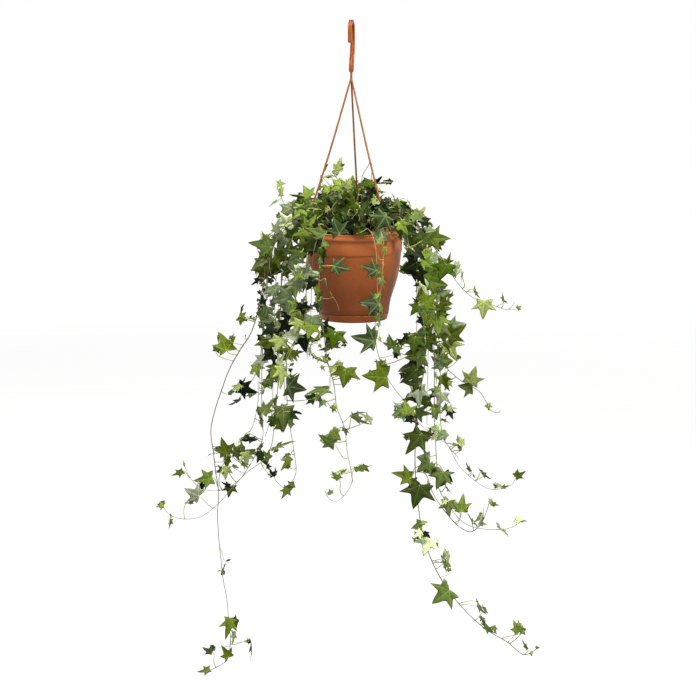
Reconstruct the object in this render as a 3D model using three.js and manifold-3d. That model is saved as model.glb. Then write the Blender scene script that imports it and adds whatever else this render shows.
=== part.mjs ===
// A trailing ivy in a round plastic hanging pot with a moulded three-arm hanger.
// Millimetres, +Z up. The origin is the point where the hook bears on what it
// hangs from. The pot hangs below it, a little to the right because the growth is
// heavier there, and the front of the plant faces -Y.

import * as THREE from 'three';
import { mergeVertices } from 'three/addons/utils/BufferGeometryUtils.js';
import Module from 'manifold-3d';

const wasm = await Module();
wasm.setup();

// ---- driving dimensions (mm) ------------------------------------------------

const RIM_Z = -301.5;            // top of the pot rim below the bearing point
const POT_X = 3.5;               // pot's axis to the right of the hook
const POT_H = 132.7;             // rim top to the underside of the saucer
const BASE_Z = RIM_Z - POT_H;
const FACETS = 32;               // facets round the pot, the saucer and the soil
const RIM_R = 75.6;              // outer radius of the rim band
const RIM_BAND = 9.2;            // height of the rim band
const WALL = 2.2;                // wall of the pot
const SAUCER_H = 10.8;           // height of the drip saucer
const GAP = 0.35;                // clearance between separate pieces
const SOIL_TOP = RIM_Z - 12;     // the soil stands 12 mm below the rim
const ROOT_DEPTH = 7;            // depth at which each stem goes into the soil
const DRAIN_R = 4;               // drain holes in the pot floor
const DRAIN_RING = 30;

const HOOK_IN_R = 8.9;           // inner radius of the hook
const HOOK_W = 7.0;              // width of the hook section at the shank
const HOOK_TIP_W = 4.9;          // width of the hook section at its free end
const HOOK_T = 5.2;              // thickness of the hook section
const HOOK_YAW = -11;            // turn of the hook round the vertical, degrees
const HOOK_FOOT = -70;           // lower end of the thick hook shank
const SPLIT_Z = -82;             // where the three arms part
const ARM_BOW = 0.482;           // share of its reach that an arm has at half its height
const ARM_R = 1.4;               // radius of an arm
const ARM_ANGLES = [-155, -52, 84];
const CLIP_W = 11;               // width of an end clip

// pot outline, from the rim down: [drop below the rim, outer radius]
const POT_OUTER = [
  [0, RIM_R - 0.6], [0.8, RIM_R], [RIM_BAND - 0.8, RIM_R], [RIM_BAND, RIM_R - 0.8], [RIM_BAND + 0.1, 72.9],
  [32.9, 71.5], [33.2, 70.9], [49.5, 69.4], [66, 66.7], [87, 60.6], [103, 55.4],
  [POT_H - SAUCER_H - GAP, 52.7],
];

// ---- helpers ----------------------------------------------------------------

const V = (x, y, z) => new THREE.Vector3(x, y, z);
const rad = (d) => (d * Math.PI) / 180;

function solid(geometry) {
  const g = geometry.clone();
  g.deleteAttribute('normal');
  g.deleteAttribute('uv');
  const m = mergeVertices(g, 1e-4);
  const mesh = new wasm.Mesh({
    numProp: 3,
    vertProperties: new Float32Array(m.attributes.position.array),
    triVerts: new Uint32Array(m.index.array),
  });
  return new wasm.Manifold(mesh);
}

function toGeometry(body) {
  const mesh = body.getMesh();
  const g = new THREE.BufferGeometry();
  const n = mesh.vertProperties.length / mesh.numProp;
  const p = new Float32Array(n * 3);
  for (let i = 0; i < n; i++) {
    for (let k = 0; k < 3; k++) p[3 * i + k] = mesh.vertProperties[i * mesh.numProp + k];
  }
  g.setAttribute('position', new THREE.BufferAttribute(p, 3));
  g.setIndex(Array.from(mesh.triVerts));
  g.computeVertexNormals();
  return g;
}

// joins solids pairwise, and keeps the one body that they make
function joined(list) {
  let work = list.slice();
  while (work.length > 1) {
    const next = [];
    for (let i = 0; i < work.length; i += 2) {
      next.push(i + 1 < work.length ? work[i].add(work[i + 1]) : work[i]);
    }
    work = next;
  }
  return work[0];
}

function lathe(points) {
  // points are [radius, z] and close on themselves or start and end on the axis
  const g = new THREE.LatheGeometry(points.map(([r, z]) => new THREE.Vector2(r, z)), FACETS);
  g.rotateX(Math.PI / 2);
  return g;
}

function ring(sides, r, turn = 0) {
  const s = new THREE.Shape();
  for (let i = 0; i < sides; i++) {
    const a = turn + (2 * Math.PI * i) / sides;
    if (i === 0) s.moveTo(r * Math.cos(a), r * Math.sin(a));
    else s.lineTo(r * Math.cos(a), r * Math.sin(a));
  }
  s.closePath();
  return s;
}

function block(x, y, z, cx, cy, cz) {
  const g = new THREE.BoxGeometry(x, y, z);
  g.translate(cx, cy, cz);
  return g;
}

// ---- pot, saucer and soil ---------------------------------------------------

function makePot() {
  const foot = BASE_Z + 1.6 + GAP;
  const outer = POT_OUTER.map(([h, r]) => [r, RIM_Z - h]);
  const profile = [
    ...outer,
    [50.5, BASE_Z + SAUCER_H + GAP],
    [48.1, foot + 0.6], [47.4, foot], [0, foot],
    [0, foot + WALL], [46.0, foot + WALL], [47.6, foot + WALL + 6],
    [50.6, RIM_Z - 117], [53.2, RIM_Z - 103], [64.5, RIM_Z - 66],
    [68.7, RIM_Z - 33], [70.5, RIM_Z - 10.4], [73.2, RIM_Z - 7.6], [73.4, RIM_Z],
    outer[0],
  ];
  // the profile runs from the axis, so it is opened there
  const cut = profile.findIndex(([r, z]) => r === 0 && z === foot);
  const open = [...profile.slice(cut + 1, -1), ...profile.slice(0, cut + 1)];
  let body = solid(lathe(open.reverse()));
  for (let i = 0; i < 5; i++) {
    const a = rad(18 + 72 * i);
    const hole = new THREE.CylinderGeometry(DRAIN_R, DRAIN_R, 10, 8);
    hole.rotateX(Math.PI / 2);
    hole.translate(DRAIN_RING * Math.cos(a), DRAIN_RING * Math.sin(a), foot + WALL / 2);
    body = body.subtract(solid(hole));
  }
  return body;
}

function makeSaucer() {
  const t = BASE_Z + SAUCER_H;
  return solid(lathe([
    [0, BASE_Z], [48.9, BASE_Z], [50.4, BASE_Z + 1.3], [52.7, t - 0.4], [52.4, t],
    [51.0, t], [48.8, BASE_Z + 2.0], [48.2, BASE_Z + 1.6], [0, BASE_Z + 1.6],
  ]));
}

function makeSoil(roots) {
  const foot = BASE_Z + 1.6 + GAP + WALL + GAP;
  let body = solid(lathe([
    [0, foot], [45.4, foot], [47.0, foot + 6], [52.7, RIM_Z - 103],
    [64.0, RIM_Z - 66], [68.2, RIM_Z - 33], [69.6, SOIL_TOP - 1.5], [68.6, SOIL_TOP], [0, SOIL_TOP],
  ]));
  for (const [x, y, r] of roots) {
    const h = ROOT_DEPTH + 0.4 + 2;
    const hole = new THREE.CylinderGeometry(r + 1.9, r + 1.9, h, 4);
    hole.rotateX(Math.PI / 2);
    hole.translate(x, y, SOIL_TOP - ROOT_DEPTH - 0.4 + h / 2);
    body = body.subtract(solid(hole));
  }
  return body;
}

// ---- hanger: one moulding of hook, shank, three arms and their end clips ----

function makeHanger() {
  const rc = HOOK_IN_R + HOOK_T / 2;
  const yaw = rad(HOOK_YAW);
  // s runs towards the free end of the hook, which is at the front
  const at = (s, z) => V(s * Math.sin(yaw), -s * Math.cos(yaw), z);
  const pts = [
    at(0, HOOK_FOOT), at(-0.8, HOOK_FOOT + 8), at(-4.2, HOOK_FOOT + 19), at(-8.6, HOOK_FOOT + 32),
    at(-rc, HOOK_FOOT + 45), at(-rc, -HOOK_IN_R - 4),
  ];
  for (let i = 0; i <= 10; i++) {
    const a = Math.PI - (Math.PI * i) / 10;
    pts.push(at(rc * Math.cos(a), -HOOK_IN_R + rc * Math.sin(a)));
  }
  pts.push(at(rc, -18), at(rc + 0.4, -28));
  const c = 1.2;
  const w = HOOK_W / 2;
  const t = HOOK_T / 2;
  // swept by hand, because the section must stay square to the hook's plane
  const section = [[-w, -t + c], [-w + c, -t], [w - c, -t], [w, -t + c], [w, t - c], [w - c, t], [-w + c, t], [-w, t - c]];
  const curve = new THREE.CatmullRomCurve3(pts);
  const steps = 24;
  const side = V(Math.cos(yaw), Math.sin(yaw), 0);
  const pos = [];
  const idx = [];
  const n = section.length;
  for (let i = 0; i <= steps; i++) {
    const p = curve.getPointAt(i / steps);
    const d = curve.getTangentAt(i / steps);
    const up = new THREE.Vector3().crossVectors(side, d).normalize();
    const k = i === 0 || i === steps ? 0.8 : 1;
    const wide = k * (1 + ((HOOK_TIP_W / HOOK_W - 1) * i) / steps);
    for (const [a, b] of section) {
      const q = p.clone().addScaledVector(side, a * wide).addScaledVector(up, b * k);
      pos.push(q.x, q.y, q.z);
    }
  }
  for (let i = 0; i < steps; i++) {
    for (let j = 0; j < n; j++) {
      const a = i * n + j;
      const b = i * n + ((j + 1) % n);
      idx.push(a, b, a + n, b, b + n, a + n);
    }
  }
  for (let j = 1; j < n - 1; j++) {
    idx.push(0, j + 1, j);
    idx.push(steps * n, steps * n + j, steps * n + j + 1);
  }
  const hook = new THREE.BufferGeometry();
  hook.setAttribute('position', new THREE.BufferAttribute(new Float32Array(pos), 3));
  hook.setIndex(idx);
  let hookBody = solid(hook);
  if (hookBody.volume() < 0) {
    for (let i = 0; i < idx.length; i += 3) [idx[i + 1], idx[i + 2]] = [idx[i + 2], idx[i + 1]];
    hook.setIndex(idx);
    hookBody = solid(hook);
  }
  const parts = [hookBody];
  // thin rod under the hook
  const rod = new THREE.CylinderGeometry(1.75, 1.75, Math.abs(SPLIT_Z - HOOK_FOOT) + 4, 8);
  rod.rotateX(Math.PI / 2);
  rod.translate(0, 0, (SPLIT_Z + HOOK_FOOT) / 2 - 0.5);
  parts.push(solid(rod));
  const boss = new THREE.SphereGeometry(2.6, 8, 6);
  boss.translate(0, 0, SPLIT_Z - 1);
  parts.push(solid(boss));
  for (const deg of ARM_ANGLES) {
    const a = rad(deg);
    const out = (r, z) => V(r * Math.cos(a), r * Math.sin(a), z);
    // from under the hook each arm runs almost straight to its place on the rim
    const foot = out(78.2, RIM_Z + 7).add(V(POT_X, 0, 0));
    const knee = V(foot.x * ARM_BOW, foot.y * ARM_BOW, SPLIT_Z + (RIM_Z + 7 - SPLIT_Z) / 2);
    const path = new THREE.CatmullRomCurve3([V(0, 0, SPLIT_Z), knee, foot]);
    const arm = new THREE.ExtrudeGeometry(ring(6, ARM_R), { steps: 2, bevelEnabled: false, extrudePath: path });
    parts.push(solid(arm));
    // the clip grips the rim band from outside, over the top and inside
    const clip = [
      block(2.3, CLIP_W, 13.9, 77.15, 0, RIM_Z - 4.45),                                    // outer plate
      block(4.8, CLIP_W, 1.4, 75.9, 0, RIM_Z - RIM_BAND - GAP - 0.9),                      // barb under the band
      block(7.9, CLIP_W, 2.2, 74.35, 0, RIM_Z + GAP + 1.05),                               // bridge over the rim
      block(1.8, CLIP_W, 6.6, 71.3, 0, RIM_Z - 1.1),                                       // inner tongue
      block(4.6, 4.6, 7.6, 77.4, 0, RIM_Z + 4.4),                                          // root of the arm
    ];
    for (const b of clip) {
      b.rotateZ(a);
      b.translate(POT_X, 0, 0);
      parts.push(solid(b));
    }
  }
  return joined(parts);
}

// ---- ivy --------------------------------------------------------------------

// Leaf outlines for a leaf of unit length: the stalk joins at the origin, the
// middle lobe points along +Y. Tip, bay, side lobe, bay, lower lobe, base.
const LEAF = [
  { c: [0, 0.22], p: [[0, 1], [0.21, 0.41], [0.64, 0.46], [0.34, 0.13], [0.44, -0.12], [0, -0.03]] },
  { c: [0, 0.22], p: [[0, 1], [0.17, 0.4], [0.5, 0.5], [0.25, 0.15], [0.35, 0], [0, -0.02]] },
  { c: [0, 0.25], p: [[0, 1], [0.2, 0.5], [0.42, 0.5], [0.25, 0.2], [0.26, 0.02], [0, 0]] },
  // inside the crown and behind the pot, where only parts of a leaf show
  { c: [0, 0.26], p: [[0, 1], [0.52, 0.46], [0.38, -0.06], [0, 0]] },
];
const MID_LEAF = 27;             // shorter leaves lose their lower bays
const SMALL_LEAF = 14;           // and then their upper ones
const TINY_LEAF = 8.5;           // buds are plain blades
const LEAF_HALF = 0.8;           // half thickness at the middle of a blade
const STALK_R = 0.62;            // radius of a leaf stalk
const MERGE = 0.2;               // corners nearer than this become one where stalks join stems

// A blade is a two-sided pyramid over the leaf's outline. Its foot opens into a
// three-sided stalk that ends inside the stem. The corners are listed by hand, so
// that blade and stalk are one closed surface.
function leaf(row, lines) {
  const [ax, ay, az, bx, by, bz, tx, ty, tz, nx, ny, nz, width, type] = row;
  const B = V(bx, by, bz);
  const axis = V(tx, ty, tz).sub(B);
  const L = axis.length();
  axis.divideScalar(L);
  const n = V(nx, ny, nz);
  n.addScaledVector(axis, -n.dot(axis)).normalize();
  const s = new THREE.Vector3().crossVectors(axis, n);
  const { c, p } = LEAF[type];
  let right = p.slice(1, 5);
  let drop = [1, 3];                // the lobes, which hang a little
  let mid = c;
  if (L < TINY_LEAF) {
    right = [[0.42, 0.38]];
    drop = [0];
    mid = [0, 0.38];
  } else if (L < SMALL_LEAF || p.length < 6) {
    right = p.length < 6 ? p.slice(1, 3) : [p[2], p[4]];
    drop = [0, 1];
  } else if (L < MID_LEAF) {
    right = [p[1], p[2], p[4]];
    drop = [1, 2];
  }
  const h = Math.max(LEAF_HALF, 0.028 * L);
  const at = (x, y, z) => B.clone().addScaledVector(axis, y * L)
    .addScaledVector(s, x * width * L).addScaledVector(n, z);
  const low = (i) => (drop.includes(i) ? -0.07 * L : 0);
  const tip = at(0, 1, -0.07 * L);
  const rim = right.map(([x, y], i) => at(x, y, low(i)));
  const mirror = right.map(([x, y], i) => at(-x, y, low(i))).reverse();
  const from = nearest(lines, V(ax, ay, az));
  const d = B.clone().sub(from).normalize();
  const folded = d.dot(axis) < -0.35;
  // the stalk meets the blade in a mitre
  const m = folded ? axis.clone() : d.clone().add(axis).normalize();
  const e = s.clone().addScaledVector(m, -s.dot(m)).normalize();
  const f = new THREE.Vector3().crossVectors(e, m);
  if (f.dot(n) < 0) f.negate();
  const along = folded ? axis : d;
  const offset = (a, b) => {
    const o = e.clone().multiplyScalar(a).addScaledVector(f, b);
    const across = o.clone().addScaledVector(along, -o.dot(along)).length();
    return o.multiplyScalar(STALK_R / Math.max(0.4, across));
  };
  const ends = [offset(0.85, 0.5), offset(-0.85, 0.5), offset(0, -1)];
  const foot = ends.map((o) => B.clone().add(o));
  const far = ends.map((o) => (folded ? B.clone().addScaledVector(axis, -0.5).addScaledVector(o, 0.5)
    : from.clone().add(o).addScaledVector(d, -o.dot(d))));
  const top = at(0, mid[1], h);
  const under = at(0, mid[1], -h);
  const [R, Q, D, r, q, dn] = [0, 1, 2, 3, 4, 5];
  const pts = [...foot, ...far, top, under, tip, ...rim, ...mirror];
  const A = 6;
  const U = 7;
  const T = 8;
  const k = rim.length;
  const rightIds = rim.map((_, i) => T + 1 + i);
  const leftIds = mirror.map((_, i) => T + 1 + k + i);
  const above = [T, ...rightIds, R, Q, ...leftIds];
  const below = [T, ...rightIds, R, D, Q, ...leftIds];
  const id = [];
  above.forEach((v, i) => id.push(A, v, above[(i + 1) % above.length]));
  below.forEach((v, i) => id.push(U, below[(i + 1) % below.length], v));
  id.push(Q, R, r, Q, r, q, R, D, dn, R, dn, r, D, Q, q, D, q, dn, q, r, dn);
  const make = () => {
    const g = new THREE.BufferGeometry();
    g.setAttribute('position', new THREE.BufferAttribute(new Float32Array(pts.flatMap((v) => v.toArray())), 3));
    g.setIndex(id);
    return solid(g);
  };
  let body = make();
  if (body.volume() < 0) {
    for (let i = 0; i < id.length; i += 3) [id[i + 1], id[i + 2]] = [id[i + 2], id[i + 1]];
    body = make();
  }
  if (!folded) return [body];
  // a stalk that folds back over its blade is a bar of its own
  const path = new THREE.LineCurve3(from, at(0, 0.2, 0));
  return [body, solid(new THREE.ExtrudeGeometry(ring(3, STALK_R), { steps: 1, bevelEnabled: false, extrudePath: path }))];
}

// A smooth line whose division points are the points it is given.
class StemPath extends THREE.CatmullRomCurve3 {
  getPointAt(u, target) { return this.getPoint(u, target); }
  getTangentAt(u, target) { return this.getTangent(u, target); }
}

// A stem is a four-sided tube through its points, thinner towards its tip.
function stem(row, lines) {
  const [r0, r1] = row;
  const pts = [];
  for (let i = 2; i < row.length; i += 3) pts.push(V(row[i], row[i + 1], row[i + 2]));
  // a side shoot starts inside the stem that it grew from
  if (lines.length) pts[0] = nearest(lines, pts[0]);
  const steps = pts.length - 1;
  const path = new StemPath(pts, false, 'centripetal');
  const g = new THREE.ExtrudeGeometry(ring(4, 1), { steps, bevelEnabled: false, extrudePath: path });
  const a = g.attributes.position;
  const q = V(0, 0, 0);
  for (let i = 0; i < a.count; i++) {
    q.fromBufferAttribute(a, i);
    let k = 0;
    for (let j = 1; j <= steps; j++) {
      if (pts[j].distanceToSquared(q) < pts[k].distanceToSquared(q)) k = j;
    }
    q.sub(pts[k]).multiplyScalar(r0 + ((r1 - r0) * k) / steps).add(pts[k]);
    a.setXYZ(i, q.x, q.y, q.z);
  }
  lines.push(pts);
  return solid(g);
}

function nearest(lines, q) {
  let best = null;
  let d = Infinity;
  const l = new THREE.Line3();
  const out = V(0, 0, 0);
  for (const line of lines) {
    for (let i = 0; i + 1 < line.length; i++) {
      l.set(line[i], line[i + 1]);
      l.closestPointToPoint(q, true, out);
      const e = out.distanceToSquared(q);
      if (e < d) { d = e; best = out.clone(); }
    }
  }
  return best;
}

function makeVine({ stems, leaves }) {
  const lines = [];
  const parts = stems.map((row) => stem(row, lines));
  for (const row of leaves) parts.push(...leaf(row, lines));
  return joined(parts).asOriginal().simplify(MERGE);
}

// ---- ivy tables ----------------------------------------------------------------

// stems: [radius at the soil, radius at the tip, x, y, z, x, y, z, ...]
// leaves: [where the stalk leaves the stem, foot of the blade, tip of the blade,
//          normal of the upper side, width factor, outline, tone]
const VINES = {
  ivy_vine_left_long: {
    stems: [
      [1.5, 0.9, -48, -30, -320.5, -50.2, -30.8, -302.7, -71.1, -38, -286.1, -92.8, -46, -289.7, -114.5,
       -50.5, -316, -126.6, -52.1, -348.8, -133.4, -52, -381.5, -140, -52, -414.1, -150.4, -52.1, -447.1,
       -167.3, -50, -473.9, -184.2, -46, -504.5, -194.8, -42.7, -533.1, -206, -37.3, -565.9, -213.4, -31.3,
       -600.2, -210.2, -26.7, -634.3, -207.7, -22.7, -664.9, -203.8, -18, -697.2, -205.9, -18, -729.3,
       -204.9, -18, -764, -202, -18, -798.5, -198.8, -18, -833.4, -193.2, -18, -867.1, -191.3, -18.2,
       -898.9, -188.7, -20, -933, -195.3, -20, -963, -220.5, -20, -979.2],
    ],
    leaves: [
      [-117.5, -50.9, -324.1, -120.2, -58.2, -320.6, -153.4, -61.8, -312.9, 0.21, -0.85, 0.49, 1, 0, 0],
      [-189.5, -20, -936.8, -156.4, -25.7, -929, -157, -36.8, -962.8, 1, -0.02, -0.01, 1, 1, 0],
      [-191.3, -18.2, -898.9, -187.8, -24.5, -894.4, -194.4, -39.6, -923.6, 0.34, -0.86, 0.37, 0.85, 1, 1],
      [-171.5, -49, -481.5, -186.8, -55.7, -472.9, -199, -49.6, -445.7, 0.39, -0.85, 0.36, 1, 0, 1],
      [-190, -19.1, -916.1, -184.1, -25, -914.9, -184.7, -32.3, -935.6, 0.86, -0.48, 0.15, 0.85, 1, 2],
      [-193.8, -20, -956.1, -191.5, -25, -955.7, -201.9, -26.8, -935.8, 0.52, -0.83, 0.19, 0.85, 0, 1],
      [-220.5, -20, -979.2, -221.6, -24.7, -974.3, -240.5, -30.1, -978.7, 0.34, -0.85, -0.41, 0.85, 0, 3],
      [-210.7, -20, -972.9, -216.6, -25.9, -947, -231.7, -27.6, -939.6, -0.13, -0.88, -0.46, 1.15, 0, 1],
      [-143.9, -52, -426.5, -164, -59.2, -415.9, -160, -63.1, -402.8, -0.88, -0.45, 0.14, 0.85, 2, 0],
      [-143.9, -52, -426.5, -163.4, -58.5, -424.1, -165, -65.1, -435.7, 0.92, -0.38, 0.08, 1, 1, 1],
      [-203.1, -18, -785.5, -192.8, -24.4, -803.4, -184.6, -22.3, -800.6, -0.24, -0.29, 0.92, 1, 2, 0],
      [-210.2, -26.7, -634.3, -213.4, -33.9, -634.6, -219.4, -34.2, -638.4, -0.52, -0.19, 0.83, 0.85, 2, 1],
      [-143.9, -52, -426.5, -151.9, -55.2, -425.4, -148.3, -53.6, -420.5, -0.53, -0.62, 0.58, 1, 2, 0],
      [-156.7, -51.3, -457.1, -158.5, -59.1, -453, -157.8, -57.7, -448.4, -0.82, -0.51, 0.28, 0.85, 2, 0],
      [-200, -18, -820.3, -202.1, -25.1, -818.2, -207.4, -25.4, -819.6, -0.25, -0.26, 0.93, 0.85, 2, 0],
    ],
  },
  ivy_vine_left_02: {
    stems: [
      [1.4, 0.7, -40, -18, -320.5, -40, -18, -306.5, -58.5, -21.6, -284, -73.9, -25, -276.7, -93.3, -30,
       -284, -111.2, -31.8, -307.4, -121.2, -32.2, -335.6, -127.5, -32, -369.6, -130.8, -32, -398.1,
       -133.1, -32, -425.8, -135.4, -32, -460.7, -136.3, -32, -496.4, -136.6, -32, -529, -137.3, -32,
       -564.3, -135.3, -31.9, -596.4, -137.5, -32.4, -616.9, -153.8, -35.4, -648.6, -173.3, -37.4, -675.3,
       -201.8, -38, -689.8, -229.2, -38, -686, -246.5, -38, -667.5, -255.1, -38, -643.6],
    ],
    leaves: [
      [-145.4, -33.8, -632.2, -147.2, -38.7, -629.7, -177.1, -40.3, -635.4, -0.16, -0.35, 0.92, 0.85, 1, 1],
      [-201.8, -38, -689.8, -212.7, -43.5, -668.4, -239.8, -47.5, -672.8, 0.14, -0.99, 0.04, 0.85, 0, 2],
      [-136.8, -32, -572.6, -135.5, -40.4, -570.6, -116.6, -34.6, -548.6, 0.51, -0.83, -0.23, 1, 1, 2],
      [-143.3, -33.5, -628.1, -140.5, -38.3, -629.8, -127.5, -47.8, -651.3, -0.7, -0.71, -0.11, 0.85, 0, 1],
      [-198.6, -37.9, -688.1, -188.6, -46.4, -630.2, -197.2, -45.6, -606, -0.07, -1, 0.01, 1, 0, 3],
      [-137.5, -32.4, -616.9, -147.7, -39.9, -608.8, -170.9, -39.9, -612.6, 0.14, -0.53, -0.84, 1.15, 0, 0],
      [-135.4, -32, -460.7, -125.8, -37.5, -459.5, -128.9, -39.9, -485.4, 0.04, -1, 0.09, 1.15, 0, 2],
      [-136.1, -32, -487.6, -131.9, -38.3, -488.7, -152.7, -40.5, -499.5, -0.23, -0.77, 0.6, 0.85, 0, 4],
      [-156.3, -35.7, -652, -161.3, -54, -626.9, -158.5, -55.3, -651, 0.65, -0.75, 0.12, 1.15, 1, 2],
      [-149.7, -34.6, -640.5, -163.8, -49.7, -628.6, -167.9, -43.3, -608.8, 0.82, -0.48, 0.33, 0.85, 1, 1],
      [-176.8, -37.5, -677.1, -190.3, -46.2, -650.9, -191.3, -49.9, -671.4, 0.45, -0.88, 0.13, 1, 1, 4],
      [-244.4, -38, -669.8, -256.2, -44.3, -658.2, -272.7, -45.7, -665.6, 0.3, -0.8, -0.52, 0.85, 0, 2],
      [-135.1, -32, -456.3, -119.1, -37.8, -455.7, -136, -38.2, -444.4, 0.27, -0.89, 0.37, 1.15, 1, 1],
      [-184.1, -37.6, -680.8, -182.6, -44.3, -681.3, -187.2, -55.6, -696.9, -0.23, -0.75, 0.61, 1, 0, 0],
      [-158.8, -35.9, -655.4, -187.4, -42.7, -636.4, -190.2, -47.6, -651.3, 0.69, -0.71, 0.1, 1.15, 1, 0],
      [-184.1, -37.6, -680.8, -184.2, -53, -678.3, -199.1, -51.5, -672.6, -0.31, -0.74, -0.6, 1.15, 1, 0],
      [-136.5, -32, -520.8, -126.3, -37.2, -520.5, -120.9, -45, -533.4, 0.37, -0.72, 0.59, 1.15, 0, 1],
      [-163.7, -36.4, -662.2, -180.9, -40.9, -649.5, -170.6, -40.4, -654.6, -0.24, -0.79, -0.57, 1.15, 2, 2],
      [-136.8, -32, -537.8, -133.2, -35.7, -536.7, -137.5, -39.6, -545, 0.89, -0.33, -0.31, 1.15, 2, 1],
      [-131.7, -32, -408.4, -139.5, -36.7, -405.9, -133.6, -37, -414.8, -0.47, -0.84, -0.28, 1.15, 1, 0],
      [-251.8, -38, -652.6, -253.3, -42.5, -651, -254.9, -40, -643.2, 0.84, -0.43, 0.31, 1, 2, 3],
      [-116.1, -32, -321.3, -125.4, -27.5, -318.7, -144.1, -25.1, -327.1, -0.39, -0.61, 0.69, 1, 3, 1],
    ],
  },
  ivy_vine_left_03: {
    stems: [
      [1.4, 0.8, -30, -36, -320.5, -30, -36, -306.5, -49.5, -44.4, -280.3, -63.8, -52, -273.6, -80.9,
       -63.6, -291.2, -93.7, -68, -320.9, -101.5, -68.3, -351.3, -106, -67.7, -386.8, -107.1, -67.2,
       -416.8, -108.2, -66.7, -444.3, -109.3, -66, -478.5, -110.4, -65.4, -509.5, -113.1, -64.1, -544.9,
       -117, -64, -580.1, -121.4, -63.2, -614.3, -131.6, -61.4, -635.6, -158, -58.8, -656.4, -181.1, -57.5,
       -681.4, -203, -56, -706.7, -230.1, -55, -726.3, -259.3, -54, -728.9, -276.2, -54, -721.7, -284.5,
       -54, -710.3],
    ],
    leaves: [
      [-124, -62.7, -619.8, -119.7, -69.5, -619.5, -85.8, -66.8, -605.8, -0.37, -0.09, 0.93, 0.85, 1, 1],
      [-114.6, -64.1, -558.1, -103.2, -67.4, -558.2, -102.3, -78.1, -592.1, 0.24, -0.92, 0.3, 1, 0, 0],
      [-106.1, -67.6, -390.7, -90.4, -72, -391.2, -120.3, -69.6, -400.4, -0.05, -0.99, -0.12, 1.15, 0, 1],
      [-209.9, -55.7, -711.7, -230.2, -61.9, -692.1, -251.7, -65.1, -679.8, 0.04, -0.98, -0.18, 1.15, 0, 4],
      [-107.5, -67, -427.1, -96.3, -73.5, -428.5, -111.5, -81.2, -444.2, 0.49, -0.87, -0.04, 1, 0, 0],
      [-109.8, -65.7, -494, -110, -70.3, -494.1, -123.1, -74.9, -513.4, -0.33, -0.84, 0.43, 1.15, 0, 2],
      [-109, -66.2, -470, -90.7, -73.2, -469.1, -103.3, -73, -487, 0.08, -0.99, -0.07, 1.15, 0, 2],
      [-115.1, -64, -562.5, -93.5, -71.9, -561.8, -75, -75.6, -564.4, 0.11, -0.17, 0.98, 1.15, 2, 0],
      [-270.3, -54, -724.2, -272.3, -59.5, -728, -275.3, -62.7, -744.1, 0.87, -0.49, -0.06, 0.85, 1, 2],
      [-116, -64, -571.3, -118.2, -79.3, -567.7, -115.9, -85.1, -582.2, -0.62, -0.76, 0.2, 1.15, 0, 0],
      [-284.5, -54, -710.3, -283.6, -62.3, -705.8, -293.2, -70, -706.8, 0.61, -0.78, 0.14, 0.85, 0, 3],
      [-272.3, -54, -723.3, -272.9, -60.8, -724.6, -272.1, -60.4, -717.8, -0.82, -0.56, 0.13, 1.15, 2, 2],
      [-104.9, -67.8, -378.1, -114.7, -66.8, -381.9, -133.3, -73.9, -385.8, 0.06, -0.6, 0.79, 1, 3, 1],
      [-107.9, -66.8, -437.2, -115.8, -70.5, -437.3, -136.4, -71, -449, -0.25, -0.84, 0.48, 1, 3, 0],
    ],
  },
  ivy_vine_left_04: {
    stems: [
      [1.3, 0.8, -38, 6, -320.5, -40.8, 5.6, -300.5, -62.6, 2.5, -272.8, -70.9, 1, -271.4, -87.8, -3.1,
       -295.3, -93.4, -5.5, -323.3, -96.1, -6.9, -349.9, -97.2, -7.8, -380.4, -98.3, -8.4, -410.5, -99.2,
       -8.8, -440.6, -99.9, -9.3, -471.1, -100.4, -9.8, -501.6, -100.5, -10.5, -534.7, -99.1, -11.3,
       -570.1, -94.7, -12.3, -603.5, -90, -13.6, -634.2, -87.2, -14, -669.4, -96.6, -14, -686.3, -103.7,
       -14, -692.8],
    ],
    leaves: [
      [-100.5, -10.5, -534.7, -98.1, -18.6, -533.9, -69.6, -21.3, -539.5, -0.05, -0.97, 0.23, 1.15, 0, 1],
      [-99.6, -9.1, -459.7, -75.3, -17.2, -457.6, -70.4, -22.7, -483.9, -0.19, -0.97, 0.17, 1.15, 0, 0],
      [-90, -13.6, -634.2, -95.9, -19.9, -642.5, -108.9, -31.1, -662.3, 0.63, -0.77, 0.02, 0.85, 1, 2],
      [-102, -14, -691.2, -99.7, -18, -691, -108.9, -19.6, -708.5, 0.44, -0.89, -0.15, 0.85, 0, 2],
      [-100.1, -9.5, -486.3, -89.7, -16.2, -485, -73.2, -16, -481.2, -0.2, -0.4, 0.89, 1, 0, 1],
      [-98.5, -8.5, -418, -68.2, -28.3, -415.3, -54.9, -24.8, -406.1, 0.58, -0.48, -0.66, 1, 0, 0],
      [-103.7, -14, -692.8, -119.3, -17.8, -670.1, -117.7, -16.9, -657.2, 0.84, -0.53, -0.07, 0.85, 0, 1],
      [-95.6, -14, -684.5, -95.8, -21.2, -684.8, -87.8, -23.2, -687.4, -0.02, -0.82, 0.57, 1.15, 2, 2],
      [-95.6, -14, -684.5, -98.1, -20.5, -681.1, -96.9, -20.2, -678.8, -0.58, -0.7, 0.41, 1, 2, 2],
      [-60.7, 2.8, -275.2, -64.1, 2.4, -267, -83.6, 4.4, -253.8, -0.02, -0.99, 0.12, 1, 3, 1],
      [-97.5, -8, -387.9, -106.3, -4.2, -397.1, -116.8, 1.6, -414.3, -0.81, -0.49, 0.33, 1, 3, 0],
    ],
  },
  ivy_vine_left_05: {
    stems: [
      [1.5, 0.9, -28, -46, -320.5, -28, -46, -306.5, -46.7, -62.6, -286.9, -55.3, -71.3, -290.4, -65.6,
       -82.4, -318.9, -68.5, -84.3, -350.8, -68.7, -84.1, -380.5, -71.1, -84, -413.4, -81.5, -84, -447.6,
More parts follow.
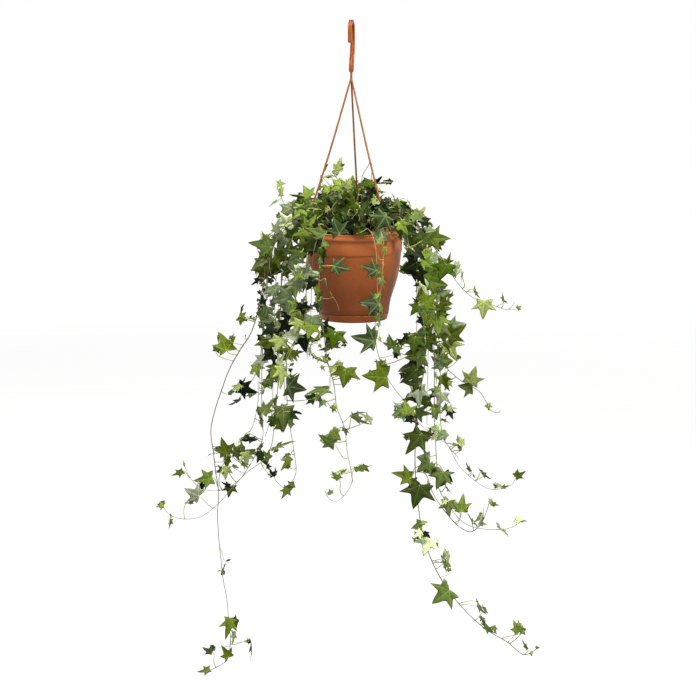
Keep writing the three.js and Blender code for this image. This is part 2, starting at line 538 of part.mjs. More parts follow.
       -95, -84, -477.4, -108.2, -84, -501.9, -108.9, -84, -524.3],
    ],
    leaves: [
      [-103.5, -84, -493.2, -106.3, -89.5, -491.4, -105.5, -98.5, -524.5, 0.79, -0.59, 0.18, 1.15, 1, 3],
      [-61.5, -78, -307.5, -60, -85.7, -305.9, -74.3, -84.2, -337.9, 0.39, -0.89, -0.22, 1.15, 1, 0],
      [-68.6, -84.2, -361.9, -70.9, -89.2, -361.2, -100.5, -90.9, -371.9, -0.01, -0.98, 0.17, 1.15, 1, 4],
      [-58.7, -74.9, -299.7, -68.7, -79, -294.4, -77.3, -88.1, -322.4, 0.29, -0.93, 0.21, 1.15, 1, 3],
      [-60.1, -76.4, -303.5, -53.8, -71.7, -304.5, -61.7, -80.8, -332.6, 0.44, -0.88, 0.16, 1.15, 1, 0],
      [-68.5, -84.3, -354.5, -77.3, -91.9, -355.5, -49.4, -88.5, -357.7, 0.14, -0.85, 0.51, 1.15, 1, 4],
      [-72.4, -84, -417.6, -60.3, -88.3, -418.1, -61.8, -93.5, -443.7, 0.02, -0.98, 0.2, 1.15, 0, 4],
      [-57.4, -73.6, -296.2, -69.4, -80.1, -291.4, -52.9, -77.5, -271.5, 0.33, -0.93, -0.15, 1.15, 1, 3],
      [-68.6, -84.2, -369.3, -82.7, -83.7, -369.2, -84.9, -84.3, -395.3, -0.53, -0.85, 0.07, 1.15, 1, 3],
      [-75, -84, -426.1, -78.2, -96.2, -422, -88.3, -99.9, -444.1, 0.31, -0.95, 0.02, 1.15, 1, 4],
      [-86.6, -84, -459, -106.8, -89.9, -450.1, -113.9, -96.7, -470.3, 0.28, -0.94, 0.22, 1.15, 0, 3],
      [-70.5, -84, -405.1, -79.7, -91, -400.9, -94.7, -98, -413, 0.21, -0.93, 0.29, 1.15, 0, 3],
      [-72.4, -84, -417.6, -52.5, -84.6, -421.6, -55.4, -84.7, -442.1, -0.47, -0.88, 0.07, 1.15, 1, 2],
      [-70.2, -84, -400.9, -74.6, -91.7, -398.7, -72.4, -95.5, -416.3, 0.48, -0.84, 0.24, 1.15, 0, 0],
      [-64.3, -81, -315.3, -75.6, -91.7, -324, -93.7, -109.3, -335.5, 0.05, -0.58, 0.81, 1, 3, 0],
      [-67.8, -83.8, -342.9, -77.1, -95.1, -355, -87.6, -108.6, -365.6, -0.08, -0.58, 0.81, 1, 3, 1],
    ],
  },
  ivy_vine_left_06: {
    stems: [
      [1.3, 0.8, -54, 14, -320.5, -54, 14, -306.5, -75.9, 14, -280.9, -88.7, 14, -274.8, -102.7, 14,
       -283.5, -119.5, 14.1, -314.5, -125, 14, -348.2, -128.6, 13.1, -377.8, -131.4, 12, -408.4, -134.7,
       11, -439, -137.8, 10, -468.9, -140.7, 8.7, -501.9, -142.5, 7.3, -531.4, -144.8, 5.9, -565.6, -152,
       6, -598, -157, 6, -609],
    ],
    leaves: [
      [-125.5, 13.9, -352, -122.5, 7.6, -352, -152.2, 0.6, -361.6, 0.29, -0.94, -0.21, 1.15, 0, 1],
      [-126.4, 13.7, -359.4, -132, 2.4, -357.3, -139.2, -8, -383.1, 0.43, -0.87, 0.23, 1.15, 0, 1],
      [-137, 10.3, -461.3, -142.1, 7.1, -460.8, -139, 1, -479.6, 0.81, -0.5, 0.3, 0.85, 1, 0],
      [-132.6, 11.6, -419.9, -128.2, 7, -418.3, -136.6, 7, -436.5, 0.03, -1, -0.01, 1.15, 0, 4],
      [-128.9, 13, -381.6, -122, 8.6, -380.7, -130.9, 8.1, -371.6, 0.45, -0.8, 0.4, 0.85, 0, 1],
      [-145.7, 5.9, -569.8, -141.8, -1.7, -569.5, -144.1, -4.7, -581.9, -0.56, -0.78, 0.29, 1.15, 2, 2],
      [-130.3, 12.4, -396.9, -142.3, 7.8, -394.2, -138.6, 7.2, -401.6, 0.62, -0.69, 0.37, 1, 0, 0],
      [-131.4, 12, -408.4, -143, 3.5, -409.4, -144.5, 3.7, -404.9, -0.4, -0.91, -0.11, 0.85, 2, 0],
      [-120.9, 14.1, -322.9, -127.8, 24.4, -316.7, -146.8, 35, -328.9, -0.65, -0.5, 0.58, 1, 3, 0],
      [-125.9, 13.8, -355.7, -140.1, 26.4, -359.6, -150.9, 38.6, -374.2, -0.87, -0.33, 0.37, 1, 3, 1],
    ],
  },
  ivy_vine_left_07: {
    stems: [
      [1.3, 0.8, -50, -4, -320.5, -50, -4, -306.5, -64.9, -5.4, -283.9, -85.1, -8, -268.3, -102.8, -12.2,
       -279, -117.6, -15.4, -307.4, -123.7, -16.1, -339.1, -126.8, -16.1, -369.4, -129.4, -16, -398.4,
       -132.6, -16, -433.6, -135, -16, -463.3, -137.5, -16, -495.9, -144.9, -16, -513.5, -160.9, -16,
       -539.8, -170.2, -16, -551.2],
    ],
    leaves: [
      [-163.5, -16, -542.9, -169.7, -21.3, -534.2, -142.1, -22.7, -543.8, -0.11, -0.98, -0.19, 0.85, 0, 0],
      [-132.9, -16, -437.4, -115.3, -19.6, -435.4, -130.4, -19.7, -461.7, -0.08, -1, 0.05, 1.15, 0, 1],
      [-104.4, -12.5, -282.1, -92.2, -20, -288.6, -119.5, -19.8, -293.8, 0.07, -0.92, -0.38, 1.15, 0, 4],
      [-115.7, -15, -303.8, -100.4, -19, -308.7, -113.9, -18.9, -330.9, -0.2, -0.97, 0.12, 1.15, 0, 4],
      [-160.9, -16, -539.8, -168.5, -29, -530.4, -186.8, -35.5, -542.8, -0.38, -0.46, 0.8, 1, 1, 2],
      [-170.2, -16, -551.2, -169, -24.2, -551.9, -187.7, -26.2, -562.9, 0.5, -0.4, -0.77, 1.15, 1, 1],
      [-157.2, -16, -533.8, -167, -15.5, -528.4, -160.4, -12, -520.7, 0.77, -0.44, -0.46, 1, 2, 2],
      [-146.8, -16, -516.5, -150, -23, -513.3, -155.3, -22, -511.2, 0.04, -0.84, 0.54, 1.15, 0, 3],
      [-113.8, -14.6, -300.2, -124.3, -28.7, -307.7, -138, -38.2, -325.6, -0.62, -0.39, 0.68, 1, 3, 1],
      [-123.7, -16.1, -339.1, -130.7, -21.9, -346.2, -152.6, -28.9, -359.7, -0.43, -0.3, 0.85, 1, 3, 0],
    ],
  },
  ivy_vine_left_08: {
    stems: [
      [1.3, 0.8, -54, 26, -320.5, -54, 26, -306.5, -78, 30, -284.8, -90.8, 32, -281, -102.3, 33.3, -292.6,
       -113.1, 34.2, -322.4, -116, 34.2, -356.9, -117.1, 34, -381, -118.6, 33.7, -406.3, -119.7, 33.4,
       -432, -120.6, 33, -457.4, -121.7, 32.5, -492.6, -122.6, 32, -526.6, -123.1, 31.6, -557.5, -125.8,
       30.7, -591.5, -135.4, 30, -622.9],
    ],
    leaves: [
      [-117.8, 33.9, -393.6, -122.8, 25.2, -391.2, -111.5, 22.2, -410.6, 0.29, -0.9, 0.31, 1.15, 0, 4],
      [-120.6, 33, -457.4, -107.4, 24, -455.9, -126.3, 22.4, -464.8, -0.08, -0.94, 0.34, 1.15, 0, 0],
      [-129.4, 30.4, -603.3, -128.2, 24.4, -602.9, -118.1, 23.5, -596.4, 0.21, -0.87, -0.44, 1.15, 1, 0],
      [-116.1, 34.2, -360.1, -120.5, 39.6, -365.9, -143.5, 43.5, -377.9, -0.48, -0.12, 0.87, 1, 3, 1],
      [-119.8, 33.4, -435.2, -130, 43.5, -438.9, -146.5, 45.2, -450.6, -0.54, -0.47, 0.69, 1, 3, 0],
      [-121.7, 32.5, -492.6, -132.3, 32.7, -500.9, -145.2, 48.3, -503.1, -0.7, -0.5, 0.51, 1, 3, 0],
    ],
  },
  ivy_vine_left_09: {
    stems: [
      [1.3, 0.8, -16, -52, -320.5, -16, -52, -306.5, -35.8, -67.2, -296.6, -48.6, -79.4, -298.9, -57, -94,
       -320.9, -60, -97.6, -348.8, -61.1, -98.3, -378.2, -61.6, -98, -407.2, -63.6, -98, -442.3, -67.6,
       -98, -478.8],
    ],
    leaves: [
      [-61, -98.2, -374.5, -56.2, -107.4, -374, -49.8, -111.8, -390.7, 0.82, -0.4, 0.42, 0.85, 0, 1],
      [-60.5, -97.9, -363.5, -58.4, -102.3, -363.1, -68.4, -106.7, -378.4, 0.53, -0.84, -0.1, 1.15, 0, 0],
      [-66.6, -98, -469.7, -60.2, -106.3, -469.3, -51.5, -110.9, -480.9, -0.81, -0.37, -0.46, 0.85, 1, 2],
      [-64.6, -98, -451.4, -61.6, -105.4, -451.2, -54.3, -106.5, -445.9, 0.24, -0.83, -0.5, 1.15, 0, 3],
      [-65.1, -98, -455.9, -50.1, -105.4, -456.3, -46.5, -106.3, -461.3, 0.26, -0.9, 0.35, 1.15, 2, 1],
    ],
  },
  ivy_vine_left_10: {
    stems: [
      [1.3, 0.8, -41, 41, -320.5, -41, 41, -306.5, -58.7, 47, -287.7, -80.9, 54, -277, -95.4, 57.1, -290.7,
       -105.2, 58.8, -318, -108.1, 59, -347.1, -110, 58.9, -375.9, -110.6, 58.2, -405.1, -110.5, 57.4,
       -435.5, -109.8, 56.4, -466.5, -108.6, 55.3, -495.8, -107.1, 54.3, -523.7, -105.7, 53.3, -557.5,
       -105.3, 53, -569.7],
    ],
    leaves: [
      [-108.3, 59, -350.7, -94.9, 54.7, -349.3, -88.7, 45.8, -375.8, -0.01, -0.95, 0.31, 1.15, 0, 1],
      [-110.1, 58.7, -383.2, -73, 52.7, -382.7, -77.6, 49.7, -403.8, -0.65, -0.72, 0.24, 1.15, 1, 0],
      [-110.5, 57.7, -424.1, -99, 51.9, -423.3, -110.5, 48.5, -439, -0.13, -0.95, 0.3, 1.15, 0, 1],
      [-102.7, 58.4, -311, -109.5, 57.4, -315.4, -126.6, 57, -335.1, -0.59, 0.64, 0.5, 1, 3, 1],
      [-110.6, 58, -412.6, -116.9, 63, -401.1, -130.2, 82.3, -412.5, -0.35, 0.29, 0.89, 1, 3, 0],
    ],
  },
  ivy_vine_front_01: {
    stems: [
      [1.6, 0.9, -8, -55, -320.5, -8, -55, -306.5, -29, -70.6, -291.6, -39.5, -82.6, -296.7, -46.4, -93.2,
       -316.1, -49.3, -96.6, -350.3, -49.8, -95.5, -385.6, -46.6, -93, -418.2, -42.5, -90.5, -450.6, -37.8,
       -89.4, -484.9, -28.9, -87.8, -517.4, -24.6, -85.9, -552.4, -13.4, -86, -583.5, -9.4, -86, -618.6,
       -3.1, -86, -652.9, -3.3, -86, -668.2, -24, -86, -693.6, -35, -86, -690.9, -42.9, -86, -677.5],
      [0.62, 0.5, -49.2, -95.5, -386.5, -44.3, -92, -390.9, -37.9, -87, -392.5, -30, -82, -390.8],
      [0.6, 0.5, -30, -82, -390.8, -25.7, -79, -397.6, -22.8, -77, -404.4, -20.9, -76, -411.9],
      [0.55, 0.45, -30, -82, -390.8, -32.2, -81, -387, -34.3, -80, -382.8],
    ],
    leaves: [
      [-32.2, -88.4, -505.2, -38.1, -96.7, -524.7, -73.5, -104.6, -530.6, -0.1, -0.25, 0.96, 0.85, 0, 1],
      [-12.9, -86, -587.8, -1, -89.7, -563.3, 27.2, -94.6, -578.6, -0.48, -0.47, -0.74, 0.85, 0, 2],
      [-48.6, -95.7, -341.5, -28.4, -99, -343.3, -2.5, -101.3, -348.4, -0.06, -0.99, 0.14, 0.85, 0, 0],
      [-31.1, -88.2, -509.3, -11.2, -96.8, -493, -15.5, -104.5, -520.8, 0.01, -0.96, 0.26, 1.15, 0, 1],
      [-7.8, -86, -627.5, -29.5, -93, -605.1, -53.2, -87.4, -592.9, -0.32, -0.93, -0.19, 0.85, 0, 2],
      [-41.3, -90.2, -459.1, -25.6, -98.7, -439.1, -32.1, -103.6, -464.7, 0.01, -0.98, 0.19, 1.15, 0, 0],
      [-3.2, -86, -662.6, 2, -92.9, -644.1, 26.1, -94.2, -638.5, 0.11, -0.75, -0.66, 0.85, 1, 2],
      [-17.2, -86, -685.2, -21.5, -94.9, -657.2, -33.2, -99.6, -644.7, -0.2, -0.84, -0.5, 0.85, 0, 2],
      [-49.7, -95.6, -381.3, -50, -97.9, -379.6, -51.4, -100.6, -395.2, 0.75, -0.66, 0.04, 1, 0, 1],
      [-49, -94.9, -393.8, -50.6, -103.9, -393.3, -47, -108.9, -408.5, 0.85, -0.4, 0.34, 1.15, 1, 0],
      [-46.4, -93.2, -316.1, -48.3, -99.7, -317.3, -46.9, -101.1, -330.1, 0.69, -0.71, 0.15, 1.15, 1, 0],
      [-49.5, -96.2, -363.5, -40.5, -104.9, -362, -38.3, -107.3, -374.7, -0.91, -0.42, -0.08, 0.85, 1, 1],
      [-47.8, -94.8, -332.6, -49.1, -98.3, -333.3, -45.6, -98.8, -346.2, -0.77, -0.61, -0.19, 1, 1, 1],
      [-37.8, -89.4, -484.9, -39.4, -94.2, -483.2, -45.9, -95.2, -474.2, -0.02, -0.99, -0.13, 0.85, 0, 2],
      [-24.6, -85.9, -552.4, -45.4, -92.4, -540.4, -50.4, -99.3, -550.9, 0.52, -0.8, 0.28, 1.15, 0, 2],
      [-44.6, -90.4, -311, -43.4, -94.6, -311.4, -31.9, -93.9, -316.6, 0.29, -0.79, 0.54, 1, 0, 1],
      [-48.9, -96.2, -346, -48.4, -100.2, -345.3, -45.6, -101.2, -357.5, -0.58, -0.81, -0.07, 0.85, 1, 0],
      [-4.5, -86, -645.3, -18.6, -94.6, -649, -9, -91.3, -643, 0.51, -0.77, -0.38, 0.85, 2, 2],
      [-39, -89.7, -476.4, -49.5, -96.4, -476.9, -53.2, -98.2, -485.4, 0.81, -0.54, -0.23, 1.15, 1, 2],
      [-36.7, -89.2, -489, -47.4, -98.2, -489.1, -40.9, -98.9, -497, 0.52, -0.7, 0.49, 0.85, 1, 2],
      [-25.1, -86.1, -548.1, -27.2, -91.3, -546.6, -29.4, -95, -554.7, 0.58, -0.79, 0.2, 1.15, 1, 2],
      [-38.7, -86, -684.6, -33.2, -94.8, -679.8, -36.2, -91.8, -672.7, -0.24, -0.92, 0.3, 1.15, 0, 2],
    ],
  },
  ivy_vine_front_02: {
    stems: [
      [1.6, 0.9, 14, -54, -320.5, 14.3, -56, -303.4, 17.7, -74, -291.3, 26.1, -88, -298.5, 31.4, -93.6,
       -318.1, 33.3, -93.2, -352.2, 34.3, -88, -387.6, 32, -82.6, -422.9, 32, -80, -455.3, 39.1, -78,
       -486.8, 53.9, -74.7, -518.8, 74.4, -70.6, -546.6, 93.1, -68.9, -576.5, 118.4, -69, -598.3, 137.8,
       -69, -612.1, 154.8, -69, -642.8, 178.2, -69, -665.9, 204.1, -69, -680.1, 233, -69, -673.8, 241.1,
       -69, -661.3],
    ],
    leaves: [
      [32, -80, -455.3, 31.3, -85.1, -454.6, -4.7, -85.9, -447.1, 0.05, -0.99, 0.15, 1.15, 1, 1],
      [50.2, -75.5, -510.8, 47.1, -84.3, -508.3, 11.3, -85.5, -505.4, 0.05, -0.98, 0.19, 1, 0, 2],
      [33.4, -86, -400.9, 35.8, -86, -400.2, 6.1, -87.1, -397.1, 0.09, -0.83, 0.55, 1, 0, 4],
      [33.3, -93.2, -352.2, 32.5, -99.7, -349.7, 7.2, -100.1, -341.7, 0.11, -0.95, 0.3, 0.85, 0, 0],
      [40.9, -77.6, -490.7, 97.9, -100.8, -464.9, 72.5, -104.2, -471, -0.09, -0.66, 0.74, 1.15, 0, 0],
      [81.5, -70, -557.9, 75.3, -73.8, -559.1, 55.6, -72, -568.5, -0.05, -0.99, -0.09, 1.15, 0, 2],
      [83.8, -69.7, -561.7, 79, -76, -564.6, 74.5, -76, -543, 0.01, -1, 0, 1.15, 0, 3],
      [169.6, -69, -657.4, 173.3, -74, -651, 165.3, -69.1, -637.8, -0.81, -0.5, -0.3, 0.85, 1, 1],
      [241.1, -69, -661.3, 239.6, -76.3, -658.8, 254.8, -77.6, -650.1, 0.08, -0.95, -0.29, 0.85, 0, 3],
      [143.9, -69, -623.1, 160.4, -72.2, -612.1, 154.4, -71.1, -596.5, 0.73, -0.6, 0.32, 0.85, 0, 3],
      [141.7, -69, -619.2, 153.8, -72.3, -612.8, 136.1, -71, -608.6, 0.22, -0.14, 0.96, 1, 1, 1],
      [181.5, -69, -667.7, 190.3, -73.1, -653.5, 201.8, -79.5, -662.5, -0.69, -0.47, -0.54, 1, 0, 1],
      [219.2, -69, -676.8, 218.1, -72.4, -674.9, 205.5, -71.4, -669.4, 0.36, -0.33, 0.87, 1, 1, 1],
      [241.1, -69, -661.3, 240.7, -72.6, -660.4, 241.4, -71.5, -649.3, -0.59, -0.8, 0.11, 1.15, 2, 3],
      [181.5, -69, -667.7, 191.2, -80.9, -650.8, 183, -81.1, -645.2, -0.46, -0.56, -0.69, 0.85, 2, 1],
      [39.1, -78, -486.8, 42.6, -85.5, -487.7, 47, -83.9, -481.3, 0.55, -0.82, -0.17, 1.15, 2, 3],
      [172.5, -69, -660.3, 176.4, -73, -656.5, 179.2, -75.4, -661.3, -0.75, -0.65, -0.12, 0.85, 2, 0],
    ],
  },
  ivy_vine_front_03: {
    stems: [
      [1.2, 0.7, 26, -48, -320.5, 26, -48, -306.5, 32, -69.5, -289.2, 36.4, -81.4, -290.9, 42.4, -96,
       -307.2, 42, -101.7, -338, 39.5, -100.4, -369.1, 37.1, -96, -402.8, 36.7, -91.6, -438, 37.3, -92,
       -453.4],
    ],
    leaves: [
      [40.1, -100.7, -361.2, 38.9, -103.9, -360.7, 44, -104.9, -377.2, -0.7, -0.7, -0.17, 0.85, 0, 2],
      [37.4, -96.6, -398.5, 37, -100.8, -399.5, 42.8, -100.2, -417, 0.85, -0.44, 0.27, 0.85, 1, 2],
      [42.4, -96.6, -310.6, 36.7, -103.4, -310.5, 39.5, -100.6, -297.2, -0.49, -0.83, 0.28, 0.85, 0, 3],
      [42.3, -98, -318.1, 43.7, -106.7, -315.8, 43.1, -107.6, -330.8, -0.72, -0.69, 0.07, 0.85, 1, 3],
      [42, -101.7, -338, 41.6, -108.6, -337.8, 42.4, -108.9, -346.4, 0.91, -0.4, 0.09, 0.85, 1, 2],
      [37, -94.9, -411.9, 34.8, -101.9, -411.7, 32.7, -103.4, -418, -0.79, -0.48, 0.38, 0.85, 2, 3],
      [37.1, -91.9, -447.9, 36.4, -99.5, -447.8, 40, -100.4, -452.8, 0.25, -0.9, 0.36, 1, 0, 2],
      [42.1, -101, -334.1, 36, -105.9, -331, 33.8, -105.8, -326, 0.73, -0.59, 0.34, 0.85, 2, 3],
      [36.8, -92.6, -430.2, 35.6, -100.3, -426.5, 35.6, -101.8, -432.8, -0.22, -0.95, 0.23, 1, 0, 2],
    ],
  },
  ivy_vine_right_long: {
    stems: [
      [1.6, 0.9, 46, -22, -320.5, 47.9, -23, -301.5, 61.8, -30.3, -279.3, 67.2, -33.5, -279.3, 77.6, -40.7,
       -308, 85.3, -43.1, -342.2, 95.7, -44, -373.8, 99, -44, -407.8, 102.3, -44, -438.9, 105.2, -44,
       -472.6, 104.1, -44, -504.9, 98.1, -44, -536.5, 92.8, -44, -571, 92.4, -44, -607, 91.6, -44, -639.6,
       93.1, -44, -673.8, 96.8, -44, -709.3, 101.3, -44, -741.6, 109.2, -42, -773.2, 121, -40.6, -804.8,
       137.6, -40, -835.6, 156.9, -40, -862.3, 179.8, -40, -887.6, 205, -40, -908.9, 233.9, -40, -926.4,
       260.4, -40, -946.7, 278.1, -40, -937.9, 281.7, -40, -934.4],
      [1.2, 0.8, 92.2, -44, -659.8, 107, -39.5, -662.9, 119, -37.1, -694, 137.6, -36, -722.8, 160, -36,
       -746.9, 176.8, -36, -754.3, 191.3, -36, -743.3, 204.4, -36, -708.9],
    ],
    leaves: [
      [92.4, -44, -602.6, 100.7, -52.5, -600.6, 75.8, -60.5, -629.3, -0.16, -0.91, 0.39, 0.85, 0, 0],
      [104.2, -44, -500.9, 99.5, -47.1, -496.8, 64.8, -47, -505.9, -0.15, -0.8, 0.58, 1, 0, 0],
      [94, -44, -682.7, 98.4, -51.1, -678.8, 89.2, -62.1, -712.9, 0.18, -0.95, 0.26, 1.15, 0, 0],
      [98.9, -44, -532.5, 95.1, -51.5, -529.8, 97.2, -60.8, -559.7, 0.16, -0.94, 0.3, 0.85, 0, 4],
      [101.3, -44, -741.6, 103.4, -47.1, -736.8, 89.1, -52.9, -767, -0.83, -0.33, 0.45, 1.15, 1, 3],
      [104.8, -44, -484.8, 104.5, -48.5, -483.9, 74.3, -47.4, -485.5, -0.05, -0.93, 0.37, 1.15, 0, 0],
      [142.4, -40, -842.3, 144.3, -45.6, -842.5, 118.3, -52.9, -862.7, 0.13, -0.97, 0.19, 1.15, 0, 1],
      [92.2, -44, -652.3, 84.1, -52.1, -667.8, 55.6, -56, -657.3, 0.31, -0.76, 0.57, 0.85, 0, 3],
      [152.2, -36, -738.5, 161.9, -44.1, -720.6, 164.9, -32.2, -694.8, -0.27, -0.86, 0.43, 1, 1, 2],
      [187.3, -36, -746.3, 189.1, -44.8, -739.8, 197.5, -37.7, -713.9, 0.92, -0.34, -0.2, 1.15, 1, 2],
      [107.2, -42.5, -765.3, 114.2, -45.5, -762.1, 104.1, -56.1, -786.3, -0.17, -0.88, 0.45, 1.15, 0, 4],
      [105.3, -40, -662.5, 113.2, -47.4, -644.5, 93.7, -52.2, -657.8, 0.04, -0.96, 0.29, 1.15, 0, 1],
      [93.5, -44, -566.7, 92.5, -49.8, -567.1, 116.1, -51.7, -569.8, -0.11, -0.91, -0.39, 1, 0, 0],
      [159.7, -40, -865.4, 189, -46.6, -863.4, 201.2, -57.8, -878.6, -0.83, -0.43, -0.35, 1, 1, 2],
      [118, -41, -796.9, 136.4, -44.4, -797.4, 136.6, -36.2, -778.1, -0.96, -0.26, 0.13, 1.15, 1, 2],
      [118, -41, -796.9, 136.7, -51.4, -796.1, 140.2, -59.6, -814.7, -0.95, -0.31, -0.04, 0.85, 0, 2],
      [226.7, -40, -922, 250.3, -46, -908.5, 242.3, -39, -891.2, -0.57, -0.82, 0.07, 0.85, 0, 3],
      [198.7, -40, -903.6, 200, -47, -899.5, 216.5, -51.9, -910.5, -0.53, -0.7, -0.48, 0.85, 0, 2],
      [198.7, -40, -903.6, 201.1, -43.4, -901.5, 191.7, -34.8, -887, -0.85, -0.44, -0.29, 1.15, 1, 1],
      [179.8, -36, -752, 178.9, -40.6, -741, 170.9, -33.6, -724.3, 0.87, -0.15, 0.48, 0.85, 1, 1],
      [260.4, -40, -946.7, 264.3, -46.9, -935.1, 255.7, -39.2, -922, -0.85, -0.43, -0.3, 1, 1, 2],
      [103.3, -43.5, -749.5, 100.4, -66.8, -745.3, 87.6, -73, -754.3, 0.38, -0.92, 0.09, 1.15, 1, 4],
      [155, -36, -741.5, 164.6, -37.9, -720.8, 174.5, -34.8, -713.8, 0.46, -0.84, -0.29, 1.15, 2, 1],
      [187.3, -36, -746.3, 187, -43.6, -744, 179.4, -43, -733.3, -0.76, -0.4, -0.52, 0.85, 2, 2],
      [100.7, -44, -737.6, 100.1, -55.2, -736.2, 111.3, -53.9, -733.4, -0.09, -0.7, 0.71, 1, 2, 3],
      [107, -39.5, -662.9, 114.8, -44.5, -649, 124.6, -44.7, -655.8, -0.19, -0.95, -0.25, 1.15, 0, 4],
      [204.4, -36, -708.9, 207.6, -42.8, -708.6, 218.8, -43.4, -711.6, -0.17, -0.87, -0.46, 0.85, 0, 3],
      [162.6, -40, -868.6, 189.6, -39.3, -867.3, 186, -35.1, -857.6, -0.91, -0.38, -0.18, 0.85, 2, 1],
      [191.3, -36, -743.3, 190.3, -39.3, -742.1, 200.6, -42.4, -741.2, -0.19, -0.39, 0.9, 1.15, 2, 2],
      [204.4, -36, -708.9, 207, -40.1, -707.8, 201.8, -38.9, -700.1, 0.43, -0.8, 0.42, 0.85, 0, 3],
      [269.6, -40, -942.1, 270.3, -48.4, -937.8, 269.9, -53, -944.9, -0.69, -0.59, 0.42, 1.15, 2, 2],
      [280, -40, -936, 277, -48.4, -932.3, 283.6, -50.2, -930.8, -0.16, -0.9, -0.41, 1, 0, 3],
      [84.3, -42.8, -338, 97, -53.2, -339.3, 122.6, -48.3, -353.1, 0.38, -0.82, 0.42, 1, 3, 1],
      [98.2, -44, -399.4, 106.5, -51.2, -410.4, 120.3, -62.6, -429.1, 0.34, -0.68, 0.66, 1, 3, 1],
    ],
  },
  ivy_vine_right_02: {
    stems: [
      [1.4, 0.8, 50, 0, -320.5, 54.1, -0.9, -292.8, 64.8, -2.8, -271.5, 72.5, -3.3, -269.2, 92.8, -3.4,
       -288.6, 106.7, -10.9, -320.2, 112.6, -13.1, -350.5, 115.5, -13.1, -383.4, 117.1, -13, -418.6, 118.9,
       -13, -453.8, 120.5, -13, -489.1, 121.2, -13, -524.6, 121.5, -13, -551.7, 121.8, -13, -587.1, 123.5,
       -13.8, -619.2, 125.7, -14.8, -655, 128.6, -16, -690, 145.6, -17.7, -720.3, 169.3, -18, -746.6,
       202.7, -18, -755.5, 237.3, -18, -753.5, 248.8, -18, -747.2],
    ],
    leaves: [
      [126.1, -15, -659.4, 134.9, -21.8, -665.3, 124.1, -30.1, -691.1, -0.21, -0.9, 0.38, 1, 0, 1],
      [143.5, -17.5, -716.5, 143.5, -23.8, -710.5, 145, -27.1, -734.6, -0.64, -0.77, 0.06, 1.15, 0, 4],
      [121.5, -13, -548.2, 131.8, -17, -544.1, 124.7, -26.6, -565.2, 0.45, -0.86, 0.24, 1.15, 0, 4],
      [123.1, -13.6, -611.1, 129.9, -19.3, -599.6, 116.5, -18.7, -618.1, -0.15, -0.99, 0.08, 1.15, 0, 4],
      [125.7, -14.8, -655, 137.4, -16, -667.5, 150, -24.5, -680.9, -0.02, -0.85, 0.52, 1.15, 1, 0],
      [143.5, -17.5, -716.5, 147.9, -12.7, -715.8, 162, -20.6, -730.1, 0.15, -0.8, 0.58, 1.15, 1, 4],
      [121.6, -13, -564.7, 123.4, -21.9, -562.2, 118.2, -24.4, -583.1, 0.47, -0.88, -0.01, 1.15, 1, 2],
      [221.1, -18, -754.4, 222.5, -25.2, -753.8, 236.9, -26.6, -765.6, 0.63, -0.02, 0.77, 1.15, 1, 2],
      [120.9, -13, -511.6, 121.7, -17.6, -512.8, 124.6, -22.8, -530.9, 0.92, -0.32, 0.24, 0.85, 1, 1],
      [122.4, -13.3, -599.2, 131.7, -13.8, -600, 112.2, -11.4, -599.7, -0.11, -0.87, 0.48, 1.15, 1, 4],
      [123.1, -13.6, -611.1, 113.9, -26.3, -610.3, 100.5, -22.4, -600.4, 0.1, -0.87, 0.48, 1.15, 0, 0],
      [248.8, -18, -747.2, 250.2, -26.5, -741, 242.2, -21.5, -730.6, -0.32, -0.93, 0.2, 0.85, 0, 4],
      [132.8, -16.4, -697.4, 141, -23.8, -688, 149.3, -26, -699.9, -0.79, -0.36, -0.49, 0.85, 1, 1],
      [121.4, -13, -544.8, 126, -12.4, -544.3, 114, -13.5, -553.7, -0.2, -0.91, 0.35, 1.15, 0, 0],
      [221.1, -18, -754.4, 222.1, -21.4, -753.3, 215.9, -21, -742.5, 0.78, -0.42, 0.46, 1, 2, 2],
      [139.2, -17.1, -708.9, 140.4, -24.1, -708.9, 132.1, -25.5, -717.1, -0.44, -0.69, 0.57, 1, 2, 4],
      [248.8, -18, -747.2, 251.1, -24.4, -741.5, 262.9, -27.3, -739.9, -0.2, -0.28, 0.94, 0.85, 2, 3],
      [96.1, -5.2, -296.1, 106.9, -1.7, -300.2, 122.4, -0.5, -311.3, 0.56, -0.36, 0.74, 1, 3, 1],
      [118, -13, -436.2, 128.1, -17.8, -443.4, 147.8, -22.9, -459.4, 0.43, -0.57, 0.71, 1, 3, 0],
    ],
  },
  ivy_vine_right_03: {
    stems: [
      [1.3, 0.8, 52, 20, -320.5, 53.9, 20.2, -300.5, 69.4, 21.5, -272.2, 77.9, 22.6, -269.9, 99.5, 26,
       -289.4, 112, 26.9, -316.4, 120, 27.1, -348.2, 124.3, 27, -383.1, 126.4, 27.1, -410.9, 128.2, 26.9,
       -445.3, 130.4, 26, -479.3, 139.6, 24.7, -511.4, 162.7, 22.7, -533, 192.3, 19.5, -550.9, 210.6, 18,
       -580.1, 221.3, 18, -581.7, 223.6, 18, -578.2],
    ],
    leaves: [
      [130.1, 26.1, -475.1, 141.3, 18.9, -471.9, 157.1, 12.4, -502.3, -0.06, -0.98, 0.18, 1.15, 1, 3],
      [129.6, 26.3, -466.6, 143.2, 13.6, -464.2, 170.8, 12.2, -444.9, -0.01, -1, -0.06, 0.85, 0, 1],
      [177.6, 21.1, -542, 176.3, 12.3, -534.5, 185.9, 13.6, -508.6, 0.09, -1, 0.02, 1, 0, 4],
      [145.2, 24.2, -516.6, 134.2, 18.4, -524.9, 145.4, 10.7, -548.1, -0.44, -0.89, 0.08, 1, 1, 2],
      [181.4, 20.7, -544.3, 179.8, 17.5, -542.4, 157.6, 15.2, -539.7, 0.09, -0.99, -0.09, 1.15, 0, 2],
      [137.4, 25, -503.7, 136.3, 19.4, -502.7, 120.3, 18.9, -490.3, 0.27, -0.91, 0.31, 1.15, 0, 1],
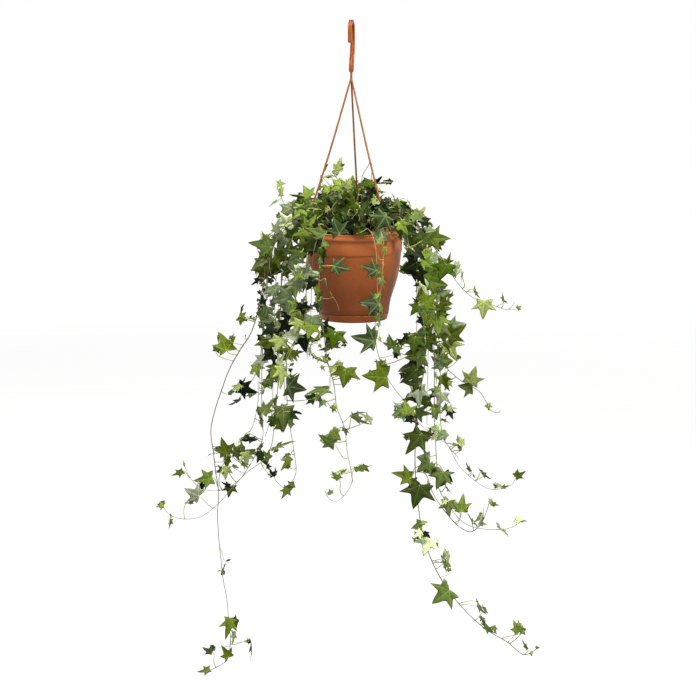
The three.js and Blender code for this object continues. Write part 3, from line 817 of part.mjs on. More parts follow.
      [129, 26.6, -458.1, 135.9, 19, -455.1, 127.7, 19.4, -469.7, 0.15, -0.98, -0.11, 1.15, 0, 1],
      [136.3, 25.2, -499.7, 134.5, 13.5, -499.4, 151, 11.2, -501.2, -0.14, -0.99, -0.04, 1.15, 0, 2],
      [127.5, 27, -432.3, 134.3, 21.5, -430.3, 140.3, 18.8, -443.6, 0.14, -0.96, 0.26, 1, 0, 0],
      [132.7, 25.7, -487.4, 139.2, 19.7, -485.9, 131.7, 22.2, -480.9, -0.29, -0.96, 0.05, 1.15, 0, 4],
      [204.7, 18.5, -570.8, 203.5, 14.3, -570.4, 211.5, 13.9, -572.7, 0.11, -0.82, 0.56, 1.15, 0, 3],
      [204.7, 18.5, -570.8, 204.1, 13.4, -570.2, 198.1, 13.1, -571.7, -0.16, -0.61, 0.78, 1.15, 2, 3],
      [207, 18.3, -574.4, 204.1, 12.6, -574.7, 207.1, 10.8, -578.2, -0.71, -0.65, -0.27, 1.15, 2, 1],
      [115, 27, -328.1, 124.9, 30.5, -320.6, 149.1, 28, -317.1, -0.16, -0.16, 0.97, 1, 3, 0],
      [122.2, 27, -365.8, 134.2, 34.6, -355, 152, 31.9, -363, 0.23, -0.65, 0.72, 1, 3, 0],
    ],
  },
  ivy_vine_right_04: {
    stems: [
      [1.4, 0.8, 36, -38, -320.5, 38.1, -39, -301, 54.5, -47.3, -275.5, 65.2, -53.9, -273.8, 86.8, -64.2,
       -290.2, 111.6, -66.7, -314.4, 131.6, -67.1, -341.5, 149.2, -66, -369.8, 172.1, -64.4, -393, 203.1,
       -60.7, -405.6, 226.8, -56.6, -412.2, 235.7, -55, -401.8],
    ],
    leaves: [
      [108.5, -66.4, -311.4, 110.9, -70.6, -306.8, 140, -74, -306.2, -0.12, -0.94, 0.31, 1, 0, 1],
      [133.8, -67, -345, 134.2, -74.4, -343.4, 122.7, -76, -368.8, -0.12, -0.99, 0.11, 1.15, 0, 0],
      [191.7, -62.1, -401, 189.5, -69.7, -398.9, 188, -75.3, -425.3, -0.07, -0.97, 0.21, 1, 0, 2],
      [133.8, -67, -345, 133.9, -67, -345.8, 140.8, -69.4, -325.8, 0.57, -0.77, -0.29, 0.85, 1, 1],
      [157.8, -65.4, -378.5, 158.2, -73.9, -355.2, 156, -77.3, -370.8, -0.96, -0.22, 0.18, 0.85, 1, 4],
      [163.6, -65, -384.4, 176.2, -69.8, -382.7, 183.4, -73.3, -394.7, -0.84, -0.39, -0.39, 1, 1, 2],
      [102.2, -65.8, -305.2, 105.7, -73.4, -297.1, 119.3, -73.6, -294.2, -0.1, -0.91, 0.4, 1.15, 0, 1],
      [142.6, -66.4, -359.3, 152.5, -71.5, -348.9, 148, -76, -361.5, 0.45, -0.88, 0.15, 1.15, 1, 4],
      [209.7, -59.6, -407.4, 218.9, -65.6, -398, 216.2, -61.2, -385.4, -0.92, -0.4, -0.06, 0.85, 1, 3],
      [140.4, -66.5, -355.7, 149.2, -78.7, -348, 152.3, -80.1, -336.9, 0.73, -0.62, -0.28, 1, 0, 4],
      [216.3, -58.4, -409.3, 218.5, -70, -396.7, 225.2, -70, -402.5, -0.6, -0.43, -0.68, 1.15, 1, 3],
      [163.6, -65, -384.4, 175.9, -64.1, -385, 176.6, -62.5, -375.7, -0.73, -0.66, 0.17, 0.85, 2, 2],
      [226.8, -56.6, -412.2, 239.1, -62.1, -410.3, 245.5, -63.6, -405.7, -0.02, -0.96, -0.29, 1.15, 0, 3],
      [195.6, -61.6, -402.6, 196.5, -64.6, -403.3, 202.3, -64.4, -398.6, -0.26, -0.89, 0.38, 1.15, 2, 2],
      [67.3, -54.9, -275.4, 67.8, -63.5, -267.2, 71.6, -75.8, -257.4, 0.8, -0.2, -0.57, 1, 3, 0],
    ],
  },
  ivy_vine_right_05: {
    stems: [
      [1.3, 0.8, 56, -12, -320.5, 57.6, -13, -300.9, 70.3, -20.5, -275.1, 77.4, -23.1, -273.7, 96, -27,
       -296, 106.4, -28.8, -329.9, 111.6, -29.6, -360.5, 114.8, -30.1, -392.5, 116.7, -30, -424.4, 121.3,
       -30, -455.1, 127, -30, -490.1, 129.6, -30, -521.3, 129.7, -30, -553, 129.6, -30, -582.4, 136.9, -30,
       -615.4, 156.7, -30, -640.9],
    ],
    leaves: [
      [116.7, -30, -424.4, 122.2, -37.1, -421.5, 124.5, -42.7, -456.5, 0, -0.99, 0.16, 1.15, 1, 4],
      [115, -30.1, -396.5, 119.8, -38, -396, 144.7, -38.5, -385.6, -0.16, -0.93, 0.33, 1.15, 1, 1],
      [113.2, -29.8, -376.5, 113.7, -38.8, -373.7, 139, -42.5, -379.1, -0.11, -0.98, 0.15, 1.15, 0, 3],
      [107.7, -29, -337.7, 112.2, -33.2, -337.4, 136.6, -30.6, -342.9, 0.22, -0.77, 0.6, 1.15, 1, 4],
      [116.2, -30, -416.5, 122.2, -36, -416.4, 145.7, -37.5, -412.5, -0.16, -0.68, 0.71, 1.15, 1, 1],
      [129.7, -30, -537.2, 127.6, -37.2, -535.6, 109.9, -35.2, -536.8, -0.11, -0.42, 0.9, 1.15, 1, 0],
      [115.5, -30.1, -404.5, 127.6, -44.9, -402.5, 145.3, -44.2, -406, 0.02, -0.99, -0.1, 1.15, 0, 1],
      [122, -30, -459.4, 113.8, -33.6, -457.2, 124.1, -38.5, -470.6, -0.01, -0.94, 0.34, 1.15, 0, 1],
      [129.7, -30, -567.7, 143, -34.6, -567.3, 148.6, -37.1, -581.9, -0.23, -0.97, 0.08, 0.85, 0, 1],
      [129.6, -30, -582.4, 131.2, -33.2, -582, 144.7, -34.3, -587.9, 0.38, -0.21, 0.9, 1, 1, 1],
      [129.7, -30, -567.7, 139.8, -38.2, -565, 154.6, -38.2, -563.9, -0.05, -0.66, 0.75, 1.15, 1, 1],
      [105.1, -28.6, -325.7, 122.9, -35.1, -319.5, 129.6, -34.6, -328.4, -0.33, -0.89, -0.3, 1, 0, 0],
      [64.4, -17, -287, 78.4, -28.6, -285.6, 92.6, -36.8, -295.1, 0.36, -0.36, 0.86, 1, 3, 1],
      [124.1, -30, -472.6, 130.9, -43.8, -465.6, 143.5, -53.8, -480.2, 0.67, -0.21, 0.72, 1, 3, 1],
    ],
  },
  ivy_vine_right_06: {
    stems: [
      [1.5, 0.9, 30, -46, -320.5, 30, -46, -306.5, 55.5, -58.8, -284, 57.9, -72.6, -286, 76.1, -84.6,
       -313.7, 85.8, -87, -345.5, 90.8, -87, -380.8, 91.7, -87, -411.3, 91.2, -87, -442, 91.7, -87, -475.8,
       94.3, -87, -510.9, 95.1, -87, -520.7],
    ],
    leaves: [
      [93.4, -87, -499.3, 90.4, -91.8, -496.1, 66.6, -89.9, -517.2, 0.16, -0.95, -0.26, 0.85, 0, 0],
      [84.6, -86.7, -341.5, 91.4, -94.7, -338.1, 67, -97.6, -350, 0.13, -0.99, -0.03, 1.15, 0, 0],
      [84.6, -86.7, -341.5, 87.6, -82.9, -341, 88.9, -91.3, -367.5, -0.35, -0.9, 0.27, 1.15, 1, 0],
      [91.3, -87, -450.3, 88.3, -102.8, -446.8, 85.3, -108.8, -470.7, -0.03, -0.97, 0.25, 1.15, 0, 0],
      [91.2, -87, -442, 91.3, -95.4, -440.4, 102.8, -102, -457.7, 0, -0.93, 0.36, 1.15, 0, 0],
      [59.6, -73.7, -288.5, 65.7, -79.3, -282.1, 78, -82.5, -302, -0.17, -0.98, 0.06, 1.15, 1, 3],
      [91.6, -87, -471.5, 56.2, -90.4, -462.5, 50.3, -88.8, -443, -0.2, -0.98, 0.02, 0.85, 0, 1],
      [77.3, -84.9, -317.6, 97.8, -91.8, -307.4, 114.3, -89.1, -295.5, -0.04, -0.96, 0.28, 1.15, 0, 0],
      [91.5, -87, -403.7, 93.9, -95.7, -401, 81, -96.8, -416.1, -0.22, -0.94, 0.25, 1, 0, 0],
      [91.5, -87, -463, 61.1, -95.7, -461.6, 67.6, -100.3, -475.5, -0.55, -0.83, 0.02, 1, 0, 1],
      [79.7, -85.5, -325.5, 84.3, -90, -324.2, 70, -90.6, -332.1, 0.04, -1, 0, 1.15, 0, 0],
      [91.3, -87, -446.1, 84.2, -93.3, -444.4, 71.9, -92.3, -441.6, 0.12, -0.63, 0.76, 0.85, 1, 0],
      [91.3, -87, -396.2, 92.3, -98.8, -395.4, 82.7, -97.8, -388.3, -0.39, -0.82, -0.42, 0.85, 1, 0],
      [89.6, -87, -372.1, 93.9, -91.3, -371.1, 84.6, -91, -373.3, -0.19, -0.67, 0.72, 1, 2, 0],
      [93.1, -87, -494.7, 93.3, -92, -495.4, 101.2, -93.4, -492.9, 0.01, -0.86, -0.51, 1, 2, 0],
      [77.3, -84.9, -317.6, 86.7, -94.7, -321.9, 103.1, -96, -335.1, 0.28, -0.86, 0.43, 1, 3, 0],
      [87, -87, -354.3, 102.2, -89.6, -355.1, 125.4, -89.3, -364.4, 0.23, -0.81, 0.53, 1, 3, 0],
    ],
  },
  ivy_vine_right_07: {
    stems: [
      [1.3, 0.8, 43, 39, -320.5, 43, 39, -306.5, 64.3, 47.6, -283.2, 76.3, 52, -278.3, 91.8, 55.8, -293.2,
       104.1, 58.4, -326.3, 108.3, 59, -359, 110.3, 58.3, -393.8, 112, 57.4, -420.9, 113.8, 56.3, -448.6,
       114.6, 55.3, -477.1, 114.6, 54.3, -505.9, 113.9, 52.9, -539.5, 113.2, 51.8, -570.9, 113.5, 51.2,
       -601.1, 113.5, 51, -608.6],
    ],
    leaves: [
      [105.7, 58.6, -338.5, 107.8, 53.4, -336.9, 108.7, 52.6, -365.1, 0.1, -0.99, 0.03, 1.15, 1, 3],
      [113.1, 56.7, -438.2, 111.5, 51.9, -436.4, 114.3, 42.7, -459.8, 0.15, -0.91, 0.38, 1.15, 0, 0],
      [110.1, 58.4, -389.7, 107.4, 54.4, -386, 113.3, 45.6, -408.7, -0.39, -0.89, 0.24, 1.15, 0, 4],
      [114.6, 55.3, -477.1, 112.4, 48.2, -475.3, 120.9, 46.4, -495.9, -0.3, -0.95, -0.04, 1.15, 0, 1],
      [96.1, 56.7, -304.9, 99.9, 65.2, -308.1, 111.6, 78.5, -323.7, 0.41, 0.51, 0.75, 1, 3, 0],
      [110.7, 58.1, -400.8, 122.5, 65.5, -403.4, 136.6, 75.8, -422.6, 0.61, 0.42, 0.67, 1, 3, 0],
    ],
  },
  ivy_vine_back_01: {
    stems: [
      [1.3, 0.9, -26, 54, -320.5, -26.8, 55.6, -303, -34, 70, -288, -39.3, 84.1, -302, -41.8, 88.3, -328.1,
       -41.2, 87, -363.8, -35, 82.7, -395.9, -34, 82, -400],
    ],
    leaves: [
      [-31.7, 65.4, -292.8, -36.6, 76.6, -293.5, -38.2, 96.4, -290.5, -0.52, -0.17, 0.84, 1, 3, 0],
      [-40.2, 85.6, -311.1, -36.1, 93.7, -309, -42, 110.9, -317.4, -0.1, 0.41, 0.91, 1, 3, 0],
      [-41.5, 87.7, -324.6, -51.9, 92.1, -319.5, -63.3, 113.5, -323.2, -0.02, 0.16, 0.99, 1, 3, 0],
      [-41.5, 87.7, -345.7, -49.1, 100.1, -355.7, -57.7, 116.6, -368, -0.08, 0.57, 0.82, 1, 3, 1],
      [-38.6, 85.2, -377.2, -44.1, 93.2, -379.4, -62, 113, -386.6, 0.33, 0.57, 0.75, 1, 3, 0],
      [-35.5, 83, -393.3, -40.1, 91.7, -392.1, -40.1, 114, -397.7, -0.35, 0.23, 0.91, 1, 3, 1],
    ],
  },
  ivy_vine_back_02: {
    stems: [
      [1.3, 0.9, 2, 58, -320.5, 2, 59.6, -302.7, 2, 74, -286, 2.8, 89.9, -300.8, 3.6, 93.7, -326.5, 5.2,
       91.2, -360.7, 8, 87.4, -393.4, 9, 86, -404],
    ],
    leaves: [
      [2.2, 78.9, -290.5, -7.1, 88, -287.2, -9, 111.9, -284.7, 0.27, -0.07, 0.96, 1, 3, 1],
      [2.7, 87.9, -298.9, 13.4, 99, -297.4, 24.8, 111.2, -309.6, -0.16, 0.77, 0.62, 1, 3, 1],
      [3.4, 92.7, -319.7, 8.2, 104.6, -325.4, 18.7, 125.1, -337.9, -0.24, 0.59, 0.77, 1, 3, 1],
      [4.6, 92.2, -347.7, 3.1, 104.4, -345.5, 9.8, 133.1, -345.1, -0.39, 0.08, 0.92, 1, 3, 0],
      [5.6, 90.7, -364.9, 9, 98.1, -359.1, 9.6, 124.7, -366.7, 0.03, 0.27, 0.96, 1, 3, 0],
      [7.7, 87.8, -390.2, 16.3, 95.8, -396.8, 26, 107.2, -412.6, -0.01, 0.82, 0.58, 1, 3, 0],
    ],
  },
  ivy_vine_back_03: {
    stems: [
      [1.3, 0.9, 28, 52, -320.5, 28.8, 53.6, -302.9, 36, 68, -288, 43, 82.1, -303.6, 46.1, 86.5, -332.3,
       43.6, 83.6, -367.7, 38, 78, -398],
    ],
    leaves: [
      [33.7, 63.4, -292.8, 42.7, 73.9, -284.5, 61.9, 88.7, -288.5, -0.23, 0.53, 0.82, 1, 3, 1],
      [43.7, 83.1, -310.1, 54.8, 88.4, -299.5, 69.2, 113.3, -297.6, -0.26, 0.08, 0.96, 1, 3, 1],
      [44.5, 84.2, -317.3, 54.4, 92, -321.5, 68.5, 103, -332.4, -0.03, 0.72, 0.69, 1, 3, 1],
      [44.5, 84.7, -354.4, 47.4, 102.1, -360.7, 55.5, 119.9, -379.4, 0.11, 0.7, 0.71, 1, 3, 1],
      [43.6, 83.6, -367.7, 50.9, 86.6, -365.3, 67.2, 95.5, -369.5, -0.21, 0.71, 0.68, 1, 3, 1],
      [40.8, 80.8, -382.9, 49.8, 95.1, -377, 64.3, 108.5, -383.4, -0.13, 0.54, 0.83, 1, 3, 0],
    ],
  },
  ivy_crown_01: {
    stems: [
      [1.3, 0.8, -6, -8, -320.5, -6.2, -9.4, -287.1, -10.2, -10, -254.6, -26, -10, -221.8],
    ],
    leaves: [
      [-26, -10, -221.8, -28.1, -16.5, -217.7, -16.7, -13, -192.6, 0.48, -0.87, -0.1, 0.85, 1, 3],
      [-26, -10, -221.8, -31, -3, -220.8, -53.7, -6, -225.6, -0.2, -0.07, 0.98, 1.15, 2, 2],
      [-7.7, -9.6, -274.9, -13.4, -24.4, -283.6, -30.1, -39.4, -279.5, 0.59, -0.49, 0.64, 1, 3, 0],
      [-10.2, -10, -254.6, -20.3, -14.7, -250, -30.6, -27.9, -249.6, 0.17, -0.11, 0.98, 1, 3, 1],
    ],
  },
  ivy_crown_02: {
    stems: [
      [1.3, 0.8, 8, -22, -320.5, 6.5, -25.8, -285.7, -3.3, -32.4, -251.8, -11.2, -35, -230.9],
    ],
    leaves: [
      [-8.3, -34.1, -238.5, -9.8, -40.3, -239.2, -17.7, -43.9, -222.2, 0.31, -0.95, -0.05, 1.15, 0, 3],
      [-8.3, -34.1, -238.5, -11.9, -44.7, -235.2, -4, -43.3, -220.8, 0.2, -0.98, -0.02, 1.15, 0, 3],
      [-4.4, -32.8, -249, -10.5, -36.1, -249.8, 1.2, -38.6, -237.9, 0.34, -0.79, -0.5, 1.15, 0, 2],
      [-3.3, -32.4, -251.8, -11.2, -30.6, -251.7, -15.6, -27.8, -238.8, -0.55, -0.84, -0.01, 1.15, 1, 3],
      [6.7, -25.3, -290, 21.5, -27.8, -281.7, 41, -33.2, -279.4, -0.29, -0.86, 0.42, 1, 3, 1],
      [2.8, -28.3, -272.7, -10.6, -33.7, -261.9, -6, -42.4, -245.4, -0.18, -0.89, -0.41, 1, 3, 0],
    ],
  },
  ivy_crown_03: {
    stems: [
      [1.3, 0.8, 20, -6, -320.5, 18.3, -7.2, -285.9, 24, -10.6, -251.1, 31.4, -14, -232.5],
    ],
    leaves: [
      [31.4, -14, -232.5, 31.3, -20.2, -230.6, 63.4, -27.8, -229, 0.02, -0.14, -0.99, 0.85, 1, 0],
      [31.4, -14, -232.5, 26.1, -21.4, -231.9, 4.1, -26.1, -232.3, 0.12, -0.62, 0.77, 1, 0, 0],
      [26, -11.5, -246.1, 28.4, -19.4, -243.1, 8.6, -20.9, -250.3, -0.31, -0.27, 0.91, 1.15, 0, 0],
      [28.7, -12.8, -239.3, 32.1, -17.7, -241, 21.8, -20.1, -254.8, 0.31, -0.95, -0.06, 0.85, 0, 0],
      [31.4, -14, -232.5, 28.6, -4.6, -232.5, 42.8, -6.1, -221.8, 0.45, -0.59, -0.68, 1.15, 2, 0],
      [27.8, -12.4, -241.5, 25.2, -34.4, -236.8, 23.1, -32.5, -223.5, -0.16, -0.98, 0.12, 1.15, 0, 4],
      [31.4, -14, -232.5, 44.5, -17.4, -231.5, 54.8, -16.5, -230.8, -0.04, -0.27, 0.96, 0.85, 2, 0],
      [18.5, -7.1, -290.2, 25.2, 3, -293.3, 41.2, 15, -300, 0.64, -0.57, 0.51, 1, 3, 1],
      [19.8, -8.1, -277, 22.3, -11.9, -269.4, 43.4, -18.4, -280.2, 0.22, -0.58, 0.78, 1, 3, 0],
    ],
  },
  ivy_crown_04: {
    stems: [
      [1.3, 0.8, -22, -14, -320.5, -24.2, -16.4, -286.1, -34.8, -23.2, -252.8, -40.5, -24, -237.6],
    ],
    leaves: [
      [-39.8, -23.9, -239.5, -17.8, -31.9, -231.1, -36.1, -30.1, -242.2, -0.38, -0.78, 0.5, 1.15, 0, 2],
      [-38.5, -23.7, -243.1, -36.1, -28.5, -242.4, -45.6, -25.2, -230.9, 0.28, -0.83, 0.47, 1.15, 0, 2],
      [-37.1, -23.5, -246.7, -40.4, -38.8, -248.8, -46.9, -36.1, -239.6, -0.57, -0.8, -0.17, 1.15, 1, 1],
      [-23.9, -16.1, -290.4, -38.1, -24.4, -294.5, -54.9, -42.1, -288.6, 0.55, -0.25, 0.8, 1, 3, 0],
      [-33.7, -22.5, -256.3, -45.2, -32.8, -257.9, -61.9, -45.9, -260.8, 0.14, -0.39, 0.91, 1, 3, 1],
    ],
  },
  ivy_crown_05: {
    stems: [
      [1.3, 0.8, -42, -4, -320.5, -46.3, -5.2, -285.5, -61.4, -8.3, -260.8, -74.6, -11, -247.4],
    ],
    leaves: [
      [-59.7, -7.9, -263.6, -78.3, -14.3, -278.8, -77.4, -17.1, -254.3, 0, -0.99, -0.11, 1.15, 1, 2],
      [-73, -10.7, -249.1, -72.9, -19.1, -249, -94.9, -22.3, -248.4, 0.04, -0.45, -0.89, 1, 0, 0],
      [-68.2, -9.7, -253.9, -65.3, -30.2, -248.8, -73.7, -27.1, -232.7, 0.02, -0.98, 0.2, 1.15, 0, 2],
      [-69.8, -10, -252.3, -61.9, -16.6, -241.1, -58.3, -15.7, -238.2, -0.18, -0.84, 0.51, 1.15, 2, 2],
      [-46.3, -5.2, -285.5, -52.8, -8.1, -278.8, -68.9, -13.7, -270.2, 0.48, -0.79, 0.39, 1, 3, 1],
      [-59.7, -7.9, -263.6, -66.3, -2.7, -258.2, -75.9, -11.1, -243.8, -0.85, 0.1, -0.51, 1, 3, 0],
    ],
  },
  ivy_crown_06: {
    stems: [
      [1.2, 0.7, -56, 4, -320.5, -59.7, 4.1, -296.5, -74.7, 4.4, -274.9, -101.9, 4, -264.3, -107.6, 4,
       -251.6],
    ],
    leaves: [
      [-77.9, 4.4, -273.6, -83.9, 0.7, -283.2, -99.4, -5.7, -305.7, 0.44, -0.89, -0.05, 1.15, 0, 4],
      [-92.6, 4.1, -267.9, -93.3, -4.1, -268.7, -114.1, -5.1, -282.4, -0.27, -0.84, 0.48, 1.15, 0, 4],
      [-107.6, 4, -251.6, -107.4, 0.2, -250.6, -108.8, 2, -226.1, 0.88, -0.46, 0.08, 0.85, 1, 3],
      [-96.1, 4.1, -266.6, -93.4, -1.9, -263, -76.3, -0.9, -252.7, -0.49, -0.22, 0.84, 0.85, 1, 1],
      [-105.5, 4, -256.3, -111.9, -0.2, -257.9, -126.1, -4.6, -267.2, -0.46, -0.28, 0.84, 0.85, 1, 2],
    ],
  },
  ivy_crown_07: {
    stems: [
      [1.3, 0.8, 36, 8, -320.5, 39.6, 6.5, -290.5, 52.3, 0.6, -266, 62.7, -3, -259.9],
    ],
    leaves: [
      [58.9, -1.7, -262.1, 64.7, -10, -271.1, 44, -14.6, -275.9, 0.21, -0.98, 0.01, 1.15, 0, 1],
      [57.6, -1.2, -262.9, 56.6, -8.9, -258.7, 45.5, -10.2, -270.4, 0.1, -0.99, 0.01, 1.15, 0, 4],
      [52.3, 0.6, -266, 41.7, -14.4, -255.3, 55, -14.4, -255, -0.02, -0.19, 0.98, 1, 1, 0],
      [62.7, -3, -259.9, 66.5, -22.5, -257.5, 55.6, -22.8, -264.8, -0.26, -0.87, 0.43, 1.15, 0, 2],
      [61.4, -2.6, -260.7, 60.2, -11.3, -255.5, 56.2, -11.9, -245.9, 0.91, -0.22, 0.37, 1.15, 2, 2],
      [38.7, 6.9, -297.8, 41.9, 15.4, -290.3, 55, 27.9, -283.2, 0.49, -0.76, 0.42, 1, 3, 0],
      [49.6, 1.9, -271.3, 67.5, 5.3, -274.9, 89.3, 18.2, -276.4, 0.42, -0.65, 0.63, 1, 3, 1],
    ],
  },
  ivy_crown_08: {
    stems: [
      [1.3, 0.8, 44, 6, -320.5, 45.9, 5.6, -301.9, 63.8, 0.8, -278.5, 91, -11.6, -276.4, 104, -10, -285.9],
    ],
    leaves: [
      [81.6, -7.3, -277.1, 80.1, -16.2, -278.7, 92, -16, -304.5, 0.06, -1, 0.02, 1.15, 0, 0],
      [70.3, -2.2, -278, 67.6, -10.7, -262.2, 86.9, -10.6, -271.8, 0.42, -0.33, 0.84, 1.15, 0, 0],
      [102.4, -10.2, -284.7, 99.8, -20, -284.2, 114.7, -19.6, -299.7, 0.51, -0.72, 0.47, 1, 0, 0],
      [94.2, -11.2, -278.7, 93.9, -21.8, -279.6, 106.8, -18.1, -264.5, 0.31, -0.95, -0.03, 0.85, 0, 2],
      [88.3, -10.4, -276.6, 86.9, -30, -275.9, 103, -33.9, -286.5, 0.19, -0.79, 0.58, 1.15, 0, 4],
      [85.1, -8.9, -276.9, 83.8, -12.1, -266.5, 77.8, -13.3, -253.9, 0.89, -0.2, 0.4, 1.15, 2, 1],
      [57.2, 2.6, -287.1, 69.3, -4, -280.8, 86.3, -0.9, -280.6, 0.08, -0.47, 0.88, 1, 3, 1],
      [63.8, 0.8, -278.5, 76.8, 2.4, -271.6, 91.7, 8.4, -273.7, 0.36, -0.67, 0.65, 1, 3, 0],
    ],
  },
  ivy_crown_09: {
    stems: [
      [1.3, 0.8, 2, 20, -320.5, 1.8, 21.4, -286.7, 6.5, 21.5, -253.8, 14, 18, -234.9],
    ],
    leaves: [
      [14, 18, -234.9, 15.4, 9.9, -235.1, 26.6, 11.9, -229.3, -0.13, -0.84, 0.53, 1.15, 0, 0],
      [1.8, 21.2, -290.9, 10.2, 25.2, -283.1, 26.3, 41.2, -278.1, -0.52, 0.27, 0.81, 1, 3, 1],
      [4.2, 21.5, -269.7, 8.2, 29.1, -266.6, 18.8, 47.3, -263.5, -0.21, -0.05, 0.98, 1, 3, 0],
      [6.5, 21.5, -253.8, 17, 30.5, -254.2, 25.3, 44.9, -251.3, 0.18, -0.3, 0.94, 1, 3, 0],
      [11.3, 19.3, -241.8, 21, 22.7, -236.2, 30.9, 36.7, -233.5, 0.09, -0.25, 0.97, 1, 3, 1],
    ],
  },
  ivy_crown_10: {
    stems: [
      [1.3, 0.8, -16, -38, -320.5, -16.4, -39.3, -303.4, -25.7, -56, -275.6, -32.9, -60, -266.6],
    ],
    leaves: [
      [-25.7, -56, -275.6, -14.8, -60.1, -269.4, -41.6, -58.6, -276.1, -0.08, -0.99, 0.07, 1.15, 0, 0],
      [-21.1, -47.8, -289.3, -7.6, -56.7, -284.3, -25.7, -58.3, -292.9, 0.09, -1, -0.01, 1.15, 0, 0],
      [-22.4, -50.1, -285.5, -34.5, -46.7, -290.4, -38.2, -46.5, -310.1, -0.31, -0.95, 0.05, 1.15, 1, 0],
      [-22.4, -50.1, -285.5, -30.6, -54.3, -286.2, -38.9, -68.9, -283, 0.64, -0.2, 0.74, 1, 3, 0],
      [-32.9, -60, -266.6, -40.9, -69.1, -262.9, -53, -87.1, -253.4, 0.81, -0.58, -0.06, 1, 3, 0],
    ],
  },
  ivy_crown_11: {
    stems: [
      [1.3, 0.8, 20, -36, -320.5, 20.3, -37.3, -303.4, 29.2, -53.7, -279.4, 39.5, -60, -268],
    ],
    leaves: [
      [38.2, -59.2, -269.4, 45.4, -88.1, -272.6, 29.8, -85.4, -295.1, -0.12, -0.99, -0.04, 1.15, 0, 0],
      [28.2, -51.9, -282.1, 34.7, -43.8, -286.3, 18.7, -45.6, -295.6, -0.05, -0.96, 0.28, 1.15, 0, 0],
      [39.5, -60, -268, 37.1, -68.9, -260, 52.3, -70.4, -268.5, 0.07, -0.95, 0.3, 1.15, 0, 0],
      [25.9, -47.7, -288.2, 32.4, -56.8, -277.6, 47.9, -67.4, -273.7, -0.58, -0.7, 0.4, 1, 3, 0],
      [35.7, -57.7, -272.2, 40.7, -60.4, -266.4, 49.3, -73.2, -273, 0.06, -0.42, 0.9, 1, 3, 0],
    ],
  },
  ivy_crown_12: {
    stems: [
      [1.3, 0.8, 40, 26, -320.5, 44.4, 28.5, -287.9, 57.3, 34, -264.2, 77.3, 40, -257.6],
    ],
    leaves: [
      [43.9, 28.2, -291.7, 44.4, 37.7, -290.3, 57.1, 45.6, -283.9, 0.11, -0.72, 0.68, 1, 3, 0],
      [47.7, 29.9, -281.8, 51.6, 36.3, -277, 69.3, 51.4, -271.9, 0.33, -0.63, 0.7, 1, 3, 0],
      [54.4, 32.8, -269.5, 66.1, 33.6, -271.8, 80.9, 41.9, -271.8, 0.35, -0.62, 0.71, 1, 3, 1],
      [64.6, 36.2, -261.8, 72.1, 53.1, -266.3, 91.7, 57.6, -278.1, 0.54, -0.41, 0.74, 1, 3, 2],
    ],
  },
  ivy_crown_13: {
    stems: [
      [1.3, 0.8, -36, 28, -320.5, -40.1, 29.8, -287.3, -51.4, 32.6, -263.9, -72.8, 38, -253],
    ],
    leaves: [
      [-40.1, 29.8, -287.3, -44, 37.6, -278.5, -58.4, 52.9, -278.2, -0.46, -0.45, 0.76, 1, 3, 0],
      [-46, 31.3, -275.2, -54.8, 30.5, -271.5, -66.8, 47.7, -265, -0.54, -0.6, 0.59, 1, 3, 0],
      [-50.1, 32.3, -266.6, -56.4, 26.6, -256.7, -80.1, 25.6, -264.1, -0.3, 0.18, 0.94, 1, 3, 2],
      [-61.9, 35.2, -258.6, -70.4, 43.4, -260, -82.7, 52.8, -249.5, -0.38, -0.86, 0.33, 1, 3, 1],
    ],
  },
  ivy_crown_14: {
    stems: [
      [1.3, 0.8, -10, 40, -320.5, -12.1, 42.6, -289.9, -23.4, 50, -257, -30.9, 54, -246.7],
    ],
    leaves: [
      [-11.8, 42.3, -293.8, -20.1, 48, -296.7, -26.8, 62.7, -289.3, 0.88, 0.17, 0.45, 1, 3, 1],
      [-13.5, 43.5, -285.8, -4, 49.7, -274.4, -8.3, 67.5, -261.4, 0.17, 0.61, -0.78, 1, 3, 0],
      [-18, 46.5, -272.6, -14.3, 53.1, -257.3, -8.2, 75.8, -251.3, -0.88, 0.11, 0.46, 1, 3, 2],
      [-21, 48.4, -264.1, -20.7, 63.1, -251, -28.8, 81.2, -252.1, 0.37, 0.22, 0.9, 1, 3, 0],
      [-22.3, 49.3, -260.3, -33.7, 57.6, -255.6, -49.4, 68, -253.6, 0.52, 0.7, 0.49, 1, 3, 1],
      [-30, 53.5, -248, -38.5, 57.3, -244.7, -47.1, 73.5, -247.8, 0.1, 0.24, 0.96, 1, 3, 0],
    ],
  },
  ivy_crown_15: {
    stems: [
      [1.3, 0.8, 18, 38, -320.5, 19, 41.4, -289.8, 25.9, 48.9, -265.1, 41.6, 58, -250.1],
    ],
    leaves: [
      [18.9, 41, -293.5, 32.9, 50.3, -289.2, 47.2, 64.6, -284.1, -0.72, 0.58, 0.39, 1, 3, 0],
      [21.7, 44.3, -280.3, 27.7, 41.1, -269, 31.4, 60.4, -255.5, 0.28, 0.51, -0.81, 1, 3, 2],
      [23.4, 46.2, -274, 13.2, 51.8, -270.2, 14.2, 74, -261, 0.95, -0.16, 0.28, 1, 3, 1],
      [27.8, 50, -263.3, 33.9, 57.7, -263.2, 46.9, 75, -266.2, -0.47, 0.48, 0.74, 1, 3, 1],
      [33.7, 53.4, -257.7, 32.1, 69.4, -256.9, 28.5, 88.7, -259.1, 0.64, 0.2, 0.74, 1, 3, 2],
      [41.6, 58, -250.1, 40, 71.3, -249.4, 44.1, 86.2, -254.4, 0.26, 0.24, 0.94, 1, 3, 0],
    ],
  },
  ivy_crown_16: {
    stems: [
      [1.3, 0.8, 2, -40, -320.5, 1.8, -41.7, -303.3, 2.6, -62.8, -278, 7.6, -70, -268.5],
    ],
    leaves: [
      [7.6, -70, -268.5, 9.7, -73.2, -263.2, 28.4, -78.6, -269.9, -0.18, -0.95, 0.26, 1.15, 0, 0],
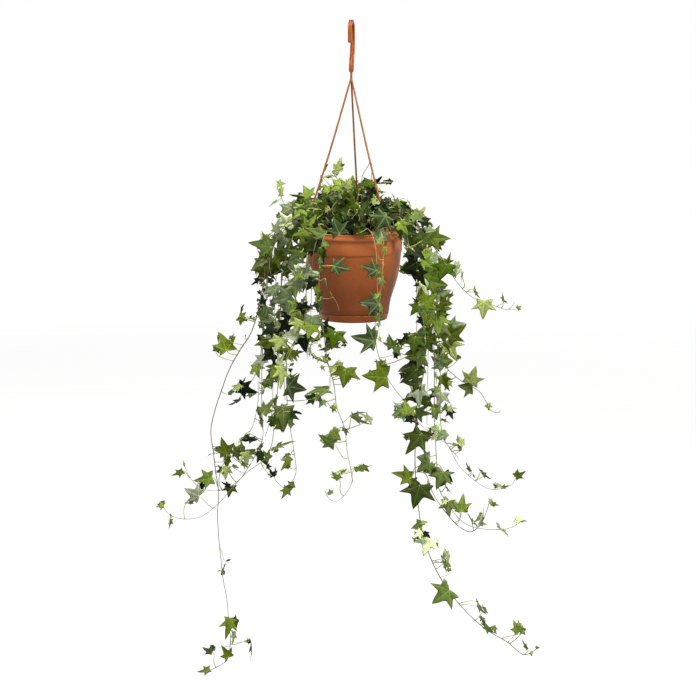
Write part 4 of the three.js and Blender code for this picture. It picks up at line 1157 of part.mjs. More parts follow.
      [7.6, -70, -268.5, 2.5, -75.9, -255, -14, -74.4, -263.8, -0.04, -1, -0.09, 1.15, 0, 0],
      [2.5, -60.6, -280.6, -2.5, -68.4, -278.1, -1.8, -69, -296.1, 0.22, -0.97, 0.04, 1.15, 0, 0],
      [2.3, -55.2, -287.1, 0.7, -72.3, -287.1, 2.3, -93.3, -296.7, -0.01, -0.41, 0.91, 1, 3, 0],
      [7.6, -70, -268.5, 17, -79.6, -259.4, 23.4, -100, -251.9, -0.92, -0.16, 0.35, 1, 3, 0],
    ],
  },
};

// ---- the object -------------------------------------------------------------

const COLOURS = {
  terracotta: { color: 0xb25a37, roughness: 0.5 },
  hanger: { color: 0xa4532f, roughness: 0.45 },
  soil: { color: 0x2b211b, roughness: 0.95 },
  dark_green: { color: 0x45602c, roughness: 0.4 },
  mid_green: { color: 0x5b7a34, roughness: 0.4 },
};

function mesh(name, body, look) {
  const { color, roughness } = COLOURS[look];
  const m = new THREE.Mesh(toGeometry(body), new THREE.MeshStandardMaterial({ color, roughness, metalness: 0 }));
  m.name = name;
  return m;
}

const plant = new THREE.Group();
plant.name = 'hanging_ivy';

// where the stems stand in the soil: [x, y, radius]
const roots = Object.values(VINES).map(({ stems }) => [stems[0][2], stems[0][3], stems[0][0]]);

// everything that the hanger carries stands on the pot's axis
const potted = new THREE.Group();
potted.name = 'potted_ivy';
potted.position.x = POT_X;
potted.add(mesh('pot', makePot(), 'terracotta'));
potted.add(mesh('drip_saucer', makeSaucer(), 'terracotta'));
potted.add(mesh('potting_soil', makeSoil(roots), 'soil'));
for (const [name, table] of Object.entries(VINES)) {
  potted.add(mesh(name, makeVine(table), name.includes('crown') ? 'mid_green' : 'dark_green'));
}
plant.add(mesh('hanger', makeHanger(), 'hanger'));
plant.add(potted);

export default plant;
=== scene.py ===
import math
import random

import bpy
import numpy as np
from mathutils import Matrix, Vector


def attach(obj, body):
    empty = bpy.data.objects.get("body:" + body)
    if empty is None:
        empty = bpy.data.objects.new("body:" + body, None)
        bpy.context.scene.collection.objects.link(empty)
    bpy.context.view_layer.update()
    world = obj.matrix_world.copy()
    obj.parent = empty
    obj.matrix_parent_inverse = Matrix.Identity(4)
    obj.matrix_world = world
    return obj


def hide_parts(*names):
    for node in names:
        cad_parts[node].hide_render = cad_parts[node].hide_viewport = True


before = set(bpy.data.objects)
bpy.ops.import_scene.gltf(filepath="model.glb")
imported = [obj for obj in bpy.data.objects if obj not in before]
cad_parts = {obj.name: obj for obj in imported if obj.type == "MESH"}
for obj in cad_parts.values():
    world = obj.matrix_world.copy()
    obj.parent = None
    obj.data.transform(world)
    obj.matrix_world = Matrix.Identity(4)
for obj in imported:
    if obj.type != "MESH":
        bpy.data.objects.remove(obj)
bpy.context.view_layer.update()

MM = 0.001
RIM_Z = -301.5
POT_H = 132.7
BASE_Z = RIM_Z - POT_H
SAUCER_H = 10.8
POT_X = 3.5
GAP = 0.35
SOIL_TOP = RIM_Z - 12.0


# ---------------------------------------------------------------- camera, stage
def make_camera():
    cam = bpy.data.cameras.new("camera")
    cam.sensor_width = 36.0
    cam.lens = 1757.0 / 696.0 * 36.0
    cam.clip_start = 0.05
    cam.clip_end = 60.0
    ob = bpy.data.objects.new("camera", cam)
    ob.location = (-0.0048, -2.600, -0.035)
    ob.rotation_euler = (math.radians(90.0 - 9.7), 0.0, 0.0)
    bpy.context.scene.collection.objects.link(ob)
    bpy.context.scene.camera = ob


def area_light(name, at, to, size, power, color=(1, 1, 1)):
    light = bpy.data.lights.new(name, "AREA")
    light.shape = "RECTANGLE"
    light.size, light.size_y = size
    light.energy = power
    light.color = color
    ob = bpy.data.objects.new(name, light)
    ob.location = at
    ob.rotation_euler = (Vector(to) - Vector(at)).to_track_quat("-Z", "Y").to_euler()
    bpy.context.scene.collection.objects.link(ob)


def make_stage():
    mesh = bpy.data.meshes.new("studio_floor")
    z = -1.16
    s = 9.0
    mesh.from_pydata([(-s, -s, z), (s, -s, z), (s, s, z), (-s, s, z)], [], [(0, 1, 2, 3)])
    floor = bpy.data.objects.new("studio_floor", mesh)
    bpy.context.scene.collection.objects.link(floor)
    mat = bpy.data.materials.new("studio_floor")
    mat.use_nodes = True
    bsdf = mat.node_tree.nodes["Principled BSDF"]
    bsdf.inputs["Base Color"].default_value = (0.20, 0.20, 0.20, 1)
    bsdf.inputs["Roughness"].default_value = 1.0
    bsdf.inputs["Specular IOR Level"].default_value = 0.0
    bsdf.inputs["Emission Color"].default_value = (1.0, 1.0, 1.0, 1)
    # the floor brightens with distance and meets the pale surroundings without a line
    tree = mat.node_tree
    where = tree.nodes.new("ShaderNodeTexCoord")
    length = tree.nodes.new("ShaderNodeVectorMath")
    length.operation = "LENGTH"
    far = tree.nodes.new("ShaderNodeMapRange")
    for key, val in (("From Min", 0.8), ("From Max", 6.0), ("To Min", 0.64), ("To Max", 0.99)):
        far.inputs[key].default_value = val
    tree.links.new(where.outputs["Object"], length.inputs[0])
    tree.links.new(length.outputs["Value"], far.inputs["Value"])
    tree.links.new(far.outputs["Result"], bsdf.inputs["Emission Strength"])
    mesh.materials.append(mat)
    world = bpy.data.worlds.new("studio")
    bpy.context.scene.world = world
    world.use_nodes = True
    # white near the horizon, dimmer overhead, so that the lights model the leaves
    tree = world.node_tree
    bg = tree.nodes["Background"]
    sky = tree.nodes.new("ShaderNodeTexCoord")
    part = tree.nodes.new("ShaderNodeSeparateXYZ")
    ramp = tree.nodes.new("ShaderNodeMapRange")
    ramp.interpolation_type = "SMOOTHSTEP"
    for key, val in (("From Min", 0.07), ("From Max", 0.30), ("To Min", 1.0), ("To Max", 0.16)):
        ramp.inputs[key].default_value = val
    tree.links.new(sky.outputs["Generated"], part.inputs[0])
    tree.links.new(part.outputs[2], ramp.inputs["Value"])
    tree.links.new(ramp.outputs["Result"], bg.inputs["Strength"])
    bg.inputs["Color"].default_value = (1.0, 1.0, 1.0, 1)
    bpy.context.scene.view_settings.view_transform = "Standard"
    mid = (0.0, 0.0, -0.40)
    area_light("key", (1.76, -1.10, 1.70), mid, (0.8, 0.8), 176.0, (1.0, 0.985, 0.96))
    area_light("front", (-0.25, -1.25, 1.79), mid, (1.0, 1.0), 112.0, (1.0, 0.99, 0.97))
    area_light("fill", (-2.0, -0.9, 0.2), mid, (1.0, 1.0), 13.0, (0.96, 0.98, 1.0))
    area_light("rear", (-1.3, 2.2, 1.2), mid, (1.2, 1.2), 46.0)
    area_light("top", (0.2, -0.10, 1.35), mid, (1.0, 1.0), 12.0)


# ---------------------------------------------------------------- node helpers
class Nodes:
    """Short hand for building a material's node tree."""

    def __init__(self, name):
        self.mat = bpy.data.materials.new(name)
        self.mat.use_nodes = True
        self.tree = self.mat.node_tree
        self.bsdf = self.tree.nodes["Principled BSDF"]

    def add(self, kind, **values):
        n = self.tree.nodes.new(kind)
        for k, v in values.items():
            setattr(n, k, v)
        return n

    def link(self, a, b):
        self.tree.links.new(a, b)

    def put(self, socket, value):
        if hasattr(value, "links"):
            self.link(value, socket)
        else:
            socket.default_value = value

    def math(self, op, a, b=0.0, c=0.0, clamp=False):
        n = self.add("ShaderNodeMath", operation=op, use_clamp=clamp)
        for i, v in enumerate((a, b, c)):
            if i < len(n.inputs):
                self.put(n.inputs[i], v)
        return n.outputs[0]

    def smooth(self, v, lo, hi, a=0.0, b=1.0):
        n = self.add("ShaderNodeMapRange", interpolation_type="SMOOTHSTEP", clamp=True)
        self.put(n.inputs["Value"], v)
        for key, val in (("From Min", lo), ("From Max", hi), ("To Min", a), ("To Max", b)):
            self.put(n.inputs[key], val)
        return n.outputs["Result"]

    def noise(self, vector, scale, detail=3.0, rough=0.55, dist=0.0, w=None):
        n = self.add("ShaderNodeTexNoise")
        if w is not None:
            n.noise_dimensions = "4D"
            self.put(n.inputs["W"], w)
        self.put(n.inputs["Vector"], vector)
        n.inputs["Scale"].default_value = scale
        n.inputs["Detail"].default_value = detail
        n.inputs["Roughness"].default_value = rough
        n.inputs["Distortion"].default_value = dist
        return n.outputs["Fac"]

    def mix(self, fac, a, b, mode="MIX"):
        n = self.add("ShaderNodeMix", data_type="RGBA", blend_type=mode)
        self.put(n.inputs[0], fac)
        self.put(n.inputs[6], a)
        self.put(n.inputs[7], b)
        return n.outputs[2]

    def attr(self, name):
        return self.add("ShaderNodeAttribute", attribute_name=name)

    def bump(self, height, strength, distance, normal=None):
        n = self.add("ShaderNodeBump")
        n.inputs["Strength"].default_value = strength
        n.inputs["Distance"].default_value = distance
        self.put(n.inputs["Height"], height)
        if normal is not None:
            self.link(normal, n.inputs["Normal"])
        return n.outputs["Normal"]

    def coords(self):
        return self.add("ShaderNodeTexCoord").outputs["Object"]

    def split(self, vector):
        n = self.add("ShaderNodeSeparateXYZ")
        self.put(n.inputs[0], vector)
        return n.outputs

    def finish(self, color, rough, normal=None, **constants):
        self.put(self.bsdf.inputs["Base Color"], color)
        self.put(self.bsdf.inputs["Roughness"], rough)
        if normal is not None:
            self.link(normal, self.bsdf.inputs["Normal"])
        for k, v in constants.items():
            self.bsdf.inputs[k.replace("_", " ")].default_value = v
        return self.mat


def rgb(r, g, b):
    """Linear colour from display values 0..255."""
    f = lambda c: ((c / 255.0 + 0.055) / 1.055) ** 2.4 if c > 10.3 else c / 255.0 / 12.92
    return (f(r), f(g), f(b), 1.0)


# ---------------------------------------------------------------- leaf surface
# Main veins of a leaf of unit length in its own plane: they run from the foot at
# (0, 0) to the tips of the lobes. x is mirrored, so three lines make five veins.
VEINS = (((0.0, -0.02), (0.0, 0.97)), ((0.0, 0.0), (0.60, 0.44)), ((0.0, 0.0), (0.41, -0.10)))


def vein_fields(m):
    """Distance to the nearest main vein, the side-vein pattern, and where on the leaf."""
    uv = m.add("ShaderNodeUVMap", uv_map="leaf").outputs["UV"]
    s = m.split(uv)
    x = m.math("MULTIPLY", m.math("SUBTRACT", s[0], 0.5), 2.0)
    y = m.math("MULTIPLY", m.math("SUBTRACT", s[1], 0.25), 1.6)
    ax = m.math("ABSOLUTE", x)
    near = None
    side = None
    for (x0, y0), (x1, y1) in VEINS:
        dx, dy = x1 - x0, y1 - y0
        length = math.hypot(dx, dy)
        ux, uy = dx / length, dy / length
        px = m.math("SUBTRACT", ax, x0)
        py = m.math("SUBTRACT", y, y0)
        along = m.math("ADD", m.math("MULTIPLY", px, ux), m.math("MULTIPLY", py, uy))
        across = m.math("SUBTRACT", m.math("MULTIPLY", px, uy), m.math("MULTIPLY", py, ux))
        off = m.math("ABSOLUTE", across)
        # past either end the vein is far away
        before = m.math("MAXIMUM", m.math("MULTIPLY", along, -1.0), 0.0)
        after = m.math("MAXIMUM", m.math("SUBTRACT", along, length), 0.0)
        d = m.math("ADD", off, m.math("ADD", before, after))
        # a vein narrows towards its tip
        d = m.math("ADD", d, m.math("MULTIPLY", m.math("MAXIMUM", along, 0.0), 0.011))
        # side veins leave at an angle and bend forward
        t = m.math("SUBTRACT", along, m.math("MULTIPLY", off, 1.15))
        t = m.math("ADD", t, m.math("MULTIPLY", m.math("MULTIPLY", off, off), 0.9))
        saw = m.math("ABSOLUTE", m.math("SUBTRACT", m.math("FRACT", m.math("MULTIPLY", t, 8.5)), 0.5))
        if near is None:
            near, side = d, saw
        else:
            closer = m.math("LESS_THAN", d, near)
            side = m.math("ADD", m.math("MULTIPLY", saw, closer),
                          m.math("MULTIPLY", side, m.math("SUBTRACT", 1.0, closer)))
            near = m.math("MINIMUM", near, d)
    return uv, x, y, near, side


def leaf_material(name, under):
    m = Nodes(name)
    uv, x, y, near, side = vein_fields(m)
    tint = m.attr("tint").outputs["Color"]
    look = m.attr("look").outputs["Vector"]        # random phase, pale veins, age
    ls = m.split(look)
    phase, pale, young = ls[0], ls[1], ls[2]
    obj = m.coords()
    wobble = m.noise(uv, 9.0, 2.0, 0.5, w=m.math("MULTIPLY", phase, 31.0))
    near_w = m.math("ADD", near, m.math("MULTIPLY", m.math("SUBTRACT", wobble, 0.5), 0.012))
    # leaves with pale veins have wider ones
    wide = m.smooth(pale, 0.72, 1.20, 0.0, 0.020)
    main = m.smooth(m.math("SUBTRACT", near_w, wide), 0.005, 0.024, 1.0, 0.0)
    halo = m.smooth(near, 0.0, 0.13, 1.0, 0.0)
    twig = m.smooth(side, 0.41, 0.49, 0.0, 1.0)
    fade = m.smooth(near, 0.05, 0.24, 1.0, 0.0)
    twig = m.math("MULTIPLY", twig, fade)
    # fine net between the veins
    net = m.add("ShaderNodeTexVoronoi", voronoi_dimensions="2D", feature="DISTANCE_TO_EDGE")
    m.put(net.inputs["Vector"], uv)
    net.inputs["Scale"].default_value = 26.0
    mesh_net = m.smooth(net.outputs["Distance"], 0.02, 0.10, 1.0, 0.0)
    mottle = m.noise(uv, 6.0, 4.0, 0.6, w=m.math("MULTIPLY", phase, 17.0))
    broad = m.noise(uv, 2.2, 2.0, 0.5, w=m.math("MULTIPLY", phase, 53.0))
    dark = m.mix(1.0, tint, (0.62, 0.66, 0.60, 1), "MULTIPLY")
    light = m.mix(1.0, tint, (1.34, 1.30, 1.26, 1), "MULTIPLY")
    c = m.mix(m.smooth(mottle, 0.34, 0.70), light, dark)
    c = m.mix(m.math("MULTIPLY", m.smooth(broad, 0.42, 0.75), 0.5), c, dark)
    vein_col = m.mix(0.10, m.mix(1.0, tint, (2.1, 2.0, 2.0, 1), "MULTIPLY"), rgb(150, 166, 96))
    strength = 0.85
    if under:
        c = m.mix(0.16, m.mix(1.0, c, (1.35, 1.30, 1.45, 1), "MULTIPLY"), rgb(128, 142, 92))
        strength = 0.65
    # paler along the veins, deeper towards the edge
    c = m.mix(m.math("MULTIPLY", halo, 0.42), c, light)
    c = m.mix(m.smooth(near, 0.10, 0.25, 0.0, 0.42), c, dark)
    c = m.mix(m.math("MULTIPLY", m.math("MULTIPLY", mesh_net, 0.10), pale), c, vein_col)
    c = m.mix(m.math("MULTIPLY", m.math("MULTIPLY", twig, 0.26), pale), c, vein_col)
    c = m.mix(m.math("MULTIPLY", m.math("MULTIPLY", main, strength), pale, clamp=True), c, vein_col)
    # a little wear: tiny dry specks
    speck = m.noise(obj, 900.0, 1.0, 0.5)
    c = m.mix(m.smooth(speck, 0.745, 0.80, 0.0, 0.5), c, rgb(120, 100, 55))
    rough = m.smooth(mottle, 0.2, 0.8, 0.58 if under else 0.36, 0.72 if under else 0.50)
    # veins lie in grooves above and stand out below
    sign = 1.0 if under else -1.0
    height = m.math("MULTIPLY", m.smooth(near, 0.0, 0.055, 1.0, 0.0), sign)
    height = m.math("ADD", height, m.math("MULTIPLY", m.math("MULTIPLY", twig, 0.35), sign))
    height = m.math("ADD", height, m.math("MULTIPLY", mottle, 0.5))
    normal = m.bump(height, 0.55, 0.0005)
    fine = m.noise(obj, 1500.0, 2.0, 0.6)
    normal = m.bump(fine, 0.12, 0.0002, normal)
    consts = dict(Specular_IOR_Level=0.03 if under else 0.05)
    mat = m.finish(c, rough, normal, **consts)
    return mat


def stem_material(name, old, fresh, petiole=False, lo=0.25, hi=0.95):
    m = Nodes(name)
    obj = m.coords()
    a = m.attr("look").outputs["Vector"]
    s = m.split(a)                                   # along 0..1, random, swelling
    grain = m.noise(obj, 260.0, 3.0, 0.6)
    patch = m.noise(obj, 38.0, 3.0, 0.6)
    c = m.mix(m.smooth(m.math("ADD", s[0], m.math("MULTIPLY", m.math("SUBTRACT", patch, 0.5), 0.5)), lo, hi), old, fresh)
    c = m.mix(m.smooth(patch, 0.45, 0.75, 0.0, 0.45), c, rgb(118, 88, 66) if not petiole else rgb(158, 138, 98))
    c = m.mix(m.smooth(grain, 0.52, 0.70, 0.0, 0.35), c, rgb(60, 52, 40) if not petiole else rgb(110, 124, 66))
    c = m.mix(m.math("MULTIPLY", s[2], 0.55), c, rgb(104, 78, 56))
    height = m.math("ADD", grain, m.math("MULTIPLY", patch, 0.6))
    normal = m.bump(height, 0.35, 0.0004)
    return m.finish(c, m.smooth(grain, 0.3, 0.7, 0.45, 0.65), normal, Specular_IOR_Level=0.22)


# ---------------------------------------------------------------- pot surfaces
def plastic_material(name, base, deep, pale, rough=0.42, pot=False, painted_dark_ends=False, painted_height_shading=False):
    m = Nodes(name)
    obj = m.coords()
    s = m.split(obj)
    cloud = m.noise(obj, 11.0, 4.0, 0.55)
    fine = m.noise(obj, 150.0, 3.0, 0.6)
    c = m.mix(m.smooth(cloud, 0.30, 0.74, 0.35, 1.0), deep, base)
    c = m.mix(m.smooth(fine, 0.46, 0.72, 0.0, 0.10), c, pale)
    rgh = m.smooth(cloud, 0.3, 0.75, rough - 0.05, rough + 0.10)
    height = m.math("MULTIPLY", fine, 0.5)
    if pot:
        # flow lines of the moulding and lime left by water that ran down
        ang = m.math("ARCTAN2", s[1], m.math("SUBTRACT", s[0], POT_X * MM))
        comb = m.add("ShaderNodeCombineXYZ")
        m.put(comb.inputs[0], m.math("MULTIPLY", ang, 1.0))
        m.put(comb.inputs[1], m.math("MULTIPLY", s[2], 2.2))
        run = m.noise(comb.outputs[0], 9.0, 3.0, 0.55)
        run_f = m.smooth(run, 0.56, 0.74)
        c = m.mix(m.math("MULTIPLY", run_f, 0.10), c, pale)
        if painted_height_shading:
            # painted shade: the lower pot darkens towards its foot, as where the tapering wall turns away from the
            # light
            lower_painted_shade = m.smooth(s[2], (BASE_Z + 6) * MM, (BASE_Z + 84) * MM, 1.0, 0.0)
            c = m.mix(m.math("MULTIPLY", lower_painted_shade, 0.55), c, m.mix(1.0, deep, (0.74, 0.68, 0.58, 1), "MULTIPLY"))
            # painted light: the upper pot and rim band are paler, as where the light falls strongest
            rim_painted_light = m.smooth(s[2], (RIM_Z - 52) * MM, (RIM_Z - 6) * MM)
            c = m.mix(m.math("MULTIPLY", rim_painted_light, 0.62), c, pale)
        # darker within 2.6 mm of the base
        bottom_edge_darkening = m.smooth(s[2], (BASE_Z + 0.6) * MM, (BASE_Z + 2.6) * MM, 0.55, 0.0)
        c = m.mix(bottom_edge_darkening, c, m.mix(1.0, deep, (0.5, 0.45, 0.4, 1), "MULTIPLY"))
        rgh = m.math("ADD", rgh, m.math("MULTIPLY", run_f, 0.10))
        height = m.math("ADD", height, m.math("MULTIPLY", run, 0.4))
    if painted_dark_ends:
        # painted shade: darker at the top of the hook's bend and at the foot of its shank, where the surface turns away
        # from the light
        top = m.smooth(s[2], 0.0005, 0.0042, 0.0, 0.62)
        foot = m.smooth(s[2], -0.0702, -0.0682, 0.75, 0.0)
        c = m.mix(m.math("MAXIMUM", top, foot), c, m.mix(1.0, deep, (0.5, 0.45, 0.4, 1), "MULTIPLY"))
    scuff = m.noise(obj, 420.0, 2.0, 0.7, 0.6)
    c = m.mix(m.smooth(scuff, 0.68, 0.78, 0.0, 0.20), c, pale)
    normal = m.bump(height, 0.16, 0.0006)
    return m.finish(c, rgh, normal, Specular_IOR_Level=0.19)


def soil_material():
    m = Nodes("potting_mix")
    obj = m.coords()
    a = m.noise(obj, 220.0, 4.0, 0.7)
    b = m.noise(obj, 60.0, 3.0, 0.6)
    tint = m.attr("tint").outputs["Color"]
    c = m.mix(m.smooth(a, 0.35, 0.7), tint, m.mix(0.7, tint, (0.25, 0.22, 0.2, 1), "MULTIPLY"))
    c = m.mix(m.smooth(b, 0.5, 0.75, 0.0, 0.4), c, rgb(74, 56, 42))
    normal = m.bump(m.math("ADD", a, b), 0.8, 0.0015)
    return m.finish(c, m.smooth(b, 0.3, 0.7, 0.78, 0.95), normal, Specular_IOR_Level=0.25)


# ---------------------------------------------------------------- mesh helpers
class Builder:
    """Collects vertices, faces, UVs and attributes for one mesh."""

    def __init__(self):
        self.v, self.f, self.mat, self.uv, self.bake = [], [], [], [], []
        self.tint, self.look = [], []
        self.smooth = True

    def base(self):
        return sum(len(x) for x in self.v)

    def add(self, verts, faces, mats=None, uv=None, bake=None, tint=None, look=None):
        n = self.base()
        self.v.append(np.asarray(verts, float))
        self.f.extend(tuple(int(i) + n for i in f) for f in faces)
        self.mat.extend(mats if mats is not None else [0] * len(faces))
        if uv is not None:
            self.uv.extend(uv)
        if bake is not None:
            self.bake.extend(bake)
        if tint is not None:
            self.tint.append(np.tile(np.asarray(tint, float), (len(verts), 1)) if np.ndim(tint) == 1 else np.asarray(tint, float))
        if look is not None:
            self.look.append(np.tile(np.asarray(look, float), (len(verts), 1)) if np.ndim(look) == 1 else np.asarray(look, float))

    def make(self, name, materials, shift=POT_X):
        # tables and profiles are measured from the pot's axis
        me = bpy.data.meshes.new(name)
        v = (np.vstack(self.v) + (shift, 0.0, 0.0)) * MM
        me.from_pydata([tuple(x) for x in v], [], self.f)
        for mat in materials:
            me.materials.append(mat)
        me.polygons.foreach_set("material_index", self.mat)
        me.polygons.foreach_set("use_smooth", [self.smooth] * len(self.f))
        if self.uv:
            layer = me.uv_layers.new(name="leaf")
            layer.data.foreach_set("uv", np.asarray(self.uv, np.float32).ravel())
        if self.bake:
            layer = me.uv_layers.new(name="OFBake")
            layer.data.foreach_set("uv", np.asarray(self.bake, np.float32).ravel())
        if self.tint:
            t = np.vstack(self.tint)
            a = me.attributes.new("tint", "FLOAT_COLOR", "POINT")
            a.data.foreach_set("color", np.hstack([t[:, :3], np.ones((len(t), 1))]).astype(np.float32).ravel())
        if self.look:
            a = me.attributes.new("look", "FLOAT_VECTOR", "POINT")
            a.data.foreach_set("vector", np.vstack(self.look).astype(np.float32).ravel())
        me.validate()
        me.update()
        ob = bpy.data.objects.new(name, me)
        bpy.context.scene.collection.objects.link(ob)
        return ob


def lathe_mesh(profile, n):
    """A closed solid of revolution; the profile may start and end on the axis."""
    verts, faces, rows = [], [], []
    for r, z in profile:
        if r < 1e-6:
            rows.append([len(verts)])
            verts.append((0.0, 0.0, z))
        else:
            start = len(verts)
            verts += [(r * math.cos(2 * math.pi * i / n), r * math.sin(2 * math.pi * i / n), z) for i in range(n)]
            rows.append(list(range(start, start + n)))
    closed = profile[0][0] > 1e-6
    pairs = list(zip(rows, rows[1:])) + ([(rows[-1], rows[0])] if closed else [])
    for a, b in pairs:
        for i in range(n):
            j = (i + 1) % n
            if len(a) == 1 and len(b) == 1:
                continue
            if len(a) == 1:
                faces.append((a[0], b[j], b[i]))
            elif len(b) == 1:
                faces.append((a[i], a[j], b[0]))
            else:
                faces.append((a[i], a[j], b[j], b[i]))
    return verts, faces


def rounded(profile, radius, steps=3, keep=()):
    """Rounds the corners of an open profile, except the first and the last."""
    out = [profile[0]]
    for i in range(1, len(profile) - 1):
        p0, p1, p2 = (np.array(profile[k], float) for k in (i - 1, i, i + 1))
        a, b = p0 - p1, p2 - p1
        la, lb = np.linalg.norm(a), np.linalg.norm(b)
        cosang = float(a @ b) / (la * lb)
        if i in keep or cosang < -0.985:
            out.append(tuple(p1))
            continue
        r = min(radius, la * 0.42, lb * 0.42)
        q0, q1 = p1 + a / la * r, p1 + b / lb * r
        for k in range(steps + 1):
            t = k / steps
            out.append(tuple((1 - t) ** 2 * q0 + 2 * t * (1 - t) * p1 + t * t * q1))
    out.append(profile[-1])
    return out


def frame_at(d, hint):
    u = np.cross(d, hint)
    if np.linalg.norm(u) < 1e-4:
        u = np.cross(d, (1.0, 0.3, 0.1))
    u /= np.linalg.norm(u)
    return u, np.cross(d, u)


def tube(points, radii, sides, hint=(0.1, 1.0, 0.2), squash=None):
    """Closed tube through points, with parallel-carried rings. Returns verts, faces, row number of each vertex."""
    P = np.asarray(points, float)
    n = len(P)
    T = np.zeros_like(P)
    T[1:-1] = P[2:] - P[:-2]
    T[0], T[-1] = P[1] - P[0], P[-1] - P[-2]
    T /= np.maximum(1e-9, np.linalg.norm(T, axis=1))[:, None]
    u, _ = frame_at(T[0], np.asarray(hint, float))
    verts, faces, row = [], [], []
    for i in range(n):
        u = u - T[i] * (u @ T[i])
        u /= np.linalg.norm(u)
        w = np.cross(T[i], u)
        for k in range(sides):
            a = 2 * math.pi * k / sides
            verts.append(P[i] + (math.cos(a) * u + math.sin(a) * w) * radii[i])
            row.append(i)
    for i in range(n - 1):
        for k in range(sides):
            j = (k + 1) % sides
            a, b = i * sides, (i + 1) * sides
            faces.append((a + k, a + j, b + j, b + k))
    for i, flip in ((0, True), (n - 1, False)):
        c = len(verts)
        verts.append(P[i] + T[i] * (radii[i] * (0.5 if not flip else -0.5)))
        row.append(i)
        for k in range(sides):
            j = (k + 1) % sides
            a = i * sides
            faces.append((c, a + j, a + k) if flip else (c, a + k, a + j))
    return verts, faces, row


def catmull(P, per):
    """Centripetal Catmull-Rom through the points, per steps to a span."""
    P = np.asarray(P, float)
    if len(P) == 2:
        return P[0] + (P[1] - P[0]) * np.linspace(0, 1, per + 1)[:, None]
    Q = np.vstack([2 * P[0] - P[1], P, 2 * P[-1] - P[-2]])
    out = []
    for i in range(1, len(Q) - 2):
        p0, p1, p2, p3 = Q[i - 1:i + 3]
        d = [max(1e-6, float(np.linalg.norm(b - a))) ** 0.5 for a, b in ((p0, p1), (p1, p2), (p2, p3))]
        t0, t1 = 0.0, d[0]
        t2 = t1 + d[1]
        t3 = t2 + d[2]
        for k in range(per):
            t = t1 + (t2 - t1) * k / per
            a1 = (t1 - t) / (t1 - t0) * p0 + (t - t0) / (t1 - t0) * p1
            a2 = (t2 - t) / (t2 - t1) * p1 + (t - t1) / (t2 - t1) * p2
            a3 = (t3 - t) / (t3 - t2) * p2 + (t - t2) / (t3 - t2) * p3
            b1 = (t2 - t) / (t2 - t0) * a1 + (t - t0) / (t2 - t0) * a2
            b2 = (t3 - t) / (t3 - t1) * a2 + (t - t1) / (t3 - t1) * a3
            out.append((t2 - t) / (t2 - t1) * b1 + (t - t1) / (t2 - t1) * b2)
    out.append(Q[-2])
    return np.array(out)


# ---------------------------------------------------------------- leaves
# Half outlines of a leaf of unit length, from the tip down: (x, y, pull). pull
# moves the middle of the edge that follows out (+) or in (-), as a share of it.
OUTLINES = (
    ((0, 1, 0.04), (0.220, 0.405, 0.0), (0.66, 0.47, 0.01), (0.355, 0.13, -0.01), (0.46, -0.14, 0.07), (0, -0.03, 0)),
    ((0, 1, 0.05), (0.170, 0.39, 0.01), (0.52, 0.51, 0.02), (0.25, 0.15, 0.0), (0.36, -0.01, 0.08), (0, -0.02, 0)),
    ((0, 1, 0.08), (0.20, 0.49, 0.0), (0.43, 0.51, 0.04), (0.25, 0.20, 0.02), (0.27, 0.01, 0.10), (0, 0.0, 0)),
    ((0, 1, 0.04), (0.222, 0.41, 0.0), (0.60, 0.47, 0.01), (0.338, 0.14, 0.0), (0.44, -0.11, 0.07), (0, -0.03, 0)),
)
CENTRES = ((0, 0.22), (0, 0.22), (0, 0.25), (0, 0.22))


def half_outline(kind, per):
    pts = OUTLINES[kind]
    out = []
    for (x0, y0, pull), (x1, y1, _) in zip(pts, pts[1:]):
        dx, dy = x1 - x0, y1 - y0
        # outward is to the right of the way down
        nx, ny = -dy, dx
        mx, my = (x0 + x1) / 2 + nx * pull, (y0 + y1) / 2 + ny * pull
        qx, qy = 2 * mx - (x0 + x1) / 2, 2 * my - (y0 + y1) / 2
        for k in range(per):
            t = k / per
            t = t * t * (3 - 2 * t) * 0.35 + t * 0.65
            out.append(((1 - t) ** 2 * x0 + 2 * t * (1 - t) * qx + t * t * x1,
                        (1 - t) ** 2 * y0 + 2 * t * (1 - t) * qy + t * t * y1))
    out.append(pts[-1][:2])
    # round the bays a little
    P = np.array(out)
    for bay in (per, 3 * per):
        P[bay] = P[bay] * 0.5 + (P[bay - 1] + P[bay + 1]) * 0.25
    return P


def full_outline(kind, per):
    h = half_outline(kind, per)
    left = h[1:-1][::-1].copy()
    left[:, 0] *= -1
    return np.vstack([h, left])


RINGS = (0.30, 0.58, 0.82, 1.0)


def leaf_grid(kind, L):
    per = 5 if L > 22 else 4 if L > 13 else 3
    rings = RINGS if L > 13 else (0.5, 1.0)
    b = full_outline(kind, per)
    c = np.array(CENTRES[kind])
    canon = full_outline(0, per)
    cc = np.array(CENTRES[0])
    pts = [c] + [c + (p - c) * t for t in rings for p in b]
    uvs = [cc] + [cc + (p - cc) * t for t in rings for p in canon]
    return np.array(pts), np.array(uvs), len(b), rings


def dist_to_veins(p, kind):
    tips = [OUTLINES[kind][0][:2], OUTLINES[kind][2][:2], OUTLINES[kind][4][:2]]
    x, y = np.abs(p[:, 0]), p[:, 1]
    best = np.full(len(p), 9.0)
    for tx, ty in tips:
        l2 = tx * tx + ty * ty
        t = np.clip((x * tx + y * ty) / l2, 0, 1)
        best = np.minimum(best, np.hypot(x - t * tx, y - t * ty))
    return best


